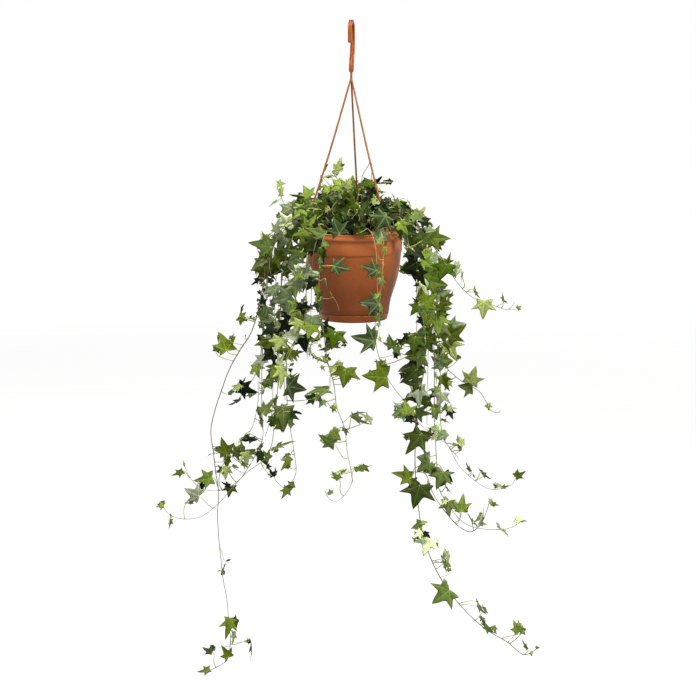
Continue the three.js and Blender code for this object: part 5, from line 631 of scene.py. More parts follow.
# Leaf colours by tone class. They are partly the leaves' own colours and partly painted light: the darkest classes hold
# painted shade for leaves that lie in shadow, and the pale and blue-grey classes hold painted sheen and painted
# highlight.
TONES = (
    ((7, 16, 3), (6, 13, 3), (9, 18, 3)),   # shaded dark green
    ((35, 46, 10), (30, 40, 8), (40, 52, 12)),   # dark green
    ((39, 55, 3), (33, 48, 3), (44, 61, 3)),   # deep grass green
    ((62, 74, 33), (55, 66, 29), (69, 83, 38)),   # mid green
    ((62, 75, 14), (55, 66, 11), (69, 84, 16)),   # olive
    ((83, 100, 36), (73, 88, 31), (92, 110, 41)),   # fresh green
    ((85, 98, 69), (75, 87, 61), (94, 108, 77)),   # blue-grey green
    ((102, 113, 62), (90, 101, 54), (113, 125, 69)),   # light green
    ((109, 117, 97), (97, 104, 86), (121, 129, 107)),   # pale blue-grey green
    ((166, 181, 137), (149, 161, 122), (183, 199, 151)),   # pale green
    ((39, 51, 27), (34, 44, 23), (44, 57, 31)),   # deep blue-green
)


def add_leaf(out, row, rng, cell, cells):
    A, B, T, N = (np.array(row[i:i + 3], float) for i in (0, 3, 6, 9))
    width, kind, tone = row[12], int(row[13]), int(row[14])
    L = float(np.linalg.norm(T - B))
    a = (T - B) / L
    n = N - a * (N @ a)
    n /= np.linalg.norm(n)
    s = np.cross(a, n)
    pts, uvs, m, rings = leaf_grid(kind, L)
    x, y = pts[:, 0].copy(), pts[:, 1].copy()
    # small growth differences: lobes of unequal length and a curved midrib
    skew = rng.uniform(-0.035, 0.035)
    lob = 1 + rng.uniform(-0.05, 0.05) * np.sign(x)
    x = x * lob * width * 1.045 + skew * np.clip(y, 0, 1) ** 2 * (1 - np.clip(y, 0, 1)) * 4
    r = np.hypot(x, y - 0.22)
    vd = dist_to_veins(pts, kind)
    t = np.concatenate([[0.0]] + [np.full(m, k) for k in rings])
    ang = np.arctan2(y - 0.22, x)
    fold = rng.uniform(0.02, 0.34)
    droop = rng.uniform(0.10, 0.32)
    bulge = rng.uniform(0.08, 0.20)
    curl = rng.uniform(-0.06, 0.26)
    wave = rng.uniform(0.008, 0.024)
    twist = rng.uniform(-0.22, 0.22)
    ph = rng.uniform(0, 6.28)
    z = -droop * r ** 2 + fold * np.abs(x) + bulge * np.minimum(vd, 0.12) * (1 - 0.5 * t)
    z += -curl * np.clip(y - 0.3, 0, 1) ** 2
    z += twist * x * (y - 0.2)
    z += wave * np.sin(5 * ang + ph) * t ** 2 + wave * 0.6 * np.sin(9 * ang + 2.1 * ph) * t ** 3
    # the tip keeps to where the table puts it
    z -= (z[m * (len(rings) - 1) + 1] + 0.07) * np.clip(y, 0, 1) ** 2
    half = (0.16 if L > 13 else 0.12)
    P = B + np.outer(y * L, a) + np.outer(x * L, s)
    top_v = P + np.outer(z * L + half * (1 - t * 0.7), n)
    low_v = P + np.outer(z * L - half * (1 - t * 0.7), n)
    k = len(pts)
    edge0 = 1 + m * (len(rings) - 1)
    verts = np.vstack([top_v, low_v[:edge0]])
    edge_mid = P[edge0:] + np.outer(z[edge0:] * L, n)
    verts[edge0:k] = edge_mid
    low_id = lambda i: i if i >= edge0 else k + i
    faces, mats, fuv, fbake = [], [], [], []

    def quad(ids, under):
        vs = [low_id(i) for i in ids] if under else list(ids)
        order = list(zip(vs, ids))
        if under:
            order = order[::-1]
        faces.append(tuple(v for v, _ in order))
        mats.append(1 if under else 0)
        nn = cells
        cx = (2 * cell + (1 if under else 0))
        col, rw = cx % nn, cx // nn
        for _, i in order:
            fuv.append((uvs[i, 0] / 2 + 0.5, uvs[i, 1] / 1.6 + 0.25))
            bx = (pts[i, 0] + 0.72) / 1.44
            by = (pts[i, 1] + 0.22) / 1.30
            fbake.append(((col + 0.03 + 0.94 * bx) / nn, (rw + 0.03 + 0.94 * by) / nn))

    for under in (False, True):
        for j in range(m):
            q = (j + 1) % m
            # the outline runs clockwise seen from above, tip to the right side first
            quad((0, 1 + q, 1 + j), under)
            for g in range(len(rings) - 1):
                p0, p1 = 1 + g * m, 1 + (g + 1) * m
                quad((p0 + j, p0 + q, p1 + q, p1 + j), under)
    base, lo, hi = TONES[tone]
    mixv = rng.random()
    end = hi if rng.random() < 0.5 else lo
    col = [base[i] + (end[i] - base[i]) * mixv for i in range(3)]
    if L < 12 and tone > 2:
        col = [col[0] * 0.75 + 100 * 0.25, col[1] * 0.75 + 116 * 0.25, col[2] * 0.75 + 40 * 0.25]
    tint = rgb(*col)[:3]
    pale = (0.55, 0.65, 0.5, 0.8, 0.6, 0.75, 1.0, 0.85, 1.0, 0.9, 1.3)[tone] * rng.uniform(0.75, 1.0)
    out.add(verts, faces, mats, fuv, fbake, tint=tint, look=(rng.random(), pale, 1.0 if L < 14 else 0.0))
    foot = B + n * (z[np.argmin(np.abs(pts[:, 1]) + np.abs(pts[:, 0]))] * L)
    return foot, a, n, L


def bezier(p0, p1, p2, p3, n):
    t = np.linspace(0, 1, n)[:, None]
    return (1 - t) ** 3 * p0 + 3 * t * (1 - t) ** 2 * p1 + 3 * t * t * (1 - t) * p2 + t ** 3 * p3


STEM_STYLE = {
    "ivy_vine_left_long": (0.62, "stem_dark"),
    "ivy_vine_left_02": (0.60, "stem_green"),
    "ivy_vine_left_03": (0.60, "stem_green"),
    "ivy_vine_front_01": (0.52, "stem_green"),
    "ivy_vine_left_09": (0.52, "stem_dark"),
    "ivy_vine_front_02": (0.35, "stem_turning"),
    "ivy_vine_front_03": (0.40, "stem_pale"),
    "ivy_vine_left_05": (0.84, "stem_pale"),
    "ivy_vine_left_06": (0.56, "stem_green"),
    "ivy_vine_left_07": (0.56, "stem_dark"),
    "ivy_vine_left_08": (0.56, "stem_green"),
    "ivy_vine_right_long": (0.70, "stem_aging"),
    "ivy_vine_right_03": (0.62, "stem_woody"),
    "ivy_vine_right_04": (0.50, "stem_dark"),
    "ivy_vine_right_06": (0.54, "stem_dark"),
    "ivy_vine_right_07": (0.52, "stem_dark"),
}


def make_vine(name, table, mats, rng):
    thin, style = STEM_STYLE.get(name, (0.66, "stem_green"))
    leaf_out, stem_out = Builder(), Builder()
    lines = []
    marks = [np.array(r[:3]) for r in table["leaves"]]
    for r in table["stems"]:
        r0, r1 = r[0], r[1]
        P = catmull(np.array(r[2:]).reshape(-1, 3), 6)
        if lines:
            D = np.vstack(lines)
            P[0] = D[np.argmin(((D - P[0]) ** 2).sum(1))]
        # even steps of about 3.5 mm
        seg = np.linalg.norm(np.diff(P, axis=0), axis=1)
        S = np.concatenate([[0], np.cumsum(seg)])
        count = max(6, int(S[-1] / 3.6))
        ss = np.linspace(0, S[-1], count)
        P = np.stack([np.interp(ss, S, P[:, k]) for k in range(3)], axis=1)
        f = ss / S[-1]
        rad = r0 + (r1 - r0) * f
        swell = np.zeros(count)
        for mk in marks:
            d = np.linalg.norm(P - mk, axis=1)
            swell = np.maximum(swell, np.exp(-(d / 2.6) ** 2))
        rad = rad * thin * (0.86 + 0.30 * swell)
        rad *= 1 + 0.05 * np.sin(ss * 0.9 + rng.uniform(0, 6))
        verts, faces, row = tube(P, rad, 8)
        look = np.stack([f[row], np.full(len(row), rng.random()), swell[row]], axis=1)
        # thin bare shoots are as pale as the leaf stalks
        stem_out.add(verts, faces, [1 if r0 < 0.65 else 0] * len(faces), look=look)
        lines.append(P)
    D = np.vstack(lines)
    TD = np.vstack([np.gradient(l, axis=0) for l in lines])
    cells = math.ceil(math.sqrt(2 * len(table["leaves"])))
    for i, row in enumerate(table["leaves"]):
        foot, a, n, L = add_leaf(leaf_out, row, rng, i, cells)
        A = np.array(row[:3], float)
        k = int(np.argmin(((D - A) ** 2).sum(1)))
        A = D[k]
        t = TD[k] / max(1e-9, np.linalg.norm(TD[k]))
        gap = foot - A
        ln = float(np.linalg.norm(gap))
        g = gap / max(1e-6, ln)
        out = g - t * (g @ t)
        if np.linalg.norm(out) < 0.1:
            out = n.copy()
        out /= np.linalg.norm(out)
        start = (out * 0.8 + t * 0.35 + np.array([0, 0, 0.15]))
        start /= np.linalg.norm(start)
        reach = 0.42 * ln
        back = min(0.40 * ln, 9.0)
        # the stalk comes to the blade from behind its foot and a little from below
        way = a if a @ g > -0.35 else (g * 0.6 + n * -0.6)
        way = way / np.linalg.norm(way)
        path = bezier(A, A + start * reach, foot - way * back - n * (0.10 * back), foot + a * min(1.2, 0.05 * L), 9)
        rr = np.linspace(0.72, 0.50, 9) if L > 14 else np.linspace(0.55, 0.40, 9)
        rr[0] *= 1.25
        rr[-1] *= 0.55
        verts, faces, rw = tube(path, rr, 6)
        f = np.array(rw) / 8.0
        look = np.stack([f, np.full(len(rw), rng.random()), np.zeros(len(rw))], axis=1)
        stem_out.add(verts, faces, [1] * len(faces), look=look)
    leaves = leaf_out.make(name + "_leaves", [mats["leaf_top"], mats["leaf_under"]])
    stems = stem_out.make(name + "_stem", [mats[style], mats["petiole"]])
    for ob in (leaves, stems):
        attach(ob, "root")
        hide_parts(name)


# ---------------------------------------------------------------- pot, saucer, soil
def make_pot(mat):
    foot = BASE_Z + 1.6 + GAP
    wall = 2.2
    outer = [
        (75.0, 0), (75.5, -0.5), (75.6, -1.2), (75.6, -2.0), (75.15, -2.5), (75.1, -3.2), (75.6, -3.8), (75.6, -8.0), (75.4, -8.9), (74.8, -9.3),
        (73.0, -9.4), (72.55, -10.0), (72.6, -10.8), (72.45, -16), (72.1, -24), (71.8, -30.8), (71.65, -31.6), (71.0, -32.0), (70.8, -32.8),
        (70.1, -41), (69.4, -49.5), (68.2, -58), (66.7, -66), (64.0, -76), (60.6, -87), (58.0, -94.6), (55.6, -103), (53.9, -111.5),
        (52.95, -POT_H + SAUCER_H + GAP + 0.9),
        (52.4, -POT_H + SAUCER_H + GAP + 0.15), (50.5, -POT_H + SAUCER_H + GAP),
    ]
    prof = [(r, RIM_Z + z) for r, z in outer]
    prof += [(50.1, BASE_Z + SAUCER_H - 1.0), (48.1, foot + 0.8), (47.3, foot), (44.0, foot), (43.4, foot + 0.8), (0.0, foot + 0.8)]
    inner = [(0.0, foot + wall + 0.6), (46.0, foot + wall + 0.6), (47.6, foot + wall + 6), (50.6, RIM_Z - 117), (53.2, RIM_Z - 103), (58.6, RIM_Z - 87),
             (64.5, RIM_Z - 66), (68.7, RIM_Z - 33), (70.4, RIM_Z - 10.6), (73.0, RIM_Z - 7.8), (73.5, RIM_Z - 7.0), (73.7, RIM_Z - 0.6), (74.1, RIM_Z - 0.05)]
    # the floor is drawn from the axis out, so the solid closes through the rim
    body = inner[:]
    path = [(0.0, foot + 0.8)] + prof[::-1][1:] + body[::-1]
    verts, faces = lathe_mesh(path, 144)
    b = Builder()
    b.add(verts, [f[::-1] for f in faces] if signed(verts, faces) < 0 else faces)
    ob = b.make("pot_shell", [mat])
    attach(ob, "root")
    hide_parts("pot")
    # drain holes are cut through the floor
    for i in range(5):
        a = math.radians(18 + 72 * i)
        bpy.ops.mesh.primitive_cylinder_add(vertices=24, radius=0.004, depth=0.012,
                                            location=(POT_X * MM + 0.030 * math.cos(a), 0.030 * math.sin(a), (foot + 1.6) * MM))
        cutter = bpy.context.object
        mod = ob.modifiers.new("hole", "BOOLEAN")
        mod.operation = "DIFFERENCE"
        mod.solver = "EXACT"
        mod.object = cutter
        bpy.context.view_layer.objects.active = ob
        bpy.ops.object.modifier_apply(modifier="hole")
        bpy.data.objects.remove(cutter)
    return ob


def signed(verts, faces):
    v = np.asarray(verts, float)
    total = 0.0
    for f in faces:
        for i in range(1, len(f) - 1):
            total += float(np.dot(v[f[0]], np.cross(v[f[i]], v[f[i + 1]])))
    return total


def solid_piece(name, verts, faces, mats, node, face_mats=None, smooth=True, tint=None):
    b = Builder()
    b.smooth = smooth
    if signed(verts, faces) < 0:
        faces = [f[::-1] for f in faces]
    b.add(verts, faces, face_mats, tint=tint)
    ob = b.make(name, mats)
    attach(ob, "root")
    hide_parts(node)
    return ob


def make_saucer(mat):
    t = BASE_Z + SAUCER_H
    prof = [(0, BASE_Z + 0.9), (30, BASE_Z + 0.9), (30.6, BASE_Z + 0.3), (31.4, BASE_Z), (33.0, BASE_Z), (33.8, BASE_Z + 0.3), (34.4, BASE_Z + 0.9),
            (44.4, BASE_Z + 0.9), (45.0, BASE_Z + 0.2), (45.6, BASE_Z), (48.4, BASE_Z), (49.4, BASE_Z + 0.3), (50.1, BASE_Z + 1.0), (50.5, BASE_Z + 2.0),
            (51.5, t - 4.4), (52.45, t - 1.6), (52.72, t - 0.9), (52.6, t - 0.3), (52.2, t), (51.5, t), (51.05, t - 0.4),
            (50.6, t - 3.2), (48.9, BASE_Z + 2.2), (48.3, BASE_Z + 1.6), (0, BASE_Z + 1.6)]
    verts, faces = lathe_mesh(prof, 144)
    return solid_piece("saucer_shell", verts, faces, [mat], "drip_saucer")


def make_soil(mat, roots, rng):
    """A lumpy top with crumbs of bark and peat pressed into it, over a plain root ball."""
    foot = BASE_Z + 1.6 + GAP + 2.2 + 0.9
    n, rings = 96, 26
    verts, faces = [(0.0, 0.0, SOIL_TOP - 1.2)], []
    waves = [(rng.uniform(0.04, 0.16), rng.uniform(0, 6.28), rng.uniform(0, 6.28), rng.uniform(0.35, 0.9)) for _ in range(9)]

    def height(x, y):
        h = -1.9
        for k, a, b, amp in waves:
            h += amp * math.sin(k * (x * math.cos(a) + y * math.sin(a)) + b) * 0.55
        return h + rng.uniform(-0.35, 0.35)

    for g in range(1, rings + 1):
        r = 69.3 * g / rings
        for i in range(n):
            a = 2 * math.pi * (i + 0.5 * (g % 2)) / n
            x, y = r * math.cos(a), r * math.sin(a)
            verts.append((x, y, SOIL_TOP + min(0.4, height(x, y))))
    for i in range(n):
        faces.append((0, 1 + i, 1 + (i + 1) % n))
    for g in range(1, rings):
        a0, b0 = 1 + (g - 1) * n, 1 + g * n
        for i in range(n):
            j = (i + 1) % n
            faces.append((a0 + i, b0 + i, b0 + j, a0 + j))
    # down the inside of the pot to its floor
    prev = 1 + (rings - 1) * n
    for r, z in ((68.1, RIM_Z - 33), (63.8, RIM_Z - 66), (52.5, RIM_Z - 103), (46.8, foot + 6), (45.2, foot)):
        start = len(verts)
        for i in range(n):
            a = 2 * math.pi * i / n
            verts.append((r * math.cos(a), r * math.sin(a), z))
        for i in range(n):
            j = (i + 1) % n
            faces.append((prev + i, start + i, start + j, prev + j))
        prev = start
    c = len(verts)
    verts.append((0, 0, foot))
    for i in range(n):
        faces.append((prev + i, c, prev + (i + 1) % n))
    b = Builder()
    if signed(verts, faces) < 0:
        faces = [f[::-1] for f in faces]
    b.add(verts, faces, tint=rgb(52, 40, 32)[:3])
    b.smooth = False
    ico = [(0, 0, 1)] + [(math.cos(k * 1.2566) * 0.894, math.sin(k * 1.2566) * 0.894, 0.447) for k in range(5)] + \
          [(math.cos(k * 1.2566 + 0.628) * 0.894, math.sin(k * 1.2566 + 0.628) * 0.894, -0.447) for k in range(5)] + [(0, 0, -1)]
    icf = [(0, 1 + i, 1 + (i + 1) % 5) for i in range(5)] + [(1 + i, 6 + i, 1 + (i + 1) % 5) for i in range(5)] + \
          [(1 + (i + 1) % 5, 6 + i, 6 + (i + 1) % 5) for i in range(5)] + [(11, 6 + (i + 1) % 5, 6 + i) for i in range(5)]
    for k in range(620):
        r = 68.0 * math.sqrt(rng.random())
        a = rng.uniform(0, 6.2832)
        bark = rng.random() < 0.28
        size = rng.uniform(0.8, 2.0)
        sx, sy, sz = (size * 1.9, size * 0.9, size * 0.45) if bark else (size, size * rng.uniform(0.7, 1), size * rng.uniform(0.55, 0.9))
        yaw, tilt = rng.uniform(0, 6.28), rng.uniform(-0.5, 0.5)
        cx, cy, cz = r * math.cos(a), r * math.sin(a), SOIL_TOP - 0.9 + rng.uniform(-0.4, 0.3)
        if r + sx > 69.0:
            continue
        out = []
        for x, y, z in ico:
            q = rng.uniform(0.78, 1.08)
            x, y, z = x * sx * q, y * sy * q, z * sz * q
            x, z = x * math.cos(tilt) - z * math.sin(tilt), x * math.sin(tilt) + z * math.cos(tilt)
            x, y = x * math.cos(yaw) - y * math.sin(yaw), x * math.sin(yaw) + y * math.cos(yaw)
            out.append((cx + x, cy + y, cz + z))
        col = rng.choice(((92, 66, 44), (70, 50, 36), (112, 84, 58)) if bark else ((48, 36, 29), (62, 47, 36), (38, 29, 24)))
        b.add(out, icf, tint=rgb(*col)[:3])
    ob = b.make("soil_surface", [mat])
    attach(ob, "root")
    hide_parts("potting_soil")
    return ob


# ---------------------------------------------------------------- hanger
HOOK_IN_R, HOOK_W, HOOK_TIP_W, HOOK_T = 8.9, 7.0, 4.9, 5.2
HOOK_YAW, HOOK_FOOT, SPLIT_Z = math.radians(-11), -70.0, -82.0
ARM_ANGLES, ARM_BOW = (-155, -52, 84), 0.482


def make_hanger(mat_hook, mat_arm):
    rc = HOOK_IN_R + HOOK_T / 2
    at = lambda s, z: (s * math.sin(HOOK_YAW), -s * math.cos(HOOK_YAW), z)
    pts = [at(0, HOOK_FOOT), at(-0.8, HOOK_FOOT + 8), at(-4.2, HOOK_FOOT + 19), at(-8.6, HOOK_FOOT + 32),
           at(-rc, HOOK_FOOT + 45), at(-rc, -HOOK_IN_R - 4)]
    for i in range(11):
        a = math.pi - math.pi * i / 10
        pts.append(at(rc * math.cos(a), -HOOK_IN_R + rc * math.sin(a)))
    pts += [at(rc, -18), at(rc + 0.4, -28)]
    C = catmull(pts, 8)
    seg = np.concatenate([[0], np.cumsum(np.linalg.norm(np.diff(C, axis=0), axis=1))])
    steps = 88
    ss = np.linspace(0, seg[-1], steps + 1)
    P = np.stack([np.interp(ss, seg, C[:, k]) for k in range(3)], axis=1)
    side = np.array([math.cos(HOOK_YAW), math.sin(HOOK_YAW), 0.0])
    T = np.gradient(P, axis=0)
    T /= np.linalg.norm(T, axis=1)[:, None]
    # ribbed section: a middle rib between two edge beads, with a groove on each side
    w, h = HOOK_W / 2, HOOK_T / 2
    half = [(-w, 0.0), (-w, 0.80 * h), (-w + 0.25, 0.97 * h), (-w + 0.6, h), (-w + 1.15, 0.97 * h), (-w + 1.45, 0.60 * h), (-1.15, 0.60 * h),
            (-0.95, 0.94 * h), (-0.55, h)]
    sec = half + [(-x, y) for x, y in half[::-1]]
    sec = sec + [(x, -y) for x, y in sec[1:-1][::-1]]
    verts, faces = [], []
    m = len(sec)
    for i in range(steps + 1):
        f = i / steps
        up = np.cross(side, T[i])
        up /= np.linalg.norm(up)
        wide = 1 + (HOOK_TIP_W / HOOK_W - 1) * f
        end = min(1.0, 0.80 + 0.2 * min(i, steps - i) / 2.0)
        for x, y in sec:
            verts.append(P[i] + side * (x * wide * end) + up * (y * end))
    for i in range(steps):
        for k in range(m):
            j = (k + 1) % m
            faces.append((i * m + k, i * m + j, (i + 1) * m + j, (i + 1) * m + k))
    for i, d in ((0, -1), (steps, 1)):
        c = len(verts)
        verts.append(P[i] + T[i] * d * 0.15)
        for k in range(m):
            j = (k + 1) % m
            faces.append((c, i * m + j, i * m + k) if d < 0 else (c, i * m + k, i * m + j))
    b = Builder()
    b.add(verts, [f[::-1] for f in faces] if signed(verts, faces) < 0 else faces)
    hook = b.make("hanger_hook", [mat_hook], shift=0.0)
    # arms, clips and the knot where the arms part
    arms = Builder()

    def put(v, f, mat=0):
        arms.add(v, [q[::-1] for q in f] if signed(v, f) < 0 else f, [mat] * len(f))

    v, f, _ = tube([(0, 0, z) for z in (HOOK_FOOT + 1.5, HOOK_FOOT - 1, -74, -78, SPLIT_Z - 1.0)], [2.3, 1.85, 1.7, 1.75, 1.9], 16)
    put(v, f)
    v, f = lathe_mesh([(0, SPLIT_Z + 1.6), (1.5, SPLIT_Z + 1.2), (2.0, SPLIT_Z + 0.2), (2.15, SPLIT_Z - 1), (1.9, SPLIT_Z - 2.6), (0.9, SPLIT_Z - 3.9), (0, SPLIT_Z - 4.2)], 20)
    put(v, f)
    pot_axis = np.array([POT_X, 0.0, 0.0])
    for deg in ARM_ANGLES:
        a = math.radians(deg)
        out = lambda r, z: np.array([r * math.cos(a), r * math.sin(a), z]) + pot_axis
        u = np.array([-math.sin(a), math.cos(a), 0.0])
        p1 = out(78.2, RIM_Z + 7)
        knee = np.array([p1[0] * ARM_BOW, p1[1] * ARM_BOW, (SPLIT_Z + p1[2]) / 2])
        pp = catmull([(0.7 * math.cos(a), 0.7 * math.sin(a), SPLIT_Z + 2.0), knee, p1], 16)
        n = len(pp) - 1
        rr = [1.36 - 0.04 * math.sin(k * 1.7) for k in range(n + 1)]
        rr[-1] = 1.6; rr[-2] = 1.5
        v, f, _ = tube(pp, rr, 12)
        put(v, f)
        # clip: outer plate, bridge and inner tongue in one bent strip, with a barb
        strip = [(78.0, -9.9), (76.05, -9.9), (76.0, -9.0), (76.0, 0.35), (72.25, 0.35), (72.25, -4.3), (70.5, -4.3), (70.45, 1.6), (71.1, 2.4),
                 (75.2, 2.5), (75.6, 7.3), (76.2, 8.0), (78.8, 8.0), (79.5, 7.2), (78.4, 2.0), (78.3, -9.4)]
        rows = [(-5.5, 0.90), (-5.2, 1.0), (5.2, 1.0), (5.5, 0.90)]
        c0 = np.mean(np.array(strip), axis=0)
        v, f = [], []
        k = len(strip)
        for y, sc in rows:
            for r, z in strip:
                # the root of the arm is narrower than the plate
                yy = y * (0.42 if z > 5.0 else 1.0)
                v.append(out(r, RIM_Z + z) + u * yy)
        for g in range(len(rows) - 1):
            for i in range(k):
                j = (i + 1) % k
                f.append((g * k + i, g * k + j, (g + 1) * k + j, (g + 1) * k + i))
        f.append(tuple(range(k)))
        f.append(tuple(range((len(rows) - 1) * k, len(rows) * k))[::-1])
        put(v, f)
        v = [out(r, RIM_Z + z) + u * y for y in (-5.5, 5.5) for r, z in ((77.0, -9.6), (73.6, -9.8), (73.8, -11.0), (78.2, -11.2), (78.3, -9.4))]
        f = [(0, 1, 2, 3, 4), (9, 8, 7, 6, 5)] + [(i, 5 + i, 5 + (i + 1) % 5, (i + 1) % 5) for i in range(5)]
        put(v, f)
    rods = arms.make("hanger_arms", [mat_arm], shift=0.0)
    for ob in (hook, rods):
        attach(ob, "root")
        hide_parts("hanger")
        mod = ob.modifiers.new("bevel", "BEVEL")
        mod.width = 0.00025
        mod.segments = 2
        mod.limit_method = "ANGLE"
        mod.angle_limit = math.radians(40)
    bpy.context.view_layer.update()


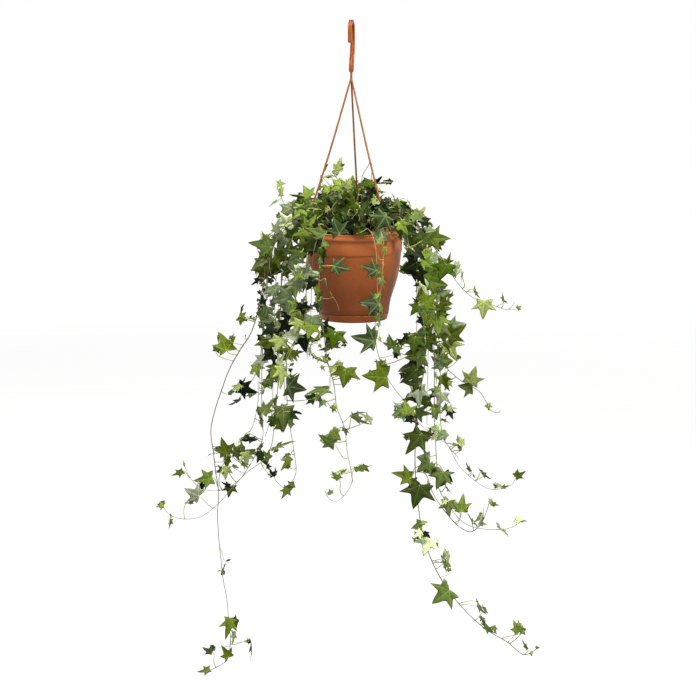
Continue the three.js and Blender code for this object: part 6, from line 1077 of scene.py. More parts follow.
# ---------------------------------------------------------------- the plant in numbers, mm
# stems: [radius at the start, radius at the end, x, y, z, x, y, z, ...]
# leaves: [where the stalk leaves the stem, foot of the blade, tip of the blade, upper side,
#          width, outline, tone]
VINES = {
    "ivy_vine_left_long": {
        "stems": [
            [1.5, 0.9, -48, -30, -320.5, -50.2, -30.8, -302.7, -71.1, -38, -286.1, -92.8, -46, -289.7, -114.5, -50.5, -316, -126.6, -52.1, -348.8, -133.4, -52, -381.5, -140, -52, -414.1, -150.4, -52.1, -447.1, -167.3, -50, -473.9, -184.2, -46, -504.5, -194.8, -42.7, -533.1, -206, -37.3, -565.9, -213.4, -31.3, -600.2, -210.2, -26.7, -634.3, -207.7, -22.7, -664.9, -203.8, -18, -697.2, -205.9, -18, -729.3, -204.9, -18, -764, -202, -18, -798.5, -198.8, -18, -833.4, -193.2, -18, -867.1, -191.3, -18.2, -898.9, -188.7, -20, -933, -195.3, -20, -963, -220.5, -20, -979.2],
        ],
        "leaves": [
            [-117.5, -50.9, -324.1, -120.2, -58.2, -320.6, -153.4, -61.8, -312.9, 0.21, -0.85, 0.49, 1, 0, 1],
            [-189.5, -20, -936.8, -156.4, -25.7, -929, -157, -36.8, -962.8, 1, -0.02, -0.01, 1, 1, 1],
            [-191.3, -18.2, -898.9, -187.8, -24.5, -894.4, -194.4, -39.6, -923.6, 0.34, -0.86, 0.37, 0.85, 1, 4],
            [-171.5, -49, -481.5, -186.8, -55.7, -472.9, -199, -49.6, -445.7, 0.39, -0.85, 0.36, 1, 0, 4],
            [-190, -19.1, -916.1, -184.1, -25, -914.9, -184.7, -32.3, -935.6, 0.86, -0.48, 0.15, 0.85, 1, 6],
            [-193.8, -20, -956.1, -191.5, -25, -955.7, -201.9, -26.8, -935.8, 0.52, -0.83, 0.19, 0.85, 0, 4],
            [-220.5, -20, -979.2, -221.6, -24.7, -974.3, -240.5, -30.1, -978.7, 0.34, -0.85, -0.41, 0.85, 0, 7],
            [-210.7, -20, -972.9, -216.6, -25.9, -947, -231.7, -27.6, -939.6, -0.13, -0.88, -0.46, 1.15, 0, 3],
            [-143.9, -52, -426.5, -164, -59.2, -415.9, -160, -63.1, -402.8, -0.88, -0.45, 0.14, 0.85, 2, 1],
            [-143.9, -52, -426.5, -163.4, -58.5, -424.1, -165, -65.1, -435.7, 0.92, -0.38, 0.08, 1, 1, 4],
            [-203.1, -18, -785.5, -192.8, -24.4, -803.4, -184.6, -22.3, -800.6, -0.24, -0.29, 0.92, 1, 2, 0],
            [-210.2, -26.7, -634.3, -213.4, -33.9, -634.6, -219.4, -34.2, -638.4, -0.52, -0.19, 0.83, 0.85, 2, 1],
            [-143.9, -52, -426.5, -151.9, -55.2, -425.4, -148.3, -53.6, -420.5, -0.53, -0.62, 0.58, 1, 2, 1],
            [-156.7, -51.3, -457.1, -158.5, -59.1, -453, -157.8, -57.7, -448.4, -0.82, -0.51, 0.28, 0.85, 2, 0],
            [-200, -18, -820.3, -202.1, -25.1, -818.2, -207.4, -25.4, -819.6, -0.25, -0.26, 0.93, 0.85, 2, 1],
            [-130.91, -52.11, -368.28, -138.93, -50.37, -367.92, -149.85, -54.99, -377.88, 0.68, -0.55, -0.49, 0.95, 0, 0],
            [-188.7, -19.99, -932.81, -159.33, -7.53, -935.73, -167.98, -9.16, -937.64, 0.14, -0.97, 0.17, 1.03, 3, 0],
            [-191.16, -18.26, -900.49, -179.81, -6.33, -900.76, -190.65, -17.86, -912.39, 0.75, -0.66, -0.04, 0.96, 0, 2],
            [-210.15, -26.62, -634.88, -180.5, -27.89, -631.83, -156.51, -35.65, -636.28, -0.32, -0.94, -0.11, 1.15, 1, 3],
            [-137.94, -51.99, -405.11, -133.58, -52.71, -405.23, -133.21, -50.7, -388.79, -0.36, -0.93, 0.12, 0.99, 1, 0],
            [-189.25, -20.11, -940.29, -216.5, -20.87, -937.59, -212.99, -18.43, -949.22, -0.29, -0.91, -0.28, 0.88, 2, 1],
            [-176.98, -47.88, -490.51, -202.47, -49.87, -475.47, -198.43, -49.06, -463.3, -0.22, -0.97, 0.14, 0.96, 0, 3],
            [-144.06, -52.17, -429.34, -167.68, -49.7, -423.66, -155.57, -45.47, -431.88, 0.45, -0.87, 0.21, 1.13, 0, 4],
            [-209.18, -25.02, -647.23, -189.65, -17.62, -643.96, -192.93, -4.85, -631.61, -0.31, -0.7, 0.64, 1.06, 1, 3],
            [-142.71, -52.1, -424.53, -138.49, -47.94, -424.82, -127.73, -59.27, -409.61, -0.72, -0.69, 0, 0.93, 0, 3],
            [-200.34, -18, -818.61, -198.62, -10.66, -817.62, -193.53, -19.93, -809.41, 0.9, 0.12, -0.42, 1.01, 0, 4],
            [-211.33, -27.9, -625.03, -199.93, -28.27, -624.32, -210.64, -26.37, -628.54, 0.05, -0.86, -0.51, 0.81, 2, 4],
            [-162.89, -50.7, -467.07, -180.76, -57.39, -455.89, -174.71, -49.91, -448.72, -0.39, -0.46, 0.8, 0.96, 1, 1],
            [-144.06, -52.17, -429.34, -148.66, -47.05, -429.25, -143.65, -50.29, -423.46, -0.73, -0.63, 0.28, 1.03, 1, 3],
            [-207.74, -22.75, -664.53, -198.06, -16.63, -663.32, -206.01, -29.36, -664.01, 0.72, -0.48, 0.5, 1, 0, 1],
            [-208.41, -23.74, -657.12, -192.97, -19.06, -656.26, -185.69, -29.31, -646.86, -0.7, -0.68, -0.2, 1.04, 2, 4],
            [-168.23, -49.82, -475.47, -201.14, -39.13, -454.5, -199.1, -34.82, -468.8, 0.98, -0.2, 0.08, 0.89, 1, 0],
            [-199.88, -18, -823.59, -197.42, -7.4, -824.25, -203.78, -3.51, -832.37, -0.41, -0.9, -0.11, 0.91, 2, 2],
            [-195.96, -42.23, -536.31, -185.85, -45.02, -540.42, -175.35, -48.37, -535.91, -0.47, -0.58, 0.67, 1.09, 2, 2],
        ],
    },
    "ivy_vine_left_02": {
        "stems": [
            [1.4, 0.7, -40, -18, -320.5, -40, -18, -306.5, -58.5, -21.6, -284, -73.9, -25, -276.7, -93.3, -30, -284, -111.2, -31.8, -307.4, -121.2, -32.2, -335.6, -127.5, -32, -369.6, -130.8, -32, -398.1, -133.1, -32, -425.8, -135.4, -32, -460.7, -136.3, -32, -496.4, -136.6, -32, -529, -137.3, -32, -564.3, -135.3, -31.9, -596.4, -137.5, -32.4, -616.9, -153.8, -35.4, -648.6, -173.3, -37.4, -675.3, -201.8, -38, -689.8, -229.2, -38, -686, -246.5, -38, -667.5, -255.1, -38, -643.6],
        ],
        "leaves": [
            [-145.4, -33.8, -632.2, -147.2, -38.7, -629.7, -177.1, -40.3, -635.4, -0.16, -0.35, 0.92, 0.85, 1, 3],
            [-201.8, -38, -689.8, -212.7, -43.5, -668.4, -239.8, -47.5, -672.8, 0.14, -0.99, 0.04, 0.85, 0, 5],
            [-136.8, -32, -572.6, -135.5, -40.4, -570.6, -116.6, -34.6, -548.6, 0.51, -0.83, -0.23, 1, 1, 7],
            [-143.3, -33.5, -628.1, -140.5, -38.3, -629.8, -127.5, -47.8, -651.3, -0.7, -0.71, -0.11, 0.85, 0, 1],
            [-198.6, -37.9, -688.1, -188.6, -46.4, -630.2, -197.2, -45.6, -606, -0.07, -1, 0.01, 1, 0, 4],
            [-137.5, -32.4, -616.9, -147.7, -39.9, -608.8, -170.9, -39.9, -612.6, 0.14, -0.53, -0.84, 1.15, 0, 0],
            [-135.4, -32, -460.7, -125.8, -37.5, -459.5, -128.9, -39.9, -485.4, 0.04, -1, 0.09, 1.15, 0, 4],
            [-136.1, -32, -487.6, -131.9, -38.3, -488.7, -152.7, -40.5, -499.5, -0.23, -0.77, 0.6, 0.85, 0, 8],
            [-156.3, -35.7, -652, -161.3, -54, -626.9, -158.5, -55.3, -651, 0.65, -0.75, 0.12, 1.15, 1, 7],
            [-149.7, -34.6, -640.5, -163.8, -49.7, -628.6, -167.9, -43.3, -608.8, 0.82, -0.48, 0.33, 0.85, 1, 3],
            [-176.8, -37.5, -677.1, -190.3, -46.2, -650.9, -191.3, -49.9, -671.4, 0.45, -0.88, 0.13, 1, 1, 7],
            [-244.4, -38, -669.8, -256.2, -44.3, -658.2, -272.7, -45.7, -665.6, 0.3, -0.8, -0.52, 0.85, 0, 5],
            [-135.1, -32, -456.3, -119.1, -37.8, -455.7, -136, -38.2, -444.4, 0.27, -0.89, 0.37, 1.15, 1, 6],
            [-184.1, -37.6, -680.8, -182.6, -44.3, -681.3, -187.2, -55.6, -696.9, -0.23, -0.75, 0.61, 1, 0, 1],
            [-158.8, -35.9, -655.4, -187.4, -42.7, -636.4, -190.2, -47.6, -651.3, 0.69, -0.71, 0.1, 1.15, 1, 2],
            [-184.1, -37.6, -680.8, -184.2, -53, -678.3, -199.1, -51.5, -672.6, -0.31, -0.74, -0.6, 1.15, 1, 0],
            [-136.5, -32, -520.8, -126.3, -37.2, -520.5, -120.9, -45, -533.4, 0.37, -0.72, 0.59, 1.15, 0, 3],
            [-163.7, -36.4, -662.2, -180.9, -40.9, -649.5, -170.6, -40.4, -654.6, -0.24, -0.79, -0.57, 1.15, 2, 7],
            [-136.8, -32, -537.8, -133.2, -35.7, -536.7, -137.5, -39.6, -545, 0.89, -0.33, -0.31, 1.15, 2, 6],
            [-131.7, -32, -408.4, -139.5, -36.7, -405.9, -133.6, -37, -414.8, -0.47, -0.84, -0.28, 1.15, 1, 0],
            [-251.8, -38, -652.6, -253.3, -42.5, -651, -254.9, -40, -643.2, 0.84, -0.43, 0.31, 1, 2, 7],
            [-116.1, -32, -321.3, -125.4, -27.5, -318.7, -144.1, -25.1, -327.1, -0.39, -0.61, 0.69, 1, 3, 4],
            [-79.76, -26.53, -277.39, -85.06, -23.74, -265.15, -81.48, -12.22, -253.28, -0.15, -0.69, 0.71, 1.05, 3, 3],
            [-136.29, -32.16, -611.7, -160.06, -22.52, -607.74, -171.16, -19.2, -620.46, 0.6, -0.47, -0.65, 1.09, 0, 5],
            [-123.39, -32.18, -345.06, -135.69, -37.99, -342.14, -151.47, -32.87, -356.19, -0.66, -0.49, 0.57, 0.82, 0, 4],
            [-136.66, -32, -531.84, -135.45, -20.29, -531.89, -119.92, -8.37, -533.76, 0.31, -0.26, 0.92, 0.97, 0, 5],
            [-231.43, -38, -684.61, -230.72, -41.13, -682.55, -218.88, -32.47, -681.71, 0.59, -0.81, 0.07, 0.92, 0, 0],
            [-155.77, -35.67, -651.83, -167.01, -42.43, -645.17, -156.71, -34.26, -656.24, 0.77, -0.14, 0.62, 0.98, 0, 5],
            [-109.83, -31.71, -304.97, -114.49, -31.59, -301.43, -107.96, -29.28, -278.85, -0.63, -0.73, 0.26, 1.01, 1, 6],
            [-129.14, -31.99, -382.11, -131.11, -33.8, -381.24, -139.46, -28.84, -374.88, 0.11, -0.71, 0.7, 1.03, 1, 7],
            [-141.04, -33.11, -625.84, -142.66, -16.48, -626.48, -149.35, -5.1, -644.7, 0.84, -0.27, -0.47, 1.01, 0, 0],
            [-136.5, -31.93, -576.8, -138.04, -33.26, -576.82, -142.88, -18.51, -580.58, -0.93, -0.34, -0.13, 1.15, 0, 1],
        ],
    },
    "ivy_vine_left_03": {
        "stems": [
            [1.4, 0.8, -30, -36, -320.5, -30, -36, -306.5, -49.5, -44.4, -280.3, -63.8, -52, -273.6, -80.9, -63.6, -291.2, -93.7, -68, -320.9, -101.5, -68.3, -351.3, -106, -67.7, -386.8, -107.1, -67.2, -416.8, -108.2, -66.7, -444.3, -109.3, -66, -478.5, -110.4, -65.4, -509.5, -113.1, -64.1, -544.9, -117, -64, -580.1, -121.4, -63.2, -614.3, -131.6, -61.4, -635.6, -158, -58.8, -656.4, -181.1, -57.5, -681.4, -203, -56, -706.7, -230.1, -55, -726.3, -259.3, -54, -728.9, -276.2, -54, -721.7, -284.5, -54, -710.3],
        ],
        "leaves": [
            [-124, -62.7, -619.8, -119.7, -69.5, -619.5, -85.8, -66.8, -605.8, -0.37, -0.09, 0.93, 0.85, 1, 4],
            [-114.6, -64.1, -558.1, -103.2, -67.4, -558.2, -102.3, -78.1, -592.1, 0.24, -0.92, 0.3, 1, 0, 3],
            [-106.1, -67.6, -390.7, -90.4, -72, -391.2, -120.3, -69.6, -400.4, -0.05, -0.99, -0.12, 1.15, 0, 6],
            [-209.9, -55.7, -711.7, -230.2, -61.9, -692.1, -251.7, -65.1, -679.8, 0.04, -0.98, -0.18, 1.15, 0, 8],
            [-107.5, -67, -427.1, -96.3, -73.5, -428.5, -111.5, -81.2, -444.2, 0.49, -0.87, -0.04, 1, 0, 0],
            [-109.8, -65.7, -494, -110, -70.3, -494.1, -123.1, -74.9, -513.4, -0.33, -0.84, 0.43, 1.15, 0, 5],
            [-109, -66.2, -470, -90.7, -73.2, -469.1, -103.3, -73, -487, 0.08, -0.99, -0.07, 1.15, 0, 4],
            [-115.1, -64, -562.5, -93.5, -71.9, -561.8, -75, -75.6, -564.4, 0.11, -0.17, 0.98, 1.15, 2, 0],
            [-270.3, -54, -724.2, -272.3, -59.5, -728, -275.3, -62.7, -744.1, 0.87, -0.49, -0.06, 0.85, 1, 3],
            [-116, -64, -571.3, -118.2, -79.3, -567.7, -115.9, -85.1, -582.2, -0.62, -0.76, 0.2, 1.15, 0, 2],
            [-284.5, -54, -710.3, -283.6, -62.3, -705.8, -293.2, -70, -706.8, 0.61, -0.78, 0.14, 0.85, 0, 5],
            [-272.3, -54, -723.3, -272.9, -60.8, -724.6, -272.1, -60.4, -717.8, -0.82, -0.56, 0.13, 1.15, 2, 5],
            [-104.9, -67.8, -378.1, -114.7, -66.8, -381.9, -133.3, -73.9, -385.8, 0.06, -0.6, 0.79, 1, 3, 6],
            [-107.9, -66.8, -437.2, -115.8, -70.5, -437.3, -136.4, -71, -449, -0.25, -0.84, 0.48, 1, 3, 0],
            [-109.28, -66.01, -477.95, -116.8, -65.55, -477.26, -134.85, -78.08, -485.15, 0.3, -0.78, 0.55, 1.04, 0, 0],
            [-138.19, -60.65, -641.79, -119.91, -60.09, -663.11, -125.14, -63.94, -648.57, 0.12, -0.97, -0.21, 0.81, 1, 0],
            [-88.95, -66.86, -307.73, -88.82, -64.98, -307.41, -78.78, -67.69, -285.53, -0.44, -0.89, 0.09, 1.14, 0, 1],
            [-251.26, -54.22, -729.52, -250.11, -41.36, -708.54, -238.5, -54.18, -700.2, 0.11, -0.47, -0.87, 1.15, 2, 3],
            [-96.22, -68.37, -328.96, -94.02, -73.11, -328.68, -92.01, -60.11, -308.14, -0.46, -0.73, 0.51, 1.14, 0, 1],
            [-114.41, -64.01, -557.72, -106.95, -54.83, -559.01, -94.99, -46.99, -555.1, -0.17, -0.22, 0.96, 0.93, 0, 7],
            [-102.29, -68.26, -355.76, -102.59, -68.91, -354.73, -85.69, -67.13, -354.97, 0.1, -0.99, 0.01, 1.09, 0, 1],
            [-128.25, -61.89, -630.76, -124.88, -65.45, -634.51, -135.41, -53.27, -623.97, -0.71, -0.7, 0.1, 0.96, 0, 3],
            [-136.26, -60.86, -640.21, -129.02, -56.98, -647.96, -120.88, -57.79, -648.17, -0.09, -0.94, 0.33, 1.11, 3, 1],
            [-109.04, -66.16, -470.45, -109.25, -63.64, -470.4, -102.55, -59.12, -480.31, 0.39, -0.91, -0.15, 1.05, 0, 1],
            [-284.06, -54, -710.96, -282.1, -52.27, -703.23, -293.38, -57.07, -707.11, 0.46, -0.83, -0.3, 0.96, 2, 2],
            [-89.85, -67.11, -310.05, -79.9, -60.23, -314.67, -71.82, -67.55, -330.81, 0.6, -0.58, 0.56, 0.8, 2, 4],
            [-123.06, -62.88, -619.46, -112.56, -54.77, -622.01, -119.87, -52.92, -629.03, 0.11, -0.93, -0.36, 0.86, 2, 4],
        ],
    },
    "ivy_vine_left_04": {
        "stems": [
            [1.3, 0.8, -38, 6, -320.5, -40.8, 5.6, -300.5, -62.6, 2.5, -272.8, -70.9, 1, -271.4, -87.8, -3.1, -295.3, -93.4, -5.5, -323.3, -96.1, -6.9, -349.9, -97.2, -7.8, -380.4, -98.3, -8.4, -410.5, -99.2, -8.8, -440.6, -99.9, -9.3, -471.1, -100.4, -9.8, -501.6, -100.5, -10.5, -534.7, -99.1, -11.3, -570.1, -94.7, -12.3, -603.5, -90, -13.6, -634.2, -87.2, -14, -669.4, -96.6, -14, -686.3, -103.7, -14, -692.8],
        ],
        "leaves": [
            [-100.5, -10.5, -534.7, -98.1, -18.6, -533.9, -69.6, -21.3, -539.5, -0.05, -0.97, 0.23, 1.15, 0, 10],
            [-99.6, -9.1, -459.7, -75.3, -17.2, -457.6, -70.4, -22.7, -483.9, -0.19, -0.97, 0.17, 1.15, 0, 0],
            [-90, -13.6, -634.2, -95.9, -19.9, -642.5, -108.9, -31.1, -662.3, 0.63, -0.77, 0.02, 0.85, 1, 5],
            [-102, -14, -691.2, -99.7, -18, -691, -108.9, -19.6, -708.5, 0.44, -0.89, -0.15, 0.85, 0, 5],
            [-100.1, -9.5, -486.3, -89.7, -16.2, -485, -73.2, -16, -481.2, -0.2, -0.4, 0.89, 1, 0, 3],
            [-98.5, -8.5, -418, -68.2, -28.3, -415.3, -54.9, -24.8, -406.1, 0.58, -0.48, -0.66, 1, 0, 0],
            [-103.7, -14, -692.8, -119.3, -17.8, -670.1, -117.7, -16.9, -657.2, 0.84, -0.53, -0.07, 0.85, 0, 3],
            [-95.6, -14, -684.5, -95.8, -21.2, -684.8, -87.8, -23.2, -687.4, -0.02, -0.82, 0.57, 1.15, 2, 5],
            [-95.6, -14, -684.5, -98.1, -20.5, -681.1, -96.9, -20.2, -678.8, -0.58, -0.7, 0.41, 1, 2, 5],
            [-60.7, 2.8, -275.2, -64.1, 2.4, -267, -83.6, 4.4, -253.8, -0.02, -0.99, 0.12, 1, 3, 4],
            [-97.5, -8, -387.9, -106.3, -4.2, -397.1, -116.8, 1.6, -414.3, -0.81, -0.49, 0.33, 1, 3, 1],
            [-100.57, -10.38, -529.42, -98.61, -0.47, -529.99, -83.9, -4.74, -515.63, -0.7, -0.39, 0.6, 0.91, 3, 3],
            [-98.67, -8.56, -421.95, -113.94, -13.24, -422.46, -109.62, -0.58, -440.94, 0.83, -0.53, -0.17, 0.98, 1, 3],
            [-97.72, -8.11, -394.47, -90.29, -5.03, -394.87, -106.98, -12.83, -382.97, 0.64, -0.52, 0.56, 0.94, 0, 3],
            [-99.91, -10.98, -556.9, -58.23, -15.48, -555.08, -74.79, -3.47, -551.41, -0.41, -0.73, 0.55, 1.01, 3, 2],
            [-98.82, -8.62, -426.95, -92.72, -18.22, -426.12, -110.55, -2.93, -432.34, -0.5, -0.76, -0.42, 0.85, 1, 0],
            [-100.48, -9.95, -509.42, -113.67, -20.22, -509.79, -131.82, -30.73, -525.16, 0.34, -0.91, 0.22, 1.11, 2, 3],
            [-86.68, -13.95, -660.95, -97.11, -14.95, -660.23, -106.21, -11.97, -654.75, -0.32, -0.95, -0.01, 1.06, 2, 4],
            [-95.7, -12.07, -596.64, -97.14, -15.06, -595.84, -91.59, 4.37, -582.28, 0.82, -0.46, 0.33, 0.87, 2, 3],
            [-94.76, -14, -683.94, -89.8, -9.16, -687.86, -105.65, -11.49, -692.63, 0.24, -0.91, -0.35, 1.15, 1, 4],
            [-89.39, -13.7, -638.63, -95.92, -9.23, -640.3, -108.38, -11.03, -646.92, -0.36, -0.48, 0.8, 0.85, 2, 6],
            [-100.4, -9.81, -501.92, -89.55, -9.22, -501.02, -96.87, -11.41, -506.1, -0.33, -0.6, 0.73, 0.95, 2, 3],
        ],
    },
    "ivy_vine_left_05": {
        "stems": [
            [1.5, 0.9, -28, -46, -320.5, -28, -46, -306.5, -46.7, -62.6, -286.9, -55.3, -71.3, -290.4, -65.6, -82.4, -318.9, -68.5, -84.3, -350.8, -68.7, -84.1, -380.5, -71.1, -84, -413.4, -81.5, -84, -447.6, -95, -84, -477.4, -108.2, -84, -501.9, -108.9, -84, -524.3],
            [0.95, 0.8, -68.7, -84.1, -380.5, -69.5, -77.3, -367.8, -68.6, -77.3, -395.6, -69.4, -78, -417.5, -79.5, -78.6, -440.9, -89, -77.9, -461.2, -98.7, -76.7, -478.1],
        ],
        "leaves": [
            [-103.5, -84, -493.2, -106.3, -89.5, -491.4, -105.5, -98.5, -524.5, 0.79, -0.59, 0.18, 1.15, 1, 7],
            [-61.5, -78, -307.5, -60, -85.7, -305.9, -74.3, -84.2, -337.9, 0.39, -0.89, -0.22, 1.15, 1, 1],
            [-68.6, -84.2, -361.9, -70.9, -89.2, -361.2, -100.5, -90.9, -371.9, -0.01, -0.98, 0.17, 1.15, 1, 6],
            [-58.7, -74.9, -299.7, -68.7, -79, -294.4, -77.3, -88.1, -322.4, 0.29, -0.93, 0.21, 1.15, 1, 4],
            [-60.1, -76.4, -303.5, -53.8, -71.7, -304.5, -61.7, -80.8, -332.6, 0.44, -0.88, 0.16, 1.15, 1, 0],
            [-68.5, -84.3, -354.5, -77.3, -91.9, -355.5, -49.4, -88.5, -357.7, 0.14, -0.85, 0.51, 1.15, 1, 6],
            [-72.4, -84, -417.6, -60.3, -88.3, -418.1, -61.8, -93.5, -443.7, 0.02, -0.98, 0.2, 1.15, 0, 6],
            [-57.4, -73.6, -296.2, -69.4, -80.1, -291.4, -52.9, -77.5, -271.5, 0.33, -0.93, -0.15, 1.15, 1, 5],
            [-68.6, -84.2, -369.3, -82.7, -83.7, -369.2, -84.9, -84.3, -395.3, -0.53, -0.85, 0.07, 1.15, 1, 7],
            [-75, -84, -426.1, -78.2, -96.2, -422, -88.3, -99.9, -444.1, 0.31, -0.95, 0.02, 1.15, 1, 7],
            [-86.6, -84, -459, -106.8, -89.9, -450.1, -113.9, -96.7, -470.3, 0.28, -0.94, 0.22, 1.15, 0, 7],
            [-70.5, -84, -405.1, -79.7, -91, -400.9, -94.7, -98, -413, 0.21, -0.93, 0.29, 1.15, 0, 5],
            [-72.4, -84, -417.6, -52.5, -84.6, -421.6, -55.4, -84.7, -442.1, -0.47, -0.88, 0.07, 1.15, 1, 5],
            [-70.2, -84, -400.9, -74.6, -91.7, -398.7, -72.4, -95.5, -416.3, 0.48, -0.84, 0.24, 1.15, 0, 0],
            [-64.3, -81, -315.3, -75.6, -91.7, -324, -93.7, -109.3, -335.5, 0.05, -0.58, 0.81, 1, 3, 1],
            [-67.8, -83.8, -342.9, -77.1, -95.1, -355, -87.6, -108.6, -365.6, -0.08, -0.58, 0.81, 1, 3, 3],
            [-71.16, -84, -413.69, -83.4, -81.29, -411.22, -69.91, -88.8, -430.55, 0.07, -0.91, 0.4, 1.14, 0, 7],
            [-68.41, -84.27, -348.82, -83.98, -83.9, -349.03, -71.45, -73.93, -348.78, 0.59, -0.75, 0.28, 0.87, 3, 9],
            [-68.67, -84.38, -358.82, -65.38, -85.23, -359.58, -45.99, -75.36, -354.23, 0.19, -0.73, 0.66, 0.98, 3, 8],
            [-84.11, -84, -454.1, -92.21, -81.68, -449.94, -78.44, -65.9, -434.53, -0.03, -0.69, 0.73, 1.07, 0, 8],
            [-70.07, -84.01, -406.27, -54.23, -77.57, -409.23, -48.52, -92.82, -397.56, -0.86, -0.47, -0.2, 1.15, 2, 1],
            [-103.57, -84, -491.81, -108, -79.14, -490.03, -99.68, -81.52, -472.46, -0.77, -0.56, 0.29, 1.07, 0, 9],
            [-95.85, -84, -478.96, -88.33, -84.35, -484.34, -93.73, -83.38, -473.79, -0.55, -0.81, -0.21, 0.88, 2, 7],
            [-69.59, -84.02, -401.29, -54.15, -71, -403.38, -46.27, -65.61, -390.34, 0.52, -0.86, 0.04, 1.05, 1, 7],
            [-69.43, -84.03, -398.8, -74.42, -82.7, -398.42, -69.75, -75.22, -387.45, -0.63, -0.49, 0.6, 0.91, 1, 5],
        ],
    },
    "ivy_vine_left_06": {
        "stems": [
            [1.3, 0.8, -54, 14, -320.5, -54, 14, -306.5, -75.9, 14, -280.9, -88.7, 14, -274.8, -102.7, 14, -283.5, -119.5, 14.1, -314.5, -125, 14, -348.2, -128.6, 13.1, -377.8, -131.4, 12, -408.4, -134.7, 11, -439, -137.8, 10, -468.9, -140.7, 8.7, -501.9, -142.5, 7.3, -531.4, -144.8, 5.9, -565.6, -152, 6, -598, -157, 6, -609],
        ],
        "leaves": [
            [-125.5, 13.9, -352, -122.5, 7.6, -352, -152.2, 0.6, -361.6, 0.29, -0.94, -0.21, 1.15, 0, 4],
            [-126.4, 13.7, -359.4, -132, 2.4, -357.3, -139.2, -8, -383.1, 0.43, -0.87, 0.23, 1.15, 0, 4],
            [-137, 10.3, -461.3, -142.1, 7.1, -460.8, -139, 1, -479.6, 0.81, -0.5, 0.3, 0.85, 1, 0],
            [-132.6, 11.6, -419.9, -128.2, 7, -418.3, -136.6, 7, -436.5, 0.03, -1, -0.01, 1.15, 0, 6],
            [-128.9, 13, -381.6, -122, 8.6, -380.7, -130.9, 8.1, -371.6, 0.45, -0.8, 0.4, 0.85, 0, 3],
            [-145.7, 5.9, -569.8, -141.8, -1.7, -569.5, -144.1, -4.7, -581.9, -0.56, -0.78, 0.29, 1.15, 2, 3],
            [-130.3, 12.4, -396.9, -142.3, 7.8, -394.2, -138.6, 7.2, -401.6, 0.62, -0.69, 0.37, 1, 0, 1],
            [-131.4, 12, -408.4, -143, 3.5, -409.4, -144.5, 3.7, -404.9, -0.4, -0.91, -0.11, 0.85, 2, 0],
            [-120.9, 14.1, -322.9, -127.8, 24.4, -316.7, -146.8, 35, -328.9, -0.65, -0.5, 0.58, 1, 3, 1],
            [-125.9, 13.8, -355.7, -140.1, 26.4, -359.6, -150.9, 38.6, -374.2, -0.87, -0.33, 0.37, 1, 3, 3],
            [-135.45, 10.77, -446.02, -140.48, 8.51, -445.04, -132.32, 14.11, -455.46, -0.13, -0.83, -0.54, 0.91, 1, 3],
            [-149.71, 5.94, -590.03, -141.85, 4.52, -593.29, -137.08, 8.46, -607.16, 0.93, -0.27, 0.24, 0.92, 3, 7],
            [-107.6, 14.02, -289.95, -113.14, 13.87, -284.92, -110.78, 14.27, -275.37, 0.29, -0.95, -0.03, 0.93, 2, 3],
            [-156.83, 6, -608.65, -171.07, -0.07, -628.94, -173.77, 16.79, -619.92, -0.65, -0.44, 0.62, 0.95, 2, 9],
            [-142.96, 6.87, -540.62, -136.22, 8.2, -541.68, -143.81, 5.16, -554.37, 0.8, -0.49, -0.36, 0.8, 0, 9],
        ],
    },
    "ivy_vine_left_07": {
        "stems": [
            [1.3, 0.8, -50, -4, -320.5, -50, -4, -306.5, -64.9, -5.4, -283.9, -85.1, -8, -268.3, -102.8, -12.2, -279, -117.6, -15.4, -307.4, -123.7, -16.1, -339.1, -126.8, -16.1, -369.4, -129.4, -16, -398.4, -132.6, -16, -433.6, -135, -16, -463.3, -137.5, -16, -495.9, -144.9, -16, -513.5, -160.9, -16, -539.8, -170.2, -16, -551.2],
            [0.8, 0.66, -123.7, -16.1, -339.1, -121.6, -75.2, -349.2, -119.5, -74.2, -361, -118.4, -75.6, -378.3],
            [0.8, 0.66, -119.5, -74.2, -361, -103.8, -73.9, -352.2, -104.3, -75.3, -363.7, -106, -75.9, -378.2],
            [0.8, 0.66, -106, -75.9, -378.2, -109.5, -71.1, -405.3, -111.5, -73.3, -416.7, -114.3, -72.3, -430.1],
        ],
        "leaves": [
            [-163.5, -16, -542.9, -169.7, -21.3, -534.2, -142.1, -22.7, -543.8, -0.11, -0.98, -0.19, 0.85, 0, 0],
            [-132.9, -16, -437.4, -115.3, -19.6, -435.4, -130.4, -19.7, -461.7, -0.08, -1, 0.05, 1.15, 0, 6],
            [-104.4, -12.5, -282.1, -92.2, -20, -288.6, -119.5, -19.8, -293.8, 0.07, -0.92, -0.38, 1.15, 0, 9],
            [-115.7, -15, -303.8, -100.4, -19, -308.7, -113.9, -18.9, -330.9, -0.2, -0.97, 0.12, 1.15, 0, 6],
            [-160.9, -16, -539.8, -168.5, -29, -530.4, -186.8, -35.5, -542.8, -0.38, -0.46, 0.8, 1, 1, 7],
            [-170.2, -16, -551.2, -169, -24.2, -551.9, -187.7, -26.2, -562.9, 0.5, -0.4, -0.77, 1.15, 1, 1],
            [-157.2, -16, -533.8, -167, -15.5, -528.4, -160.4, -12, -520.7, 0.77, -0.44, -0.46, 1, 2, 7],
            [-146.8, -16, -516.5, -150, -23, -513.3, -155.3, -22, -511.2, 0.04, -0.84, 0.54, 1.15, 0, 5],
            [-113.8, -14.6, -300.2, -124.3, -28.7, -307.7, -138, -38.2, -325.6, -0.62, -0.39, 0.68, 1, 3, 4],
            [-123.7, -16.1, -339.1, -130.7, -21.9, -346.2, -152.6, -28.9, -359.7, -0.43, -0.3, 0.85, 1, 3, 4],
            [-123.5, -16.09, -337.71, -117.28, -8.86, -339.04, -93.13, -1.43, -345.14, 0.3, -0.96, 0.01, 1.1, 0, 4],
            [-141.29, -16, -506.35, -145.78, -11.97, -503.1, -140.96, -23.16, -521.24, -0.28, -0.85, 0.45, 0.88, 0, 5],
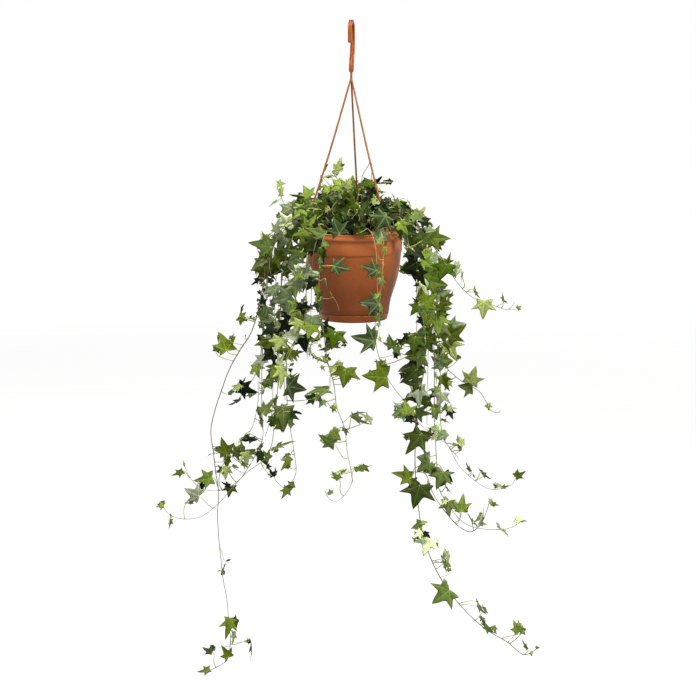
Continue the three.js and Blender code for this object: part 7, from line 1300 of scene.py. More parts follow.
            [-161.6, -16, -540.75, -151.43, -10.6, -549.84, -160.08, -3.38, -542.98, -0.02, -0.7, 0.71, 1.15, 3, 6],
            [-119.29, -15.69, -313.08, -136.95, -11.07, -308.46, -132.21, -1.9, -307.74, 0.89, -0.46, -0.01, 1.15, 0, 9],
            [-128.43, -16.03, -387.45, -134.14, -16.5, -387.54, -131.83, -15.12, -398.97, 0.89, -0.43, 0.13, 1.07, 1, 1],
        ],
    },
    "ivy_vine_left_08": {
        "stems": [
            [1.3, 0.8, -54, 26, -320.5, -54, 26, -306.5, -78, 30, -284.8, -90.8, 32, -281, -102.3, 33.3, -292.6, -113.1, 34.2, -322.4, -116, 34.2, -356.9, -117.1, 34, -381, -118.6, 33.7, -406.3, -119.7, 33.4, -432, -120.6, 33, -457.4, -121.7, 32.5, -492.6, -122.6, 32, -526.6, -123.1, 31.6, -557.5, -125.8, 30.7, -591.5, -135.4, 30, -622.9],
        ],
        "leaves": [
            [-117.8, 33.9, -393.6, -122.8, 25.2, -391.2, -111.5, 22.2, -410.6, 0.29, -0.9, 0.31, 1.15, 0, 9],
            [-120.6, 33, -457.4, -107.4, 24, -455.9, -126.3, 22.4, -464.8, -0.08, -0.94, 0.34, 1.15, 0, 1],
            [-129.4, 30.4, -603.3, -128.2, 24.4, -602.9, -118.1, 23.5, -596.4, 0.21, -0.87, -0.44, 1.15, 1, 2],
            [-116.1, 34.2, -360.1, -120.5, 39.6, -365.9, -143.5, 43.5, -377.9, -0.48, -0.12, 0.87, 1, 3, 3],
            [-119.8, 33.4, -435.2, -130, 43.5, -438.9, -146.5, 45.2, -450.6, -0.54, -0.47, 0.69, 1, 3, 1],
            [-121.7, 32.5, -492.6, -132.3, 32.7, -500.9, -145.2, 48.3, -503.1, -0.7, -0.5, 0.51, 1, 3, 0],
            [-116.64, 34.11, -370.25, -114.07, 21, -369.23, -121.88, 24.07, -346.7, -0.02, -0.99, 0.13, 1, 1, 1],
            [-128.49, 30.45, -602.11, -108.96, 40.6, -608.69, -128.89, 34.78, -593.03, 0.59, -0.6, 0.53, 0.87, 0, 4],
            [-119.23, 33.54, -420.18, -124.46, 31.15, -420.86, -120.7, 38.04, -404.72, 0.77, -0.64, 0.09, 1.13, 2, 8],
            [-123.52, 31.36, -567.59, -117.58, 37.21, -567.74, -125.61, 21.46, -563.72, 0.87, -0.48, -0.13, 0.95, 0, 3],
        ],
    },
    "ivy_vine_left_09": {
        "stems": [
            [1.3, 0.8, -16, -52, -320.5, -16, -52, -306.5, -35.8, -67.2, -296.6, -48.6, -79.4, -298.9, -57, -94, -320.9, -60, -97.6, -348.8, -61.1, -98.3, -378.2, -61.6, -98, -407.2, -63.6, -98, -442.3, -67.6, -98, -478.8],
            [0.8, 0.66, -60, -97.6, -348.8, -98.1, -73.8, -353.7, -99.6, -73.8, -365.4, -101.8, -75.1, -376.9],
            [0.8, 0.66, -99.6, -73.8, -365.4, -90.8, -76.6, -360.6, -94.4, -78.1, -367.7, -98.1, -77.8, -375.1],
            [0.84, 0.7, -57, -94, -320.9, -77.3, -76.5, -324.3, -75.4, -78.9, -335.6, -72.6, -78.5, -347.3],
        ],
        "leaves": [
            [-61, -98.2, -374.5, -56.2, -107.4, -374, -49.8, -111.8, -390.7, 0.82, -0.4, 0.42, 0.85, 0, 4],
            [-60.5, -97.9, -363.5, -58.4, -102.3, -363.1, -68.4, -106.7, -378.4, 0.53, -0.84, -0.1, 1.15, 0, 0],
            [-66.6, -98, -469.7, -60.2, -106.3, -469.3, -51.5, -110.9, -480.9, -0.81, -0.37, -0.46, 0.85, 1, 3],
            [-64.6, -98, -451.4, -61.6, -105.4, -451.2, -54.3, -106.5, -445.9, 0.24, -0.83, -0.5, 1.15, 0, 5],
            [-65.1, -98, -455.9, -50.1, -105.4, -456.3, -46.5, -106.3, -461.3, 0.26, -0.9, 0.35, 1.15, 2, 4],
            [-62.71, -97.99, -429.96, -60.48, -103.29, -428.99, -65.93, -121.9, -446.3, 0.2, -0.7, 0.69, 1.01, 0, 4],
            [-66.27, -98, -467.28, -64.76, -100, -467.2, -59.47, -83.33, -454.13, 0.97, -0.2, -0.14, 0.94, 0, 6],
        ],
    },
    "ivy_vine_left_10": {
        "stems": [
            [1.3, 0.8, -41, 41, -320.5, -41, 41, -306.5, -58.7, 47, -287.7, -80.9, 54, -277, -95.4, 57.1, -290.7, -105.2, 58.8, -318, -108.1, 59, -347.1, -110, 58.9, -375.9, -110.6, 58.2, -405.1, -110.5, 57.4, -435.5, -109.8, 56.4, -466.5, -108.6, 55.3, -495.8, -107.1, 54.3, -523.7, -105.7, 53.3, -557.5, -105.3, 53, -569.7],
        ],
        "leaves": [
            [-108.3, 59, -350.7, -94.9, 54.7, -349.3, -88.7, 45.8, -375.8, -0.01, -0.95, 0.31, 1.15, 0, 6],
            [-110.1, 58.7, -383.2, -73, 52.7, -382.7, -77.6, 49.7, -403.8, -0.65, -0.72, 0.24, 1.15, 1, 1],
            [-110.5, 57.7, -424.1, -99, 51.9, -423.3, -110.5, 48.5, -439, -0.13, -0.95, 0.3, 1.15, 0, 6],
            [-102.7, 58.4, -311, -109.5, 57.4, -315.4, -126.6, 57, -335.1, -0.59, 0.64, 0.5, 1, 3, 4],
            [-110.6, 58, -412.6, -116.9, 63, -401.1, -130.2, 82.3, -412.5, -0.35, 0.29, 0.89, 1, 3, 0],
            [-56.08, 46.13, -289.71, -54.19, 54.18, -291.91, -31.53, 59.01, -301.64, 0.12, -0.97, -0.2, 0.98, 0, 0],
            [-107.12, 54.32, -523.2, -96.78, 55.91, -521.78, -95.9, 50.83, -527.9, -0.35, -0.74, 0.57, 1, 3, 0],
        ],
    },
    "ivy_vine_front_01": {
        "stems": [
            [1.6, 0.9, -8, -55, -320.5, -8, -55, -306.5, -29, -70.6, -291.6, -39.5, -82.6, -296.7, -46.4, -93.2, -316.1, -49.3, -96.6, -350.3, -49.8, -95.5, -385.6, -46.6, -93, -418.2, -42.5, -90.5, -450.6, -37.8, -89.4, -484.9, -28.9, -87.8, -517.4, -24.6, -85.9, -552.4, -13.4, -86, -583.5, -9.4, -86, -618.6, -3.1, -86, -652.9, -3.3, -86, -668.2, -24, -86, -693.6, -35, -86, -690.9, -42.9, -86, -677.5],
            [0.62, 0.5, -49.2, -95.5, -386.5, -44.3, -92, -390.9, -37.9, -87, -392.5, -30, -82, -390.8],
            [0.6, 0.5, -30, -82, -390.8, -25.7, -79, -397.6, -22.8, -77, -404.4, -20.9, -76, -411.9],
            [0.55, 0.45, -30, -82, -390.8, -32.2, -81, -387, -34.3, -80, -382.8],
        ],
        "leaves": [
            [-32.2, -88.4, -505.2, -38.1, -96.7, -524.7, -73.5, -104.6, -530.6, -0.1, -0.25, 0.96, 0.85, 0, 3],
            [-12.9, -86, -587.8, -1, -89.7, -563.3, 27.2, -94.6, -578.6, -0.48, -0.47, -0.74, 0.85, 0, 5],
            [-48.6, -95.7, -341.5, -28.4, -99, -343.3, -2.5, -101.3, -348.4, -0.06, -0.99, 0.14, 0.85, 0, 10],
            [-31.1, -88.2, -509.3, -11.2, -96.8, -493, -15.5, -104.5, -520.8, 0.01, -0.96, 0.26, 1.15, 0, 4],
            [-7.8, -86, -627.5, -29.5, -93, -605.1, -53.2, -87.4, -592.9, -0.32, -0.93, -0.19, 0.85, 0, 3],
            [-41.3, -90.2, -459.1, -25.6, -98.7, -439.1, -32.1, -103.6, -464.7, 0.01, -0.98, 0.19, 1.15, 0, 2],
            [-3.2, -86, -662.6, 2, -92.9, -644.1, 26.1, -94.2, -638.5, 0.11, -0.75, -0.66, 0.85, 1, 5],
            [-17.2, -86, -685.2, -21.5, -94.9, -657.2, -33.2, -99.6, -644.7, -0.2, -0.84, -0.5, 0.85, 0, 5],
            [-49.7, -95.6, -381.3, -50, -97.9, -379.6, -51.4, -100.6, -395.2, 0.75, -0.66, 0.04, 1, 0, 1],
            [-49, -94.9, -393.8, -50.6, -103.9, -393.3, -47, -108.9, -408.5, 0.85, -0.4, 0.34, 1.15, 1, 1],
            [-46.4, -93.2, -316.1, -48.3, -99.7, -317.3, -46.9, -101.1, -330.1, 0.69, -0.71, 0.15, 1.15, 1, 2],
            [-49.5, -96.2, -363.5, -40.5, -104.9, -362, -38.3, -107.3, -374.7, -0.91, -0.42, -0.08, 0.85, 1, 6],
            [-47.8, -94.8, -332.6, -49.1, -98.3, -333.3, -45.6, -98.8, -346.2, -0.77, -0.61, -0.19, 1, 1, 6],
            [-37.8, -89.4, -484.9, -39.4, -94.2, -483.2, -45.9, -95.2, -474.2, -0.02, -0.99, -0.13, 0.85, 0, 7],
            [-24.6, -85.9, -552.4, -45.4, -92.4, -540.4, -50.4, -99.3, -550.9, 0.52, -0.8, 0.28, 1.15, 0, 6],
            [-44.6, -90.4, -311, -43.4, -94.6, -311.4, -31.9, -93.9, -316.6, 0.29, -0.79, 0.54, 1, 0, 3],
            [-48.9, -96.2, -346, -48.4, -100.2, -345.3, -45.6, -101.2, -357.5, -0.58, -0.81, -0.07, 0.85, 1, 3],
            [-4.5, -86, -645.3, -18.6, -94.6, -649, -9, -91.3, -643, 0.51, -0.77, -0.38, 0.85, 2, 5],
            [-39, -89.7, -476.4, -49.5, -96.4, -476.9, -53.2, -98.2, -485.4, 0.81, -0.54, -0.23, 1.15, 1, 7],
            [-36.7, -89.2, -489, -47.4, -98.2, -489.1, -40.9, -98.9, -497, 0.52, -0.7, 0.49, 0.85, 1, 3],
            [-25.1, -86.1, -548.1, -27.2, -91.3, -546.6, -29.4, -95, -554.7, 0.58, -0.79, 0.2, 1.15, 1, 7],
            [-38.7, -86, -684.6, -33.2, -94.8, -679.8, -36.2, -91.8, -672.7, -0.24, -0.92, 0.3, 1.15, 0, 3],
            [-38.84, -89.6, -479.23, -42.56, -83.86, -479.68, -31.35, -65.99, -485.33, 0.85, -0.53, 0.02, 0.86, 1, 1],
            [-28.82, -87.77, -517.88, -5.97, -86.06, -512.77, -8.34, -91.89, -505.23, 0.79, -0.58, -0.2, 0.99, 0, 5],
            [-40.78, -84.33, -298.62, -42.08, -83.1, -300.11, -65.11, -90.8, -290.83, 0.37, -0.91, 0.17, 1.02, 2, 3],
            [-34.1, -88.77, -498.63, -27.25, -87, -497.28, -22.53, -70.34, -483.85, -0.51, -0.45, 0.73, 0.95, 0, 7],
            [-4.28, -86, -644.8, 12.17, -76.54, -641.7, 23.19, -80.6, -650.96, -0.22, -0.96, 0.15, 0.9, 2, 3],
            [-14.22, -85.98, -580.66, -31.39, -81.58, -586.08, -18.76, -93.77, -600.74, -0.51, -0.82, 0.24, 1.04, 2, 5],
            [-47.46, -94.68, -322.8, -44.75, -83.44, -324.61, -44.6, -96.5, -347.09, -0.54, -0.73, 0.42, 0.85, 1, 1],
            [-40.78, -84.33, -298.62, -20.78, -102.73, -296.19, -29.74, -98, -272.36, -0.37, -0.93, 0.05, 1.1, 0, 10],
            [-13.52, -86, -583.07, 26.31, -80.85, -573.79, 5.03, -83.62, -559.29, 0.56, -0.37, 0.74, 0.93, 1, 6],
            [-43.95, -91.24, -439.6, -46.3, -80.14, -438.16, -25.18, -65.09, -440.01, 0.58, -0.8, 0.15, 1.08, 0, 0],
            [-40.56, -89.91, -466.86, -31.88, -80.75, -464.93, -40.57, -97.34, -449.18, 0.13, -0.72, -0.68, 1.15, 0, 3],
            [-3.5, -86, -649.73, -23.79, -81.57, -653.15, -22.49, -60.54, -653.39, -0.48, 0.04, 0.88, 0.96, 0, 7],
            [-41.14, -90.05, -461.89, -12.22, -84.62, -459.02, -18.85, -88.04, -461.9, 0.31, -0.89, 0.34, 0.98, 0, 0],
            [-14.49, -59.54, -299.32, -6.77, -69.52, -300.74, -0.98, -56.96, -289.63, -0.16, -0.61, 0.77, 1.15, 1, 0],
            [-13.52, -86, -583.07, -13.24, -87.78, -583.4, -10.92, -82.74, -596.8, -0.66, -0.65, -0.36, 1.14, 1, 5],
            [-36.83, -89.22, -489.02, -19.85, -104.07, -485.86, -14.79, -96.45, -484.4, 0.67, -0.54, 0.5, 1.02, 0, 3],
            [-42.97, -90.72, -447.02, -50.45, -85.37, -446.82, -58.95, -99.13, -449.77, 0.85, -0.47, -0.23, 1.03, 3, 5],
            [-26.46, -86.43, -540.2, -51.18, -82.94, -541.73, -55.34, -70.82, -531.67, -0.55, -0.64, 0.54, 1.03, 1, 7],
            [-38.39, -89.51, -481.69, -49.29, -78.28, -483.82, -59.95, -60.83, -475.35, 0.6, -0.03, 0.8, 0.98, 0, 7],
            [-10.92, -86.01, -602.87, -46.33, -81.27, -606.38, -34.19, -72.2, -593.42, 0.08, -0.85, 0.52, 0.85, 2, 7],
            [-24.56, -85.9, -552.54, -28.45, -80.49, -552.66, -31.48, -73.3, -564.36, -0.62, -0.73, -0.29, 1.04, 1, 5],
            [-16.65, -85.91, -573.58, -3.06, -65.34, -569.24, 17.89, -66.62, -562.84, -0.3, -0.2, 0.93, 0.95, 2, 3],
            [-30.53, -88.16, -510.59, 2.22, -87.45, -502.15, 9.71, -77.24, -512.97, -0.87, 0.12, -0.48, 0.91, 0, 5],
        ],
    },
    "ivy_vine_front_02": {
        "stems": [
            [1.6, 0.9, 14, -54, -320.5, 14.3, -56, -303.4, 17.7, -74, -291.3, 26.1, -88, -298.5, 31.4, -93.6, -318.1, 33.3, -93.2, -352.2, 34.3, -88, -387.6, 32, -82.6, -422.9, 32, -80, -455.3, 39.1, -78, -486.8, 53.9, -74.7, -518.8, 74.4, -70.6, -546.6, 93.1, -68.9, -576.5, 118.4, -69, -598.3, 137.8, -69, -612.1, 154.8, -69, -642.8, 178.2, -69, -665.9, 204.1, -69, -680.1, 233, -69, -673.8, 241.1, -69, -661.3],
        ],
        "leaves": [
            [32, -80, -455.3, 31.3, -85.1, -454.6, -4.7, -85.9, -447.1, 0.05, -0.99, 0.15, 1.15, 1, 10],
            [50.2, -75.5, -510.8, 47.1, -84.3, -508.3, 11.3, -85.5, -505.4, 0.05, -0.98, 0.19, 1, 0, 4],
            [33.4, -86, -400.9, 35.8, -86, -400.2, 6.1, -87.1, -397.1, 0.09, -0.83, 0.55, 1, 0, 10],
            [33.3, -93.2, -352.2, 32.5, -99.7, -349.7, 7.2, -100.1, -341.7, 0.11, -0.95, 0.3, 0.85, 0, 10],
            [40.9, -77.6, -490.7, 97.9, -100.8, -464.9, 72.5, -104.2, -471, -0.09, -0.66, 0.74, 1.15, 0, 1],
            [81.5, -70, -557.9, 75.3, -73.8, -559.1, 55.6, -72, -568.5, -0.05, -0.99, -0.09, 1.15, 0, 6],
            [83.8, -69.7, -561.7, 79, -76, -564.6, 74.5, -76, -543, 0.01, -1, 0, 1.15, 0, 5],
            [169.6, -69, -657.4, 173.3, -74, -651, 165.3, -69.1, -637.8, -0.81, -0.5, -0.3, 0.85, 1, 3],
            [241.1, -69, -661.3, 239.6, -76.3, -658.8, 254.8, -77.6, -650.1, 0.08, -0.95, -0.29, 0.85, 0, 4],
            [143.9, -69, -623.1, 160.4, -72.2, -612.1, 154.4, -71.1, -596.5, 0.73, -0.6, 0.32, 0.85, 0, 7],
            [141.7, -69, -619.2, 153.8, -72.3, -612.8, 136.1, -71, -608.6, 0.22, -0.14, 0.96, 1, 1, 3],
            [181.5, -69, -667.7, 190.3, -73.1, -653.5, 201.8, -79.5, -662.5, -0.69, -0.47, -0.54, 1, 0, 3],
            [219.2, -69, -676.8, 218.1, -72.4, -674.9, 205.5, -71.4, -669.4, 0.36, -0.33, 0.87, 1, 1, 6],
            [241.1, -69, -661.3, 240.7, -72.6, -660.4, 241.4, -71.5, -649.3, -0.59, -0.8, 0.11, 1.15, 2, 4],
            [181.5, -69, -667.7, 191.2, -80.9, -650.8, 183, -81.1, -645.2, -0.46, -0.56, -0.69, 0.85, 2, 3],
            [39.1, -78, -486.8, 42.6, -85.5, -487.7, 47, -83.9, -481.3, 0.55, -0.82, -0.17, 1.15, 2, 7],
            [172.5, -69, -660.3, 176.4, -73, -656.5, 179.2, -75.4, -661.3, -0.75, -0.65, -0.12, 0.85, 2, 0],
            [18.76, -76.35, -291.38, 8.15, -80.52, -298, 17.1, -76.3, -283.82, 0.26, -0.96, 0.12, 1.15, 0, 2],
            [31.4, -80.71, -444.87, 27.86, -72.48, -443.91, 30.33, -81.96, -432.8, -0.28, -0.76, -0.59, 0.8, 1, 7],
            [37.46, -78.39, -481.68, 58.74, -80.15, -476.06, 69.14, -75.68, -476.25, 0.34, -0.78, 0.52, 0.95, 0, 0],
            [33.57, -92.58, -358.33, 28.33, -90.51, -357.44, 26.04, -97.66, -362.41, 0.14, -0.6, 0.79, 1.09, 2, 3],
            [90.95, -68.99, -573.72, 87.8, -60.85, -577.26, 68.96, -62.43, -564.81, 0.32, -0.87, 0.38, 1.02, 2, 0],
            [43.42, -76.98, -498.07, 21.44, -78.95, -506.5, 33.61, -75.28, -498.66, 0.04, -0.93, 0.37, 0.97, 2, 4],
            [75.38, -70.46, -548.15, 61.31, -58.69, -556.75, 59.63, -66.93, -574.5, 0.95, -0.32, 0.06, 0.84, 1, 5],
            [32.14, -82.97, -419.99, 30.37, -86.02, -419.23, 36.5, -65.85, -404.55, 0.72, -0.54, 0.44, 1.12, 0, 3],
            [141.59, -69, -617.55, 155.88, -59.62, -609.51, 153.22, -52.34, -600.04, -0.87, -0.48, 0.12, 0.9, 1, 7],
            [33.46, -92.84, -355.85, 38.15, -82.65, -353.59, 26.52, -85.17, -358, 0, -0.86, 0.5, 0.98, 0, 4],
            [40.66, -77.63, -491.13, 45.46, -72.84, -489.28, 32.34, -63.91, -503.21, -0.34, -0.9, -0.26, 1.13, 1, 5],
            [33.01, -84.77, -407.66, 20.58, -76.54, -404.14, 10.23, -75.06, -402.77, -0.15, -0.98, -0.1, 0.84, 3, 8],
            [84.18, -69.42, -563.23, 64.89, -52.96, -575.06, 62.83, -42.84, -568.38, -0.01, -0.55, 0.83, 0.94, 0, 5],
            [210.23, -69, -680.3, 209.53, -60.36, -677.67, 216.01, -62.14, -673.33, -0.46, -0.81, 0.36, 1.09, 0, 1],
            [220.12, -69, -678.93, 219.88, -57.03, -679.71, 232.99, -56.95, -676.62, 0.1, -0.91, -0.4, 0.8, 1, 7],
        ],
    },
    "ivy_vine_front_03": {
        "stems": [
            [1.2, 0.7, 26, -48, -320.5, 26, -48, -306.5, 32, -69.5, -289.2, 36.4, -81.4, -290.9, 42.4, -96, -307.2, 42, -101.7, -338, 39.5, -100.4, -369.1, 37.1, -96, -402.8, 36.7, -91.6, -438, 37.3, -92, -453.4],
        ],
        "leaves": [
            [40.1, -100.7, -361.2, 38.9, -103.9, -360.7, 44, -104.9, -377.2, -0.7, -0.7, -0.17, 0.85, 0, 7],
            [37.4, -96.6, -398.5, 37, -100.8, -399.5, 42.8, -100.2, -417, 0.85, -0.44, 0.27, 0.85, 1, 3],
            [42.4, -96.6, -310.6, 36.7, -103.4, -310.5, 39.5, -100.6, -297.2, -0.49, -0.83, 0.28, 0.85, 0, 7],
            [42.3, -98, -318.1, 43.7, -106.7, -315.8, 43.1, -107.6, -330.8, -0.72, -0.69, 0.07, 0.85, 1, 5],
            [42, -101.7, -338, 41.6, -108.6, -337.8, 42.4, -108.9, -346.4, 0.91, -0.4, 0.09, 0.85, 1, 6],
            [37, -94.9, -411.9, 34.8, -101.9, -411.7, 32.7, -103.4, -418, -0.79, -0.48, 0.38, 0.85, 2, 5],
            [37.1, -91.9, -447.9, 36.4, -99.5, -447.8, 40, -100.4, -452.8, 0.25, -0.9, 0.36, 1, 0, 7],
            [42.1, -101, -334.1, 36, -105.9, -331, 33.8, -105.8, -326, 0.73, -0.59, 0.34, 0.85, 2, 5],
            [36.8, -92.6, -430.2, 35.6, -100.3, -426.5, 35.6, -101.8, -432.8, -0.22, -0.95, 0.23, 1, 0, 5],
            [39.19, -88.06, -296.18, 37.73, -77.05, -306.63, 39.91, -79.88, -282.85, 0.26, -0.96, -0.14, 0.98, 0, 6],
            [38.07, -98.21, -387.08, 35, -102.39, -387.23, 28.15, -93.61, -383.71, -0.4, -0.59, 0.7, 1.08, 0, 5],
            [37.22, -91.93, -451.59, 47.65, -101.93, -451.58, 51.3, -96.03, -444.79, 0.89, -0.45, -0.09, 0.97, 0, 3],
        ],
    },
    "ivy_vine_right_long": {
        "stems": [
            [1.6, 0.9, 46, -22, -320.5, 47.9, -23, -301.5, 61.8, -30.3, -279.3, 67.2, -33.5, -279.3, 77.6, -40.7, -308, 85.3, -43.1, -342.2, 95.7, -44, -373.8, 99, -44, -407.8, 102.3, -44, -438.9, 105.2, -44, -472.6, 104.1, -44, -504.9, 98.1, -44, -536.5, 92.8, -44, -571, 92.4, -44, -607, 91.6, -44, -639.6, 93.1, -44, -673.8, 96.8, -44, -709.3, 101.3, -44, -741.6, 109.2, -42, -773.2, 121, -40.6, -804.8, 137.6, -40, -835.6, 156.9, -40, -862.3, 179.8, -40, -887.6, 205, -40, -908.9, 233.9, -40, -926.4, 260.4, -40, -946.7, 278.1, -40, -937.9, 281.7, -40, -934.4],
            [1.2, 0.8, 92.2, -44, -659.8, 107, -39.5, -662.9, 119, -37.1, -694, 137.6, -36, -722.8, 160, -36, -746.9, 176.8, -36, -754.3, 191.3, -36, -743.3, 204.4, -36, -708.9],
        ],
        "leaves": [
            [92.4, -44, -602.6, 100.7, -52.5, -600.6, 75.8, -60.5, -629.3, -0.16, -0.91, 0.39, 0.85, 0, 1],
            [104.2, -44, -500.9, 99.5, -47.1, -496.8, 64.8, -47, -505.9, -0.15, -0.8, 0.58, 1, 0, 10],
            [94, -44, -682.7, 98.4, -51.1, -678.8, 89.2, -62.1, -712.9, 0.18, -0.95, 0.26, 1.15, 0, 1],
            [98.9, -44, -532.5, 95.1, -51.5, -529.8, 97.2, -60.8, -559.7, 0.16, -0.94, 0.3, 0.85, 0, 8],
            [101.3, -44, -741.6, 103.4, -47.1, -736.8, 89.1, -52.9, -767, -0.83, -0.33, 0.45, 1.15, 1, 5],
            [104.8, -44, -484.8, 104.5, -48.5, -483.9, 74.3, -47.4, -485.5, -0.05, -0.93, 0.37, 1.15, 0, 1],
            [142.4, -40, -842.3, 144.3, -45.6, -842.5, 118.3, -52.9, -862.7, 0.13, -0.97, 0.19, 1.15, 0, 3],
            [92.2, -44, -652.3, 84.1, -52.1, -667.8, 55.6, -56, -657.3, 0.31, -0.76, 0.57, 0.85, 0, 4],
            [152.2, -36, -738.5, 161.9, -44.1, -720.6, 164.9, -32.2, -694.8, -0.27, -0.86, 0.43, 1, 1, 5],
            [187.3, -36, -746.3, 189.1, -44.8, -739.8, 197.5, -37.7, -713.9, 0.92, -0.34, -0.2, 1.15, 1, 6],
            [107.2, -42.5, -765.3, 114.2, -45.5, -762.1, 104.1, -56.1, -786.3, -0.17, -0.88, 0.45, 1.15, 0, 9],
            [105.3, -40, -662.5, 113.2, -47.4, -644.5, 93.7, -52.2, -657.8, 0.04, -0.96, 0.29, 1.15, 0, 3],
            [93.5, -44, -566.7, 92.5, -49.8, -567.1, 116.1, -51.7, -569.8, -0.11, -0.91, -0.39, 1, 0, 3],
            [159.7, -40, -865.4, 189, -46.6, -863.4, 201.2, -57.8, -878.6, -0.83, -0.43, -0.35, 1, 1, 6],
            [118, -41, -796.9, 136.4, -44.4, -797.4, 136.6, -36.2, -778.1, -0.96, -0.26, 0.13, 1.15, 1, 6],
            [118, -41, -796.9, 136.7, -51.4, -796.1, 140.2, -59.6, -814.7, -0.95, -0.31, -0.04, 0.85, 0, 5],
            [226.7, -40, -922, 250.3, -46, -908.5, 242.3, -39, -891.2, -0.57, -0.82, 0.07, 0.85, 0, 5],
            [198.7, -40, -903.6, 200, -47, -899.5, 216.5, -51.9, -910.5, -0.53, -0.7, -0.48, 0.85, 0, 5],
            [198.7, -40, -903.6, 201.1, -43.4, -901.5, 191.7, -34.8, -887, -0.85, -0.44, -0.29, 1.15, 1, 4],
            [179.8, -36, -752, 178.9, -40.6, -741, 170.9, -33.6, -724.3, 0.87, -0.15, 0.48, 0.85, 1, 3],
            [260.4, -40, -946.7, 264.3, -46.9, -935.1, 255.7, -39.2, -922, -0.85, -0.43, -0.3, 1, 1, 5],
            [103.3, -43.5, -749.5, 100.4, -66.8, -745.3, 87.6, -73, -754.3, 0.38, -0.92, 0.09, 1.15, 1, 9],
            [155, -36, -741.5, 164.6, -37.9, -720.8, 174.5, -34.8, -713.8, 0.46, -0.84, -0.29, 1.15, 2, 3],
            [187.3, -36, -746.3, 187, -43.6, -744, 179.4, -43, -733.3, -0.76, -0.4, -0.52, 0.85, 2, 5],
            [100.7, -44, -737.6, 100.1, -55.2, -736.2, 111.3, -53.9, -733.4, -0.09, -0.7, 0.71, 1, 2, 5],
            [107, -39.5, -662.9, 114.8, -44.5, -649, 124.6, -44.7, -655.8, -0.19, -0.95, -0.25, 1.15, 0, 8],
            [204.4, -36, -708.9, 207.6, -42.8, -708.6, 218.8, -43.4, -711.6, -0.17, -0.87, -0.46, 0.85, 0, 5],
            [162.6, -40, -868.6, 189.6, -39.3, -867.3, 186, -35.1, -857.6, -0.91, -0.38, -0.18, 0.85, 2, 1],
            [191.3, -36, -743.3, 190.3, -39.3, -742.1, 200.6, -42.4, -741.2, -0.19, -0.39, 0.9, 1.15, 2, 6],
            [204.4, -36, -708.9, 207, -40.1, -707.8, 201.8, -38.9, -700.1, 0.43, -0.8, 0.42, 0.85, 0, 7],
            [269.6, -40, -942.1, 270.3, -48.4, -937.8, 269.9, -53, -944.9, -0.69, -0.59, 0.42, 1.15, 2, 7],
            [280, -40, -936, 277, -48.4, -932.3, 283.6, -50.2, -930.8, -0.16, -0.9, -0.41, 1, 0, 5],
            [84.3, -42.8, -338, 97, -53.2, -339.3, 122.6, -48.3, -353.1, 0.38, -0.82, 0.42, 1, 3, 5],
            [98.2, -44, -399.4, 106.5, -51.2, -410.4, 120.3, -62.6, -429.1, 0.34, -0.68, 0.66, 1, 3, 3],
            [80.99, -42.17, -322.58, 83.52, -40.2, -321.89, 97.42, -39.65, -299.93, -0.26, -0.95, 0.19, 1.15, 2, 1],
            [74.96, -39.01, -298.56, 70.88, -49.9, -297.02, 95.85, -52.98, -303.58, -0.04, -0.96, 0.29, 0.99, 0, 1],
            [89.25, -43.57, -353.93, 70.21, -44.21, -360.14, 78.29, -42.21, -342.37, 0.22, -0.98, 0.01, 0.85, 2, 4],
            [93.3, -44, -676.28, 85.13, -30.48, -676.59, 101.31, -45.81, -679.53, -0.51, -0.65, 0.56, 0.89, 2, 4],
            [95.44, -44, -551.54, 77.45, -37.88, -547.62, 96.64, -54.88, -550.76, -0.29, -0.48, 0.83, 0.99, 1, 1],
            [207.15, -40, -910.34, 212.82, -38.71, -901.11, 217.12, -42.3, -914.84, -0.63, -0.77, 0, 0.91, 1, 7],
            [124.32, -40.4, -811.78, 138.18, -36.63, -803.81, 148.87, -24.74, -812.99, 0.81, -0.47, 0.34, 1.11, 1, 5],
            [97.92, -44.05, -392.74, 98.37, -45.52, -392.45, 94.97, -30.35, -385.6, -0.89, -0.34, 0.31, 1.08, 0, 4],
            [120.09, -40.67, -802.73, 144.26, -42.46, -793.36, 136.33, -28.21, -781.47, -0.74, -0.62, 0.25, 0.85, 2, 9],
            [78.87, -41.34, -312.84, 73.97, -42.77, -314.45, 77.51, -45.92, -323.48, 0.32, -0.85, 0.42, 0.86, 2, 6],
            [103.18, -43.56, -750.56, 104.5, -50.02, -751.52, 115.58, -53.38, -759.69, 0.16, -0.81, 0.56, 0.97, 2, 0],
            [183.87, -40, -891.46, 198.07, -38.28, -876.57, 203.54, -20.83, -877.98, 0.79, -0.2, 0.59, 0.8, 3, 3],
            [92.31, -44, -583.84, 95.45, -31.6, -584.45, 87.46, -43.83, -582.79, 0.81, -0.49, 0.32, 1.05, 0, 0],
            [195.13, -36, -736.21, 192.16, -29.25, -733.92, 189.18, -3.56, -736.65, -0.9, -0.06, 0.43, 0.96, 2, 7],
            [238.81, -40, -930.33, 259.48, -43.22, -908.49, 247, -34.28, -905.42, -0.58, -0.81, 0, 0.85, 0, 5],
            [105.53, -42.88, -760.26, 92.13, -26.3, -762.18, 99.13, -38.52, -764.74, -0.67, -0.5, 0.55, 1.04, 3, 0],
            [191.33, -40, -898.12, 197.15, -28.74, -891.29, 193, -26.68, -898.56, -0.34, -0.94, -0.08, 1.11, 0, 7],
            [92.35, -44, -608.84, 76.43, -45.95, -608.63, 84.11, -40.54, -604, 0.17, -0.77, 0.61, 1.11, 1, 1],
            [234.91, -40, -927.2, 251.12, -24.97, -906.46, 252.36, -22.28, -895.34, 0.61, -0.78, 0.12, 1.13, 1, 6],
            [115.64, -37.53, -684.91, 112.06, -38.31, -684.99, 110.42, -35.54, -671.72, 0.73, -0.64, 0.22, 0.84, 1, 8],
            [131.32, -40.13, -825.05, 146.08, -28.53, -817.55, 142.29, -27.64, -809.77, -0.39, -0.92, -0.08, 0.89, 0, 7],
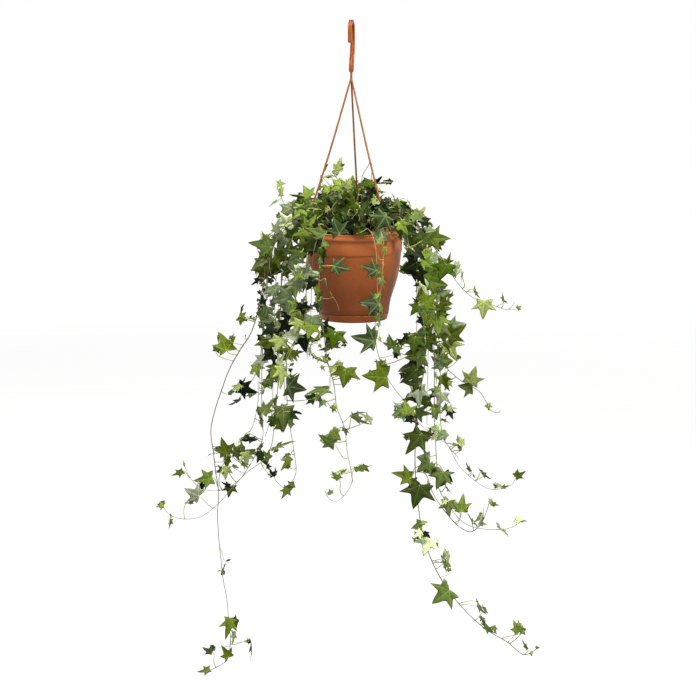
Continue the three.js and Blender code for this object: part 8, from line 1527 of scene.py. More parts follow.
            [111.19, -41.68, -779.4, 126.96, -41.27, -773.59, 113.63, -33.18, -771.48, -0.53, -0.77, -0.35, 0.85, 0, 8],
            [99.78, -44, -415.15, 102.71, -40.16, -415.02, 94.17, -50.82, -400.64, 0.89, -0.4, 0.23, 1.02, 0, 8],
            [139.07, -39.98, -837.89, 142.6, -33.25, -836.68, 136.71, -41.08, -833.42, 0.77, -0.37, 0.52, 1.13, 0, 5],
            [101.4, -44, -430.07, 101.6, -53.54, -430.97, 90.71, -38.14, -433.21, -0.72, -0.57, -0.4, 0.87, 0, 0],
            [91.86, -44, -651.32, 97.22, -41.87, -651.66, 103.21, -28.5, -651.58, 0.83, -0.37, -0.41, 1.15, 0, 9],
        ],
    },
    "ivy_vine_right_02": {
        "stems": [
            [1.4, 0.8, 50, 0, -320.5, 54.1, -0.9, -292.8, 64.8, -2.8, -271.5, 72.5, -3.3, -269.2, 92.8, -3.4, -288.6, 106.7, -10.9, -320.2, 112.6, -13.1, -350.5, 115.5, -13.1, -383.4, 117.1, -13, -418.6, 118.9, -13, -453.8, 120.5, -13, -489.1, 121.2, -13, -524.6, 121.5, -13, -551.7, 121.8, -13, -587.1, 123.5, -13.8, -619.2, 125.7, -14.8, -655, 128.6, -16, -690, 145.6, -17.7, -720.3, 169.3, -18, -746.6, 202.7, -18, -755.5, 237.3, -18, -753.5, 248.8, -18, -747.2],
            [0.64, 0.6, 106.7, -10.9, -320.2, 77.9, -79.1, -326.9, 89.2, -79.2, -347.2, 96.1, -79.4, -367.6, 95.5, -77, -388.3, 98.6, -78.5, -415.2, 103.3, -77.9, -438.1, 104.6, -79.4, -460.7],
        ],
        "leaves": [
            [126.1, -15, -659.4, 134.9, -21.8, -665.3, 124.1, -30.1, -691.1, -0.21, -0.9, 0.38, 1, 0, 3],
            [143.5, -17.5, -716.5, 143.5, -23.8, -710.5, 145, -27.1, -734.6, -0.64, -0.77, 0.06, 1.15, 0, 7],
            [121.5, -13, -548.2, 131.8, -17, -544.1, 124.7, -26.6, -565.2, 0.45, -0.86, 0.24, 1.15, 0, 8],
            [123.1, -13.6, -611.1, 129.9, -19.3, -599.6, 116.5, -18.7, -618.1, -0.15, -0.99, 0.08, 1.15, 0, 9],
            [125.7, -14.8, -655, 137.4, -16, -667.5, 150, -24.5, -680.9, -0.02, -0.85, 0.52, 1.15, 1, 0],
            [143.5, -17.5, -716.5, 147.9, -12.7, -715.8, 162, -20.6, -730.1, 0.15, -0.8, 0.58, 1.15, 1, 8],
            [121.6, -13, -564.7, 123.4, -21.9, -562.2, 118.2, -24.4, -583.1, 0.47, -0.88, -0.01, 1.15, 1, 5],
            [221.1, -18, -754.4, 222.5, -25.2, -753.8, 236.9, -26.6, -765.6, 0.63, -0.02, 0.77, 1.15, 1, 7],
            [120.9, -13, -511.6, 121.7, -17.6, -512.8, 124.6, -22.8, -530.9, 0.92, -0.32, 0.24, 0.85, 1, 6],
            [122.4, -13.3, -599.2, 131.7, -13.8, -600, 112.2, -11.4, -599.7, -0.11, -0.87, 0.48, 1.15, 1, 9],
            [123.1, -13.6, -611.1, 113.9, -26.3, -610.3, 100.5, -22.4, -600.4, 0.1, -0.87, 0.48, 1.15, 0, 2],
            [248.8, -18, -747.2, 250.2, -26.5, -741, 242.2, -21.5, -730.6, -0.32, -0.93, 0.2, 0.85, 0, 9],
            [132.8, -16.4, -697.4, 141, -23.8, -688, 149.3, -26, -699.9, -0.79, -0.36, -0.49, 0.85, 1, 4],
            [121.4, -13, -544.8, 126, -12.4, -544.3, 114, -13.5, -553.7, -0.2, -0.91, 0.35, 1.15, 0, 0],
            [221.1, -18, -754.4, 222.1, -21.4, -753.3, 215.9, -21, -742.5, 0.78, -0.42, 0.46, 1, 2, 6],
            [139.2, -17.1, -708.9, 140.4, -24.1, -708.9, 132.1, -25.5, -717.1, -0.44, -0.69, 0.57, 1, 2, 9],
            [248.8, -18, -747.2, 251.1, -24.4, -741.5, 262.9, -27.3, -739.9, -0.2, -0.28, 0.94, 0.85, 2, 5],
            [96.1, -5.2, -296.1, 106.9, -1.7, -300.2, 122.4, -0.5, -311.3, 0.56, -0.36, 0.74, 1, 3, 6],
            [118, -13, -436.2, 128.1, -17.8, -443.4, 147.8, -22.9, -459.4, 0.43, -0.57, 0.71, 1, 3, 3],
            [124.84, -14.42, -642.15, 114.96, -14.96, -643, 94.98, -13.27, -644.18, -0.09, -0.98, 0.18, 1.1, 1, 8],
            [120.93, -13, -507.26, 134.61, -14.06, -506.41, 115.32, -11.12, -489.23, -0.12, -0.99, 0.04, 0.96, 1, 6],
            [126.98, -15.68, -682.06, 139.15, -9.32, -681.24, 130.51, -17.01, -689.28, 0.33, -0.83, 0.44, 1.01, 2, 3],
            [116.72, -13.02, -409.86, 118.07, -12.62, -408.56, 128.16, -13.76, -413.22, -0.01, -0.98, 0.21, 0.89, 2, 4],
            [126.09, -15.17, -667.1, 126.88, -12.43, -667.01, 104.34, -7.86, -667.89, -0.18, -0.79, 0.58, 0.88, 2, 1],
            [119.57, -13, -467.29, 137.42, -12.8, -466.22, 125.87, -27.25, -456.29, 0.81, -0.58, 0.09, 0.94, 1, 4],
            [138.22, -17.15, -709.54, 141.69, -14.49, -707.16, 137.24, -0.88, -714.4, -0.63, -0.52, -0.58, 0.81, 1, 9],
        ],
    },
    "ivy_vine_right_03": {
        "stems": [
            [1.3, 0.8, 52, 20, -320.5, 53.9, 20.2, -300.5, 69.4, 21.5, -272.2, 77.9, 22.6, -269.9, 99.5, 26, -289.4, 112, 26.9, -316.4, 120, 27.1, -348.2, 124.3, 27, -383.1, 126.4, 27.1, -410.9, 128.2, 26.9, -445.3, 130.4, 26, -479.3, 139.6, 24.7, -511.4, 162.7, 22.7, -533, 192.3, 19.5, -550.9, 210.6, 18, -580.1, 221.3, 18, -581.7, 223.6, 18, -578.2],
        ],
        "leaves": [
            [130.1, 26.1, -475.1, 141.3, 18.9, -471.9, 157.1, 12.4, -502.3, -0.06, -0.98, 0.18, 1.15, 1, 7],
            [129.6, 26.3, -466.6, 143.2, 13.6, -464.2, 170.8, 12.2, -444.9, -0.01, -1, -0.06, 0.85, 0, 4],
            [177.6, 21.1, -542, 176.3, 12.3, -534.5, 185.9, 13.6, -508.6, 0.09, -1, 0.02, 1, 0, 7],
            [145.2, 24.2, -516.6, 134.2, 18.4, -524.9, 145.4, 10.7, -548.1, -0.44, -0.89, 0.08, 1, 1, 4],
            [181.4, 20.7, -544.3, 179.8, 17.5, -542.4, 157.6, 15.2, -539.7, 0.09, -0.99, -0.09, 1.15, 0, 3],
            [137.4, 25, -503.7, 136.3, 19.4, -502.7, 120.3, 18.9, -490.3, 0.27, -0.91, 0.31, 1.15, 0, 6],
            [129, 26.6, -458.1, 135.9, 19, -455.1, 127.7, 19.4, -469.7, 0.15, -0.98, -0.11, 1.15, 0, 3],
            [136.3, 25.2, -499.7, 134.5, 13.5, -499.4, 151, 11.2, -501.2, -0.14, -0.99, -0.04, 1.15, 0, 5],
            [127.5, 27, -432.3, 134.3, 21.5, -430.3, 140.3, 18.8, -443.6, 0.14, -0.96, 0.26, 1, 0, 1],
            [132.7, 25.7, -487.4, 139.2, 19.7, -485.9, 131.7, 22.2, -480.9, -0.29, -0.96, 0.05, 1.15, 0, 9],
            [204.7, 18.5, -570.8, 203.5, 14.3, -570.4, 211.5, 13.9, -572.7, 0.11, -0.82, 0.56, 1.15, 0, 5],
            [204.7, 18.5, -570.8, 204.1, 13.4, -570.2, 198.1, 13.1, -571.7, -0.16, -0.61, 0.78, 1.15, 2, 4],
            [207, 18.3, -574.4, 204.1, 12.6, -574.7, 207.1, 10.8, -578.2, -0.71, -0.65, -0.27, 1.15, 2, 6],
            [115, 27, -328.1, 124.9, 30.5, -320.6, 149.1, 28, -317.1, -0.16, -0.16, 0.97, 1, 3, 3],
            [122.2, 27, -365.8, 134.2, 34.6, -355, 152, 31.9, -363, 0.23, -0.65, 0.72, 1, 3, 3],
            [126.41, 27.1, -411.05, 145.38, 32.73, -409.11, 138.98, 17.05, -396.87, 0.83, -0.51, -0.22, 0.91, 0, 4],
            [153.66, 23.51, -526.11, 145.85, 27.29, -534.32, 138.1, 17.22, -547.95, -0.08, -0.78, 0.62, 0.95, 1, 5],
            [125.22, 27.04, -393.59, 131.38, 24.29, -394.24, 141.3, 31.81, -389.07, -0.12, -0.45, 0.88, 1.05, 2, 1],
            [128.54, 26.74, -453.5, 146.01, 35.95, -452.71, 170.97, 32.58, -446.24, -0.27, -0.64, 0.72, 1.06, 3, 6],
            [141.32, 24.54, -513.83, 163.01, 22.21, -497.99, 153.41, 28.3, -495.94, -0.55, -0.82, -0.15, 0.84, 2, 7],
            [122.85, 27.04, -368.71, 119.55, 26.05, -368.29, 133.76, 17.66, -364.5, -0.54, -0.75, 0.37, 0.92, 2, 4],
            [139.88, 24.67, -511.79, 138.89, 23.48, -512.95, 150.96, 36.76, -505.43, -0.77, 0.42, 0.49, 1.02, 2, 3],
            [132.45, 25.62, -490.71, 133.09, 30.93, -490.65, 117.28, 27.51, -488.41, 0.21, -0.98, -0.03, 1.12, 0, 3],
            [126.84, 27.09, -418.54, 144.33, 18.37, -417.84, 136.04, 31.48, -417.51, -0.35, -0.24, 0.91, 0.9, 0, 3],
        ],
    },
    "ivy_vine_right_04": {
        "stems": [
            [1.4, 0.8, 36, -38, -320.5, 38.1, -39, -301, 54.5, -47.3, -275.5, 65.2, -53.9, -273.8, 86.8, -64.2, -290.2, 111.6, -66.7, -314.4, 131.6, -67.1, -341.5, 149.2, -66, -369.8, 172.1, -64.4, -393, 203.1, -60.7, -405.6, 226.8, -56.6, -412.2, 235.7, -55, -401.8],
        ],
        "leaves": [
            [108.5, -66.4, -311.4, 110.9, -70.6, -306.8, 140, -74, -306.2, -0.12, -0.94, 0.31, 1, 0, 4],
            [133.8, -67, -345, 134.2, -74.4, -343.4, 122.7, -76, -368.8, -0.12, -0.99, 0.11, 1.15, 0, 2],
            [191.7, -62.1, -401, 189.5, -69.7, -398.9, 188, -75.3, -425.3, -0.07, -0.97, 0.21, 1, 0, 7],
            [133.8, -67, -345, 133.9, -67, -345.8, 140.8, -69.4, -325.8, 0.57, -0.77, -0.29, 0.85, 1, 4],
            [157.8, -65.4, -378.5, 158.2, -73.9, -355.2, 156, -77.3, -370.8, -0.96, -0.22, 0.18, 0.85, 1, 7],
            [163.6, -65, -384.4, 176.2, -69.8, -382.7, 183.4, -73.3, -394.7, -0.84, -0.39, -0.39, 1, 1, 7],
            [102.2, -65.8, -305.2, 105.7, -73.4, -297.1, 119.3, -73.6, -294.2, -0.1, -0.91, 0.4, 1.15, 0, 6],
            [142.6, -66.4, -359.3, 152.5, -71.5, -348.9, 148, -76, -361.5, 0.45, -0.88, 0.15, 1.15, 1, 8],
            [209.7, -59.6, -407.4, 218.9, -65.6, -398, 216.2, -61.2, -385.4, -0.92, -0.4, -0.06, 0.85, 1, 5],
            [140.4, -66.5, -355.7, 149.2, -78.7, -348, 152.3, -80.1, -336.9, 0.73, -0.62, -0.28, 1, 0, 8],
            [216.3, -58.4, -409.3, 218.5, -70, -396.7, 225.2, -70, -402.5, -0.6, -0.43, -0.68, 1.15, 1, 7],
            [163.6, -65, -384.4, 175.9, -64.1, -385, 176.6, -62.5, -375.7, -0.73, -0.66, 0.17, 0.85, 2, 7],
            [226.8, -56.6, -412.2, 239.1, -62.1, -410.3, 245.5, -63.6, -405.7, -0.02, -0.96, -0.29, 1.15, 0, 7],
            [195.6, -61.6, -402.6, 196.5, -64.6, -403.3, 202.3, -64.4, -398.6, -0.26, -0.89, 0.38, 1.15, 2, 5],
            [67.3, -54.9, -275.4, 67.8, -63.5, -267.2, 71.6, -75.8, -257.4, 0.8, -0.2, -0.57, 1, 3, 1],
            [136.93, -66.89, -350.16, 149.95, -61.54, -341.41, 147.55, -63.77, -363.48, 0.67, -0.74, 0, 0.92, 2, 8],
            [118.75, -67.04, -323.25, 126.42, -66.52, -316.72, 131.21, -68.07, -303.46, 0.39, -0.89, -0.24, 0.96, 2, 4],
        ],
    },
    "ivy_vine_right_05": {
        "stems": [
            [1.3, 0.8, 56, -12, -320.5, 57.6, -13, -300.9, 70.3, -20.5, -275.1, 77.4, -23.1, -273.7, 96, -27, -296, 106.4, -28.8, -329.9, 111.6, -29.6, -360.5, 114.8, -30.1, -392.5, 116.7, -30, -424.4, 121.3, -30, -455.1, 127, -30, -490.1, 129.6, -30, -521.3, 129.7, -30, -553, 129.6, -30, -582.4, 136.9, -30, -615.4, 156.7, -30, -640.9],
        ],
        "leaves": [
            [116.7, -30, -424.4, 122.2, -37.1, -421.5, 124.5, -42.7, -456.5, 0, -0.99, 0.16, 1.15, 1, 5],
            [115, -30.1, -396.5, 119.8, -38, -396, 144.7, -38.5, -385.6, -0.16, -0.93, 0.33, 1.15, 1, 6],
            [113.2, -29.8, -376.5, 113.7, -38.8, -373.7, 139, -42.5, -379.1, -0.11, -0.98, 0.15, 1.15, 0, 5],
            [107.7, -29, -337.7, 112.2, -33.2, -337.4, 136.6, -30.6, -342.9, 0.22, -0.77, 0.6, 1.15, 1, 6],
            [116.2, -30, -416.5, 122.2, -36, -416.4, 145.7, -37.5, -412.5, -0.16, -0.68, 0.71, 1.15, 1, 4],
            [129.7, -30, -537.2, 127.6, -37.2, -535.6, 109.9, -35.2, -536.8, -0.11, -0.42, 0.9, 1.15, 1, 3],
            [115.5, -30.1, -404.5, 127.6, -44.9, -402.5, 145.3, -44.2, -406, 0.02, -0.99, -0.1, 1.15, 0, 4],
            [122, -30, -459.4, 113.8, -33.6, -457.2, 124.1, -38.5, -470.6, -0.01, -0.94, 0.34, 1.15, 0, 4],
            [129.7, -30, -567.7, 143, -34.6, -567.3, 148.6, -37.1, -581.9, -0.23, -0.97, 0.08, 0.85, 0, 1],
            [129.6, -30, -582.4, 131.2, -33.2, -582, 144.7, -34.3, -587.9, 0.38, -0.21, 0.9, 1, 1, 4],
            [129.7, -30, -567.7, 139.8, -38.2, -565, 154.6, -38.2, -563.9, -0.05, -0.66, 0.75, 1.15, 1, 6],
            [105.1, -28.6, -325.7, 122.9, -35.1, -319.5, 129.6, -34.6, -328.4, -0.33, -0.89, -0.3, 1, 0, 1],
            [64.4, -17, -287, 78.4, -28.6, -285.6, 92.6, -36.8, -295.1, 0.36, -0.36, 0.86, 1, 3, 6],
            [124.1, -30, -472.6, 130.9, -43.8, -465.6, 143.5, -53.8, -480.2, 0.67, -0.21, 0.72, 1, 3, 1],
            [133.22, -30, -604.89, 139.88, -27.96, -602.68, 123.23, -33.63, -615.07, 0.18, -0.96, 0.2, 0.97, 2, 6],
            [121.41, -30, -455.8, 107.41, -24.76, -458.6, 120.22, -17.08, -437.33, 0.71, -0.67, -0.19, 1.11, 0, 4],
            [129.44, -30, -562.72, 135.39, -46.09, -564.07, 136.6, -34.74, -553.43, -0.84, -0.32, 0.44, 1.01, 3, 3],
            [151.19, -30, -634.4, 161.95, -34.14, -625.81, 155.35, -22.64, -625.86, -0.86, -0.49, -0.13, 1.08, 2, 3],
            [129.24, -30, -567.72, 121.16, -30.64, -566.2, 123.66, -39.97, -581.35, -0.06, -0.85, 0.52, 1.06, 2, 3],
        ],
    },
    "ivy_vine_right_06": {
        "stems": [
            [1.5, 0.9, 30, -46, -320.5, 30, -46, -306.5, 55.5, -58.8, -284, 57.9, -72.6, -286, 76.1, -84.6, -313.7, 85.8, -87, -345.5, 90.8, -87, -380.8, 91.7, -87, -411.3, 91.2, -87, -442, 91.7, -87, -475.8, 94.3, -87, -510.9, 95.1, -87, -520.7],
        ],
        "leaves": [
            [93.4, -87, -499.3, 90.4, -91.8, -496.1, 66.6, -89.9, -517.2, 0.16, -0.95, -0.26, 0.85, 0, 1],
            [84.6, -86.7, -341.5, 91.4, -94.7, -338.1, 67, -97.6, -350, 0.13, -0.99, -0.03, 1.15, 0, 0],
            [84.6, -86.7, -341.5, 87.6, -82.9, -341, 88.9, -91.3, -367.5, -0.35, -0.9, 0.27, 1.15, 1, 0],
            [91.3, -87, -450.3, 88.3, -102.8, -446.8, 85.3, -108.8, -470.7, -0.03, -0.97, 0.25, 1.15, 0, 2],
            [91.2, -87, -442, 91.3, -95.4, -440.4, 102.8, -102, -457.7, 0, -0.93, 0.36, 1.15, 0, 1],
            [59.6, -73.7, -288.5, 65.7, -79.3, -282.1, 78, -82.5, -302, -0.17, -0.98, 0.06, 1.15, 1, 5],
            [91.6, -87, -471.5, 56.2, -90.4, -462.5, 50.3, -88.8, -443, -0.2, -0.98, 0.02, 0.85, 0, 3],
            [77.3, -84.9, -317.6, 97.8, -91.8, -307.4, 114.3, -89.1, -295.5, -0.04, -0.96, 0.28, 1.15, 0, 1],
            [91.5, -87, -403.7, 93.9, -95.7, -401, 81, -96.8, -416.1, -0.22, -0.94, 0.25, 1, 0, 2],
            [91.5, -87, -463, 61.1, -95.7, -461.6, 67.6, -100.3, -475.5, -0.55, -0.83, 0.02, 1, 0, 3],
            [79.7, -85.5, -325.5, 84.3, -90, -324.2, 70, -90.6, -332.1, 0.04, -1, 0, 1.15, 0, 1],
            [91.3, -87, -446.1, 84.2, -93.3, -444.4, 71.9, -92.3, -441.6, 0.12, -0.63, 0.76, 0.85, 1, 1],
            [91.3, -87, -396.2, 92.3, -98.8, -395.4, 82.7, -97.8, -388.3, -0.39, -0.82, -0.42, 0.85, 1, 1],
            [89.6, -87, -372.1, 93.9, -91.3, -371.1, 84.6, -91, -373.3, -0.19, -0.67, 0.72, 1, 2, 0],
            [93.1, -87, -494.7, 93.3, -92, -495.4, 101.2, -93.4, -492.9, 0.01, -0.86, -0.51, 1, 2, 2],
            [77.3, -84.9, -317.6, 86.7, -94.7, -321.9, 103.1, -96, -335.1, 0.28, -0.86, 0.43, 1, 3, 0],
            [87, -87, -354.3, 102.2, -89.6, -355.1, 125.4, -89.3, -364.4, 0.23, -0.81, 0.53, 1, 3, 2],
            [94.96, -87, -518.99, 96.87, -78.26, -519.2, 72.93, -80.32, -516.89, 0.12, -0.9, 0.43, 0.96, 3, 1],
            [93.53, -87, -501.55, 72.65, -77.04, -502.19, 79.8, -82.49, -515.21, -0.45, -0.89, 0.13, 1.02, 0, 1],
            [91.61, -87, -399.13, 100.6, -88.92, -399.79, 121.2, -83.58, -384.86, 0.12, -0.98, 0.18, 1.13, 0, 4],
            [91.22, -87, -454.12, 74.57, -74.75, -455.34, 54.56, -75.45, -465.01, 0.34, -0.68, -0.65, 0.9, 0, 2],
            [87.09, -87.15, -351.9, 92.38, -102.85, -350.7, 102.74, -114.89, -371.07, -0.82, -0.57, -0.08, 1.09, 3, 0],
            [87.94, -87.18, -356.83, 78.87, -76.87, -357.86, 83, -71.78, -344.52, -0.52, -0.73, 0.44, 1.12, 1, 0],
            [91.2, -87, -444.12, 77.88, -109.14, -442.99, 68.16, -103.2, -450.24, -0.6, -0.79, 0.16, 1.15, 1, 0],
            [68.1, -79.83, -298.88, 63.21, -87.96, -298.18, 68.08, -112.25, -291.68, -0.82, -0.29, -0.48, 0.91, 0, 2],
        ],
    },
    "ivy_vine_right_07": {
        "stems": [
            [1.3, 0.8, 43, 39, -320.5, 43, 39, -306.5, 64.3, 47.6, -283.2, 76.3, 52, -278.3, 91.8, 55.8, -293.2, 104.1, 58.4, -326.3, 108.3, 59, -359, 110.3, 58.3, -393.8, 112, 57.4, -420.9, 113.8, 56.3, -448.6, 114.6, 55.3, -477.1, 114.6, 54.3, -505.9, 113.9, 52.9, -539.5, 113.2, 51.8, -570.9, 113.5, 51.2, -601.1, 113.5, 51, -608.6],
        ],
        "leaves": [
            [105.7, 58.6, -338.5, 107.8, 53.4, -336.9, 108.7, 52.6, -365.1, 0.1, -0.99, 0.03, 1.15, 1, 5],
            [113.1, 56.7, -438.2, 111.5, 51.9, -436.4, 114.3, 42.7, -459.8, 0.15, -0.91, 0.38, 1.15, 0, 4],
            [110.1, 58.4, -389.7, 107.4, 54.4, -386, 113.3, 45.6, -408.7, -0.39, -0.89, 0.24, 1.15, 0, 9],
            [114.6, 55.3, -477.1, 112.4, 48.2, -475.3, 120.9, 46.4, -495.9, -0.3, -0.95, -0.04, 1.15, 0, 3],
            [96.1, 56.7, -304.9, 99.9, 65.2, -308.1, 111.6, 78.5, -323.7, 0.41, 0.51, 0.75, 1, 3, 0],
            [110.7, 58.1, -400.8, 122.5, 65.5, -403.4, 136.6, 75.8, -422.6, 0.61, 0.42, 0.67, 1, 3, 0],
            [62.66, 46.96, -284.46, 64.56, 54.03, -289.06, 58.68, 54.68, -314.37, -0.19, -0.98, 0.02, 0.8, 3, 5],
            [113.2, 51.78, -571.65, 117.9, 51.61, -570.48, 92.04, 51.75, -573.23, 0, -1, -0.01, 0.9, 3, 1],
            [104.83, 58.54, -329.71, 105.09, 63.92, -330.02, 89.31, 70.91, -341.91, -0.45, -0.89, 0.08, 1.02, 0, 2],
        ],
    },
    "ivy_vine_back_01": {
        "stems": [
            [1.3, 0.9, -26, 54, -320.5, -26.8, 55.6, -303, -34, 70, -288, -39.3, 84.1, -302, -41.8, 88.3, -328.1, -41.2, 87, -363.8, -35, 82.7, -395.9, -34, 82, -400],
        ],
        "leaves": [
            [-31.7, 65.4, -292.8, -36.6, 76.6, -293.5, -38.2, 96.4, -290.5, -0.52, -0.17, 0.84, 1, 3, 0],
            [-40.2, 85.6, -311.1, -36.1, 93.7, -309, -42, 110.9, -317.4, -0.1, 0.41, 0.91, 1, 3, 0],
            [-41.5, 87.7, -324.6, -51.9, 92.1, -319.5, -63.3, 113.5, -323.2, -0.02, 0.16, 0.99, 1, 3, 0],
            [-41.5, 87.7, -345.7, -49.1, 100.1, -355.7, -57.7, 116.6, -368, -0.08, 0.57, 0.82, 1, 3, 6],
            [-38.6, 85.2, -377.2, -44.1, 93.2, -379.4, -62, 113, -386.6, 0.33, 0.57, 0.75, 1, 3, 0],
            [-35.5, 83, -393.3, -40.1, 91.7, -392.1, -40.1, 114, -397.7, -0.35, 0.23, 0.91, 1, 3, 4],
            [-41.84, 87.71, -354.69, -34.48, 84.36, -353.35, -20.77, 95.31, -367.54, 0.27, -0.87, -0.41, 0.84, 1, 3],
            [-41.76, 88.25, -327.22, -42.84, 88.82, -327.75, -39.05, 76.68, -316.98, -0.62, -0.62, -0.48, 0.94, 0, 1],
            [-40.76, 86.67, -367.09, -25.61, 85.25, -364.82, -16.08, 84.12, -387.91, -0.35, -0.93, -0.1, 1, 2, 3],
            [-41.38, 87.8, -319.75, -37.29, 87.9, -319.3, -28.5, 99.18, -316.55, 0.79, -0.56, -0.22, 0.81, 2, 2],
        ],
    },
    "ivy_vine_back_02": {
        "stems": [
            [1.3, 0.9, 2, 58, -320.5, 2, 59.6, -302.7, 2, 74, -286, 2.8, 89.9, -300.8, 3.6, 93.7, -326.5, 5.2, 91.2, -360.7, 8, 87.4, -393.4, 9, 86, -404],
        ],
        "leaves": [
            [2.2, 78.9, -290.5, -7.1, 88, -287.2, -9, 111.9, -284.7, 0.27, -0.07, 0.96, 1, 3, 1],
            [2.7, 87.9, -298.9, 13.4, 99, -297.4, 24.8, 111.2, -309.6, -0.16, 0.77, 0.62, 1, 3, 3],
            [3.4, 92.7, -319.7, 8.2, 104.6, -325.4, 18.7, 125.1, -337.9, -0.24, 0.59, 0.77, 1, 3, 4],
            [4.6, 92.2, -347.7, 3.1, 104.4, -345.5, 9.8, 133.1, -345.1, -0.39, 0.08, 0.92, 1, 3, 0],
            [5.6, 90.7, -364.9, 9, 98.1, -359.1, 9.6, 124.7, -366.7, 0.03, 0.27, 0.96, 1, 3, 1],
            [7.7, 87.8, -390.2, 16.3, 95.8, -396.8, 26, 107.2, -412.6, -0.01, 0.82, 0.58, 1, 3, 1],
        ],
    },
    "ivy_vine_back_03": {
        "stems": [
            [1.3, 0.9, 28, 52, -320.5, 28.8, 53.6, -302.9, 36, 68, -288, 43, 82.1, -303.6, 46.1, 86.5, -332.3, 43.6, 83.6, -367.7, 38, 78, -398],
        ],
        "leaves": [
            [33.7, 63.4, -292.8, 42.7, 73.9, -284.5, 61.9, 88.7, -288.5, -0.23, 0.53, 0.82, 1, 3, 3],
            [43.7, 83.1, -310.1, 54.8, 88.4, -299.5, 69.2, 113.3, -297.6, -0.26, 0.08, 0.96, 1, 3, 3],
            [44.5, 84.2, -317.3, 54.4, 92, -321.5, 68.5, 103, -332.4, -0.03, 0.72, 0.69, 1, 3, 3],
            [44.5, 84.7, -354.4, 47.4, 102.1, -360.7, 55.5, 119.9, -379.4, 0.11, 0.7, 0.71, 1, 3, 4],
            [43.6, 83.6, -367.7, 50.9, 86.6, -365.3, 67.2, 95.5, -369.5, -0.21, 0.71, 0.68, 1, 3, 3],
            [40.8, 80.8, -382.9, 49.8, 95.1, -377, 64.3, 108.5, -383.4, -0.13, 0.54, 0.83, 1, 3, 1],
            [45.93, 86.29, -327.08, 42.9, 79.88, -328.39, 53.32, 87.14, -343.98, 0.46, -0.88, -0.1, 1.1, 0, 3],
            [44.62, 84.75, -312.23, 27.79, 94.39, -312.25, 13.33, 91.53, -304.51, 0.28, -0.94, 0.17, 1.09, 1, 3],
        ],
    },
    "ivy_crown_01": {
        "stems": [
            [1.3, 0.8, -6, -8, -320.5, -6.2, -9.4, -287.1, -10.2, -10, -254.6, -26, -10, -221.8],
        ],
        "leaves": [
            [-26, -10, -221.8, -28.1, -16.5, -217.7, -16.7, -13, -192.6, 0.48, -0.87, -0.1, 0.73, 2, 7],
            [-26, -10, -221.8, -31, -3, -220.8, -53.7, -6, -225.6, -0.2, -0.07, 0.98, 1.15, 2, 5],
            [-7.7, -9.6, -274.9, -13.4, -24.4, -283.6, -30.1, -39.4, -279.5, 0.59, -0.49, 0.64, 1, 3, 1],
            [-10.2, -10, -254.6, -20.3, -14.7, -250, -30.6, -27.9, -249.6, 0.17, -0.11, 0.98, 1, 3, 6],
            [-25.9, -10, -222, -16.67, -2.88, -208.38, -29.96, -0.49, -204.76, 0.04, -0.76, 0.65, 0.97, 0, 1],
            [-25.9, -10, -222, -38.97, -7.01, -224.36, -30.59, -4.27, -219.22, -0.34, -0.48, 0.81, 1.1, 2, 5],
            [-7, -9.5, -280.6, 1.1, -8.1, -274.1, -20.5, -4.6, -273, 0.12, 0.44, 0.89, 0.98, 1, 3],
            [-13.4, -10, -248, -15.1, -16.8, -240.8, -26.7, -20.9, -252.6, -0.73, 0.29, 0.62, 0.85, 2, 5],
            [-7, -9.5, -280.6, -10.4, -21.4, -270.1, -11, -23.6, -256.6, -0.02, -0.99, -0.16, 0.86, 1, 1],
        ],
    },
    "ivy_crown_02": {
        "stems": [
            [1.3, 0.8, 8, -22, -320.5, 6.5, -25.8, -285.7, -3.3, -32.4, -251.8, -11.2, -35, -230.9],
        ],
        "leaves": [
            [-8.3, -34.1, -238.5, -9.8, -40.3, -239.2, -17.7, -43.9, -222.2, 0.31, -0.95, -0.05, 1.15, 0, 7],
            [-8.3, -34.1, -238.5, -11.9, -44.7, -235.2, -4, -43.3, -220.8, 0.2, -0.98, -0.02, 1.15, 0, 7],
            [-4.4, -32.8, -249, -10.5, -36.1, -249.8, 1.2, -38.6, -237.9, 0.34, -0.79, -0.5, 1.15, 0, 5],
            [-3.3, -32.4, -251.8, -11.2, -30.6, -251.7, -15.6, -27.8, -238.8, -0.55, -0.84, -0.01, 1.15, 1, 5],
            [6.7, -25.3, -290, 21.5, -27.8, -281.7, 41, -33.2, -279.4, -0.29, -0.86, 0.42, 1, 3, 6],
            [2.8, -28.3, -272.7, -10.6, -33.7, -261.9, -6, -42.4, -245.4, -0.18, -0.89, -0.41, 1, 3, 1],
            [6.5, -25.8, -285.7, -3.6, -27.2, -277.2, 9.8, -30.2, -285.2, 0.54, 0.25, 0.81, 0.92, 3, 3],
            [0.6, -29.8, -265.4, 10, -41.4, -257, 30.6, -31.4, -249.7, -0.48, 0.45, 0.75, 0.83, 3, 1],
            [7.1, -24.3, -299.6, 3.7, -31.8, -287.6, -4.3, -25.2, -270.4, 0.88, -0.13, 0.46, 0.96, 1, 3],
        ],
    },
    "ivy_crown_03": {
        "stems": [
            [1.3, 0.8, 20, -6, -320.5, 18.3, -7.2, -285.9, 24, -10.6, -251.1, 31.4, -14, -232.5],
        ],
        "leaves": [
            [31.4, -14, -232.5, 31.3, -20.2, -230.6, 63.4, -27.8, -229, 0.02, -0.14, -0.99, 0.85, 1, 1],
            [31.4, -14, -232.5, 26.1, -21.4, -231.9, 4.1, -26.1, -232.3, 0.12, -0.62, 0.77, 1, 0, 2],
            [26, -11.5, -246.1, 28.4, -19.4, -243.1, 8.6, -20.9, -250.3, -0.31, -0.27, 0.91, 1.15, 0, 0],
            [28.7, -12.8, -239.3, 32.1, -17.7, -241, 21.8, -20.1, -254.8, 0.31, -0.95, -0.06, 0.85, 0, 3],
            [31.4, -14, -232.5, 28.6, -4.6, -232.5, 42.8, -6.1, -221.8, 0.45, -0.59, -0.68, 1.15, 2, 0],
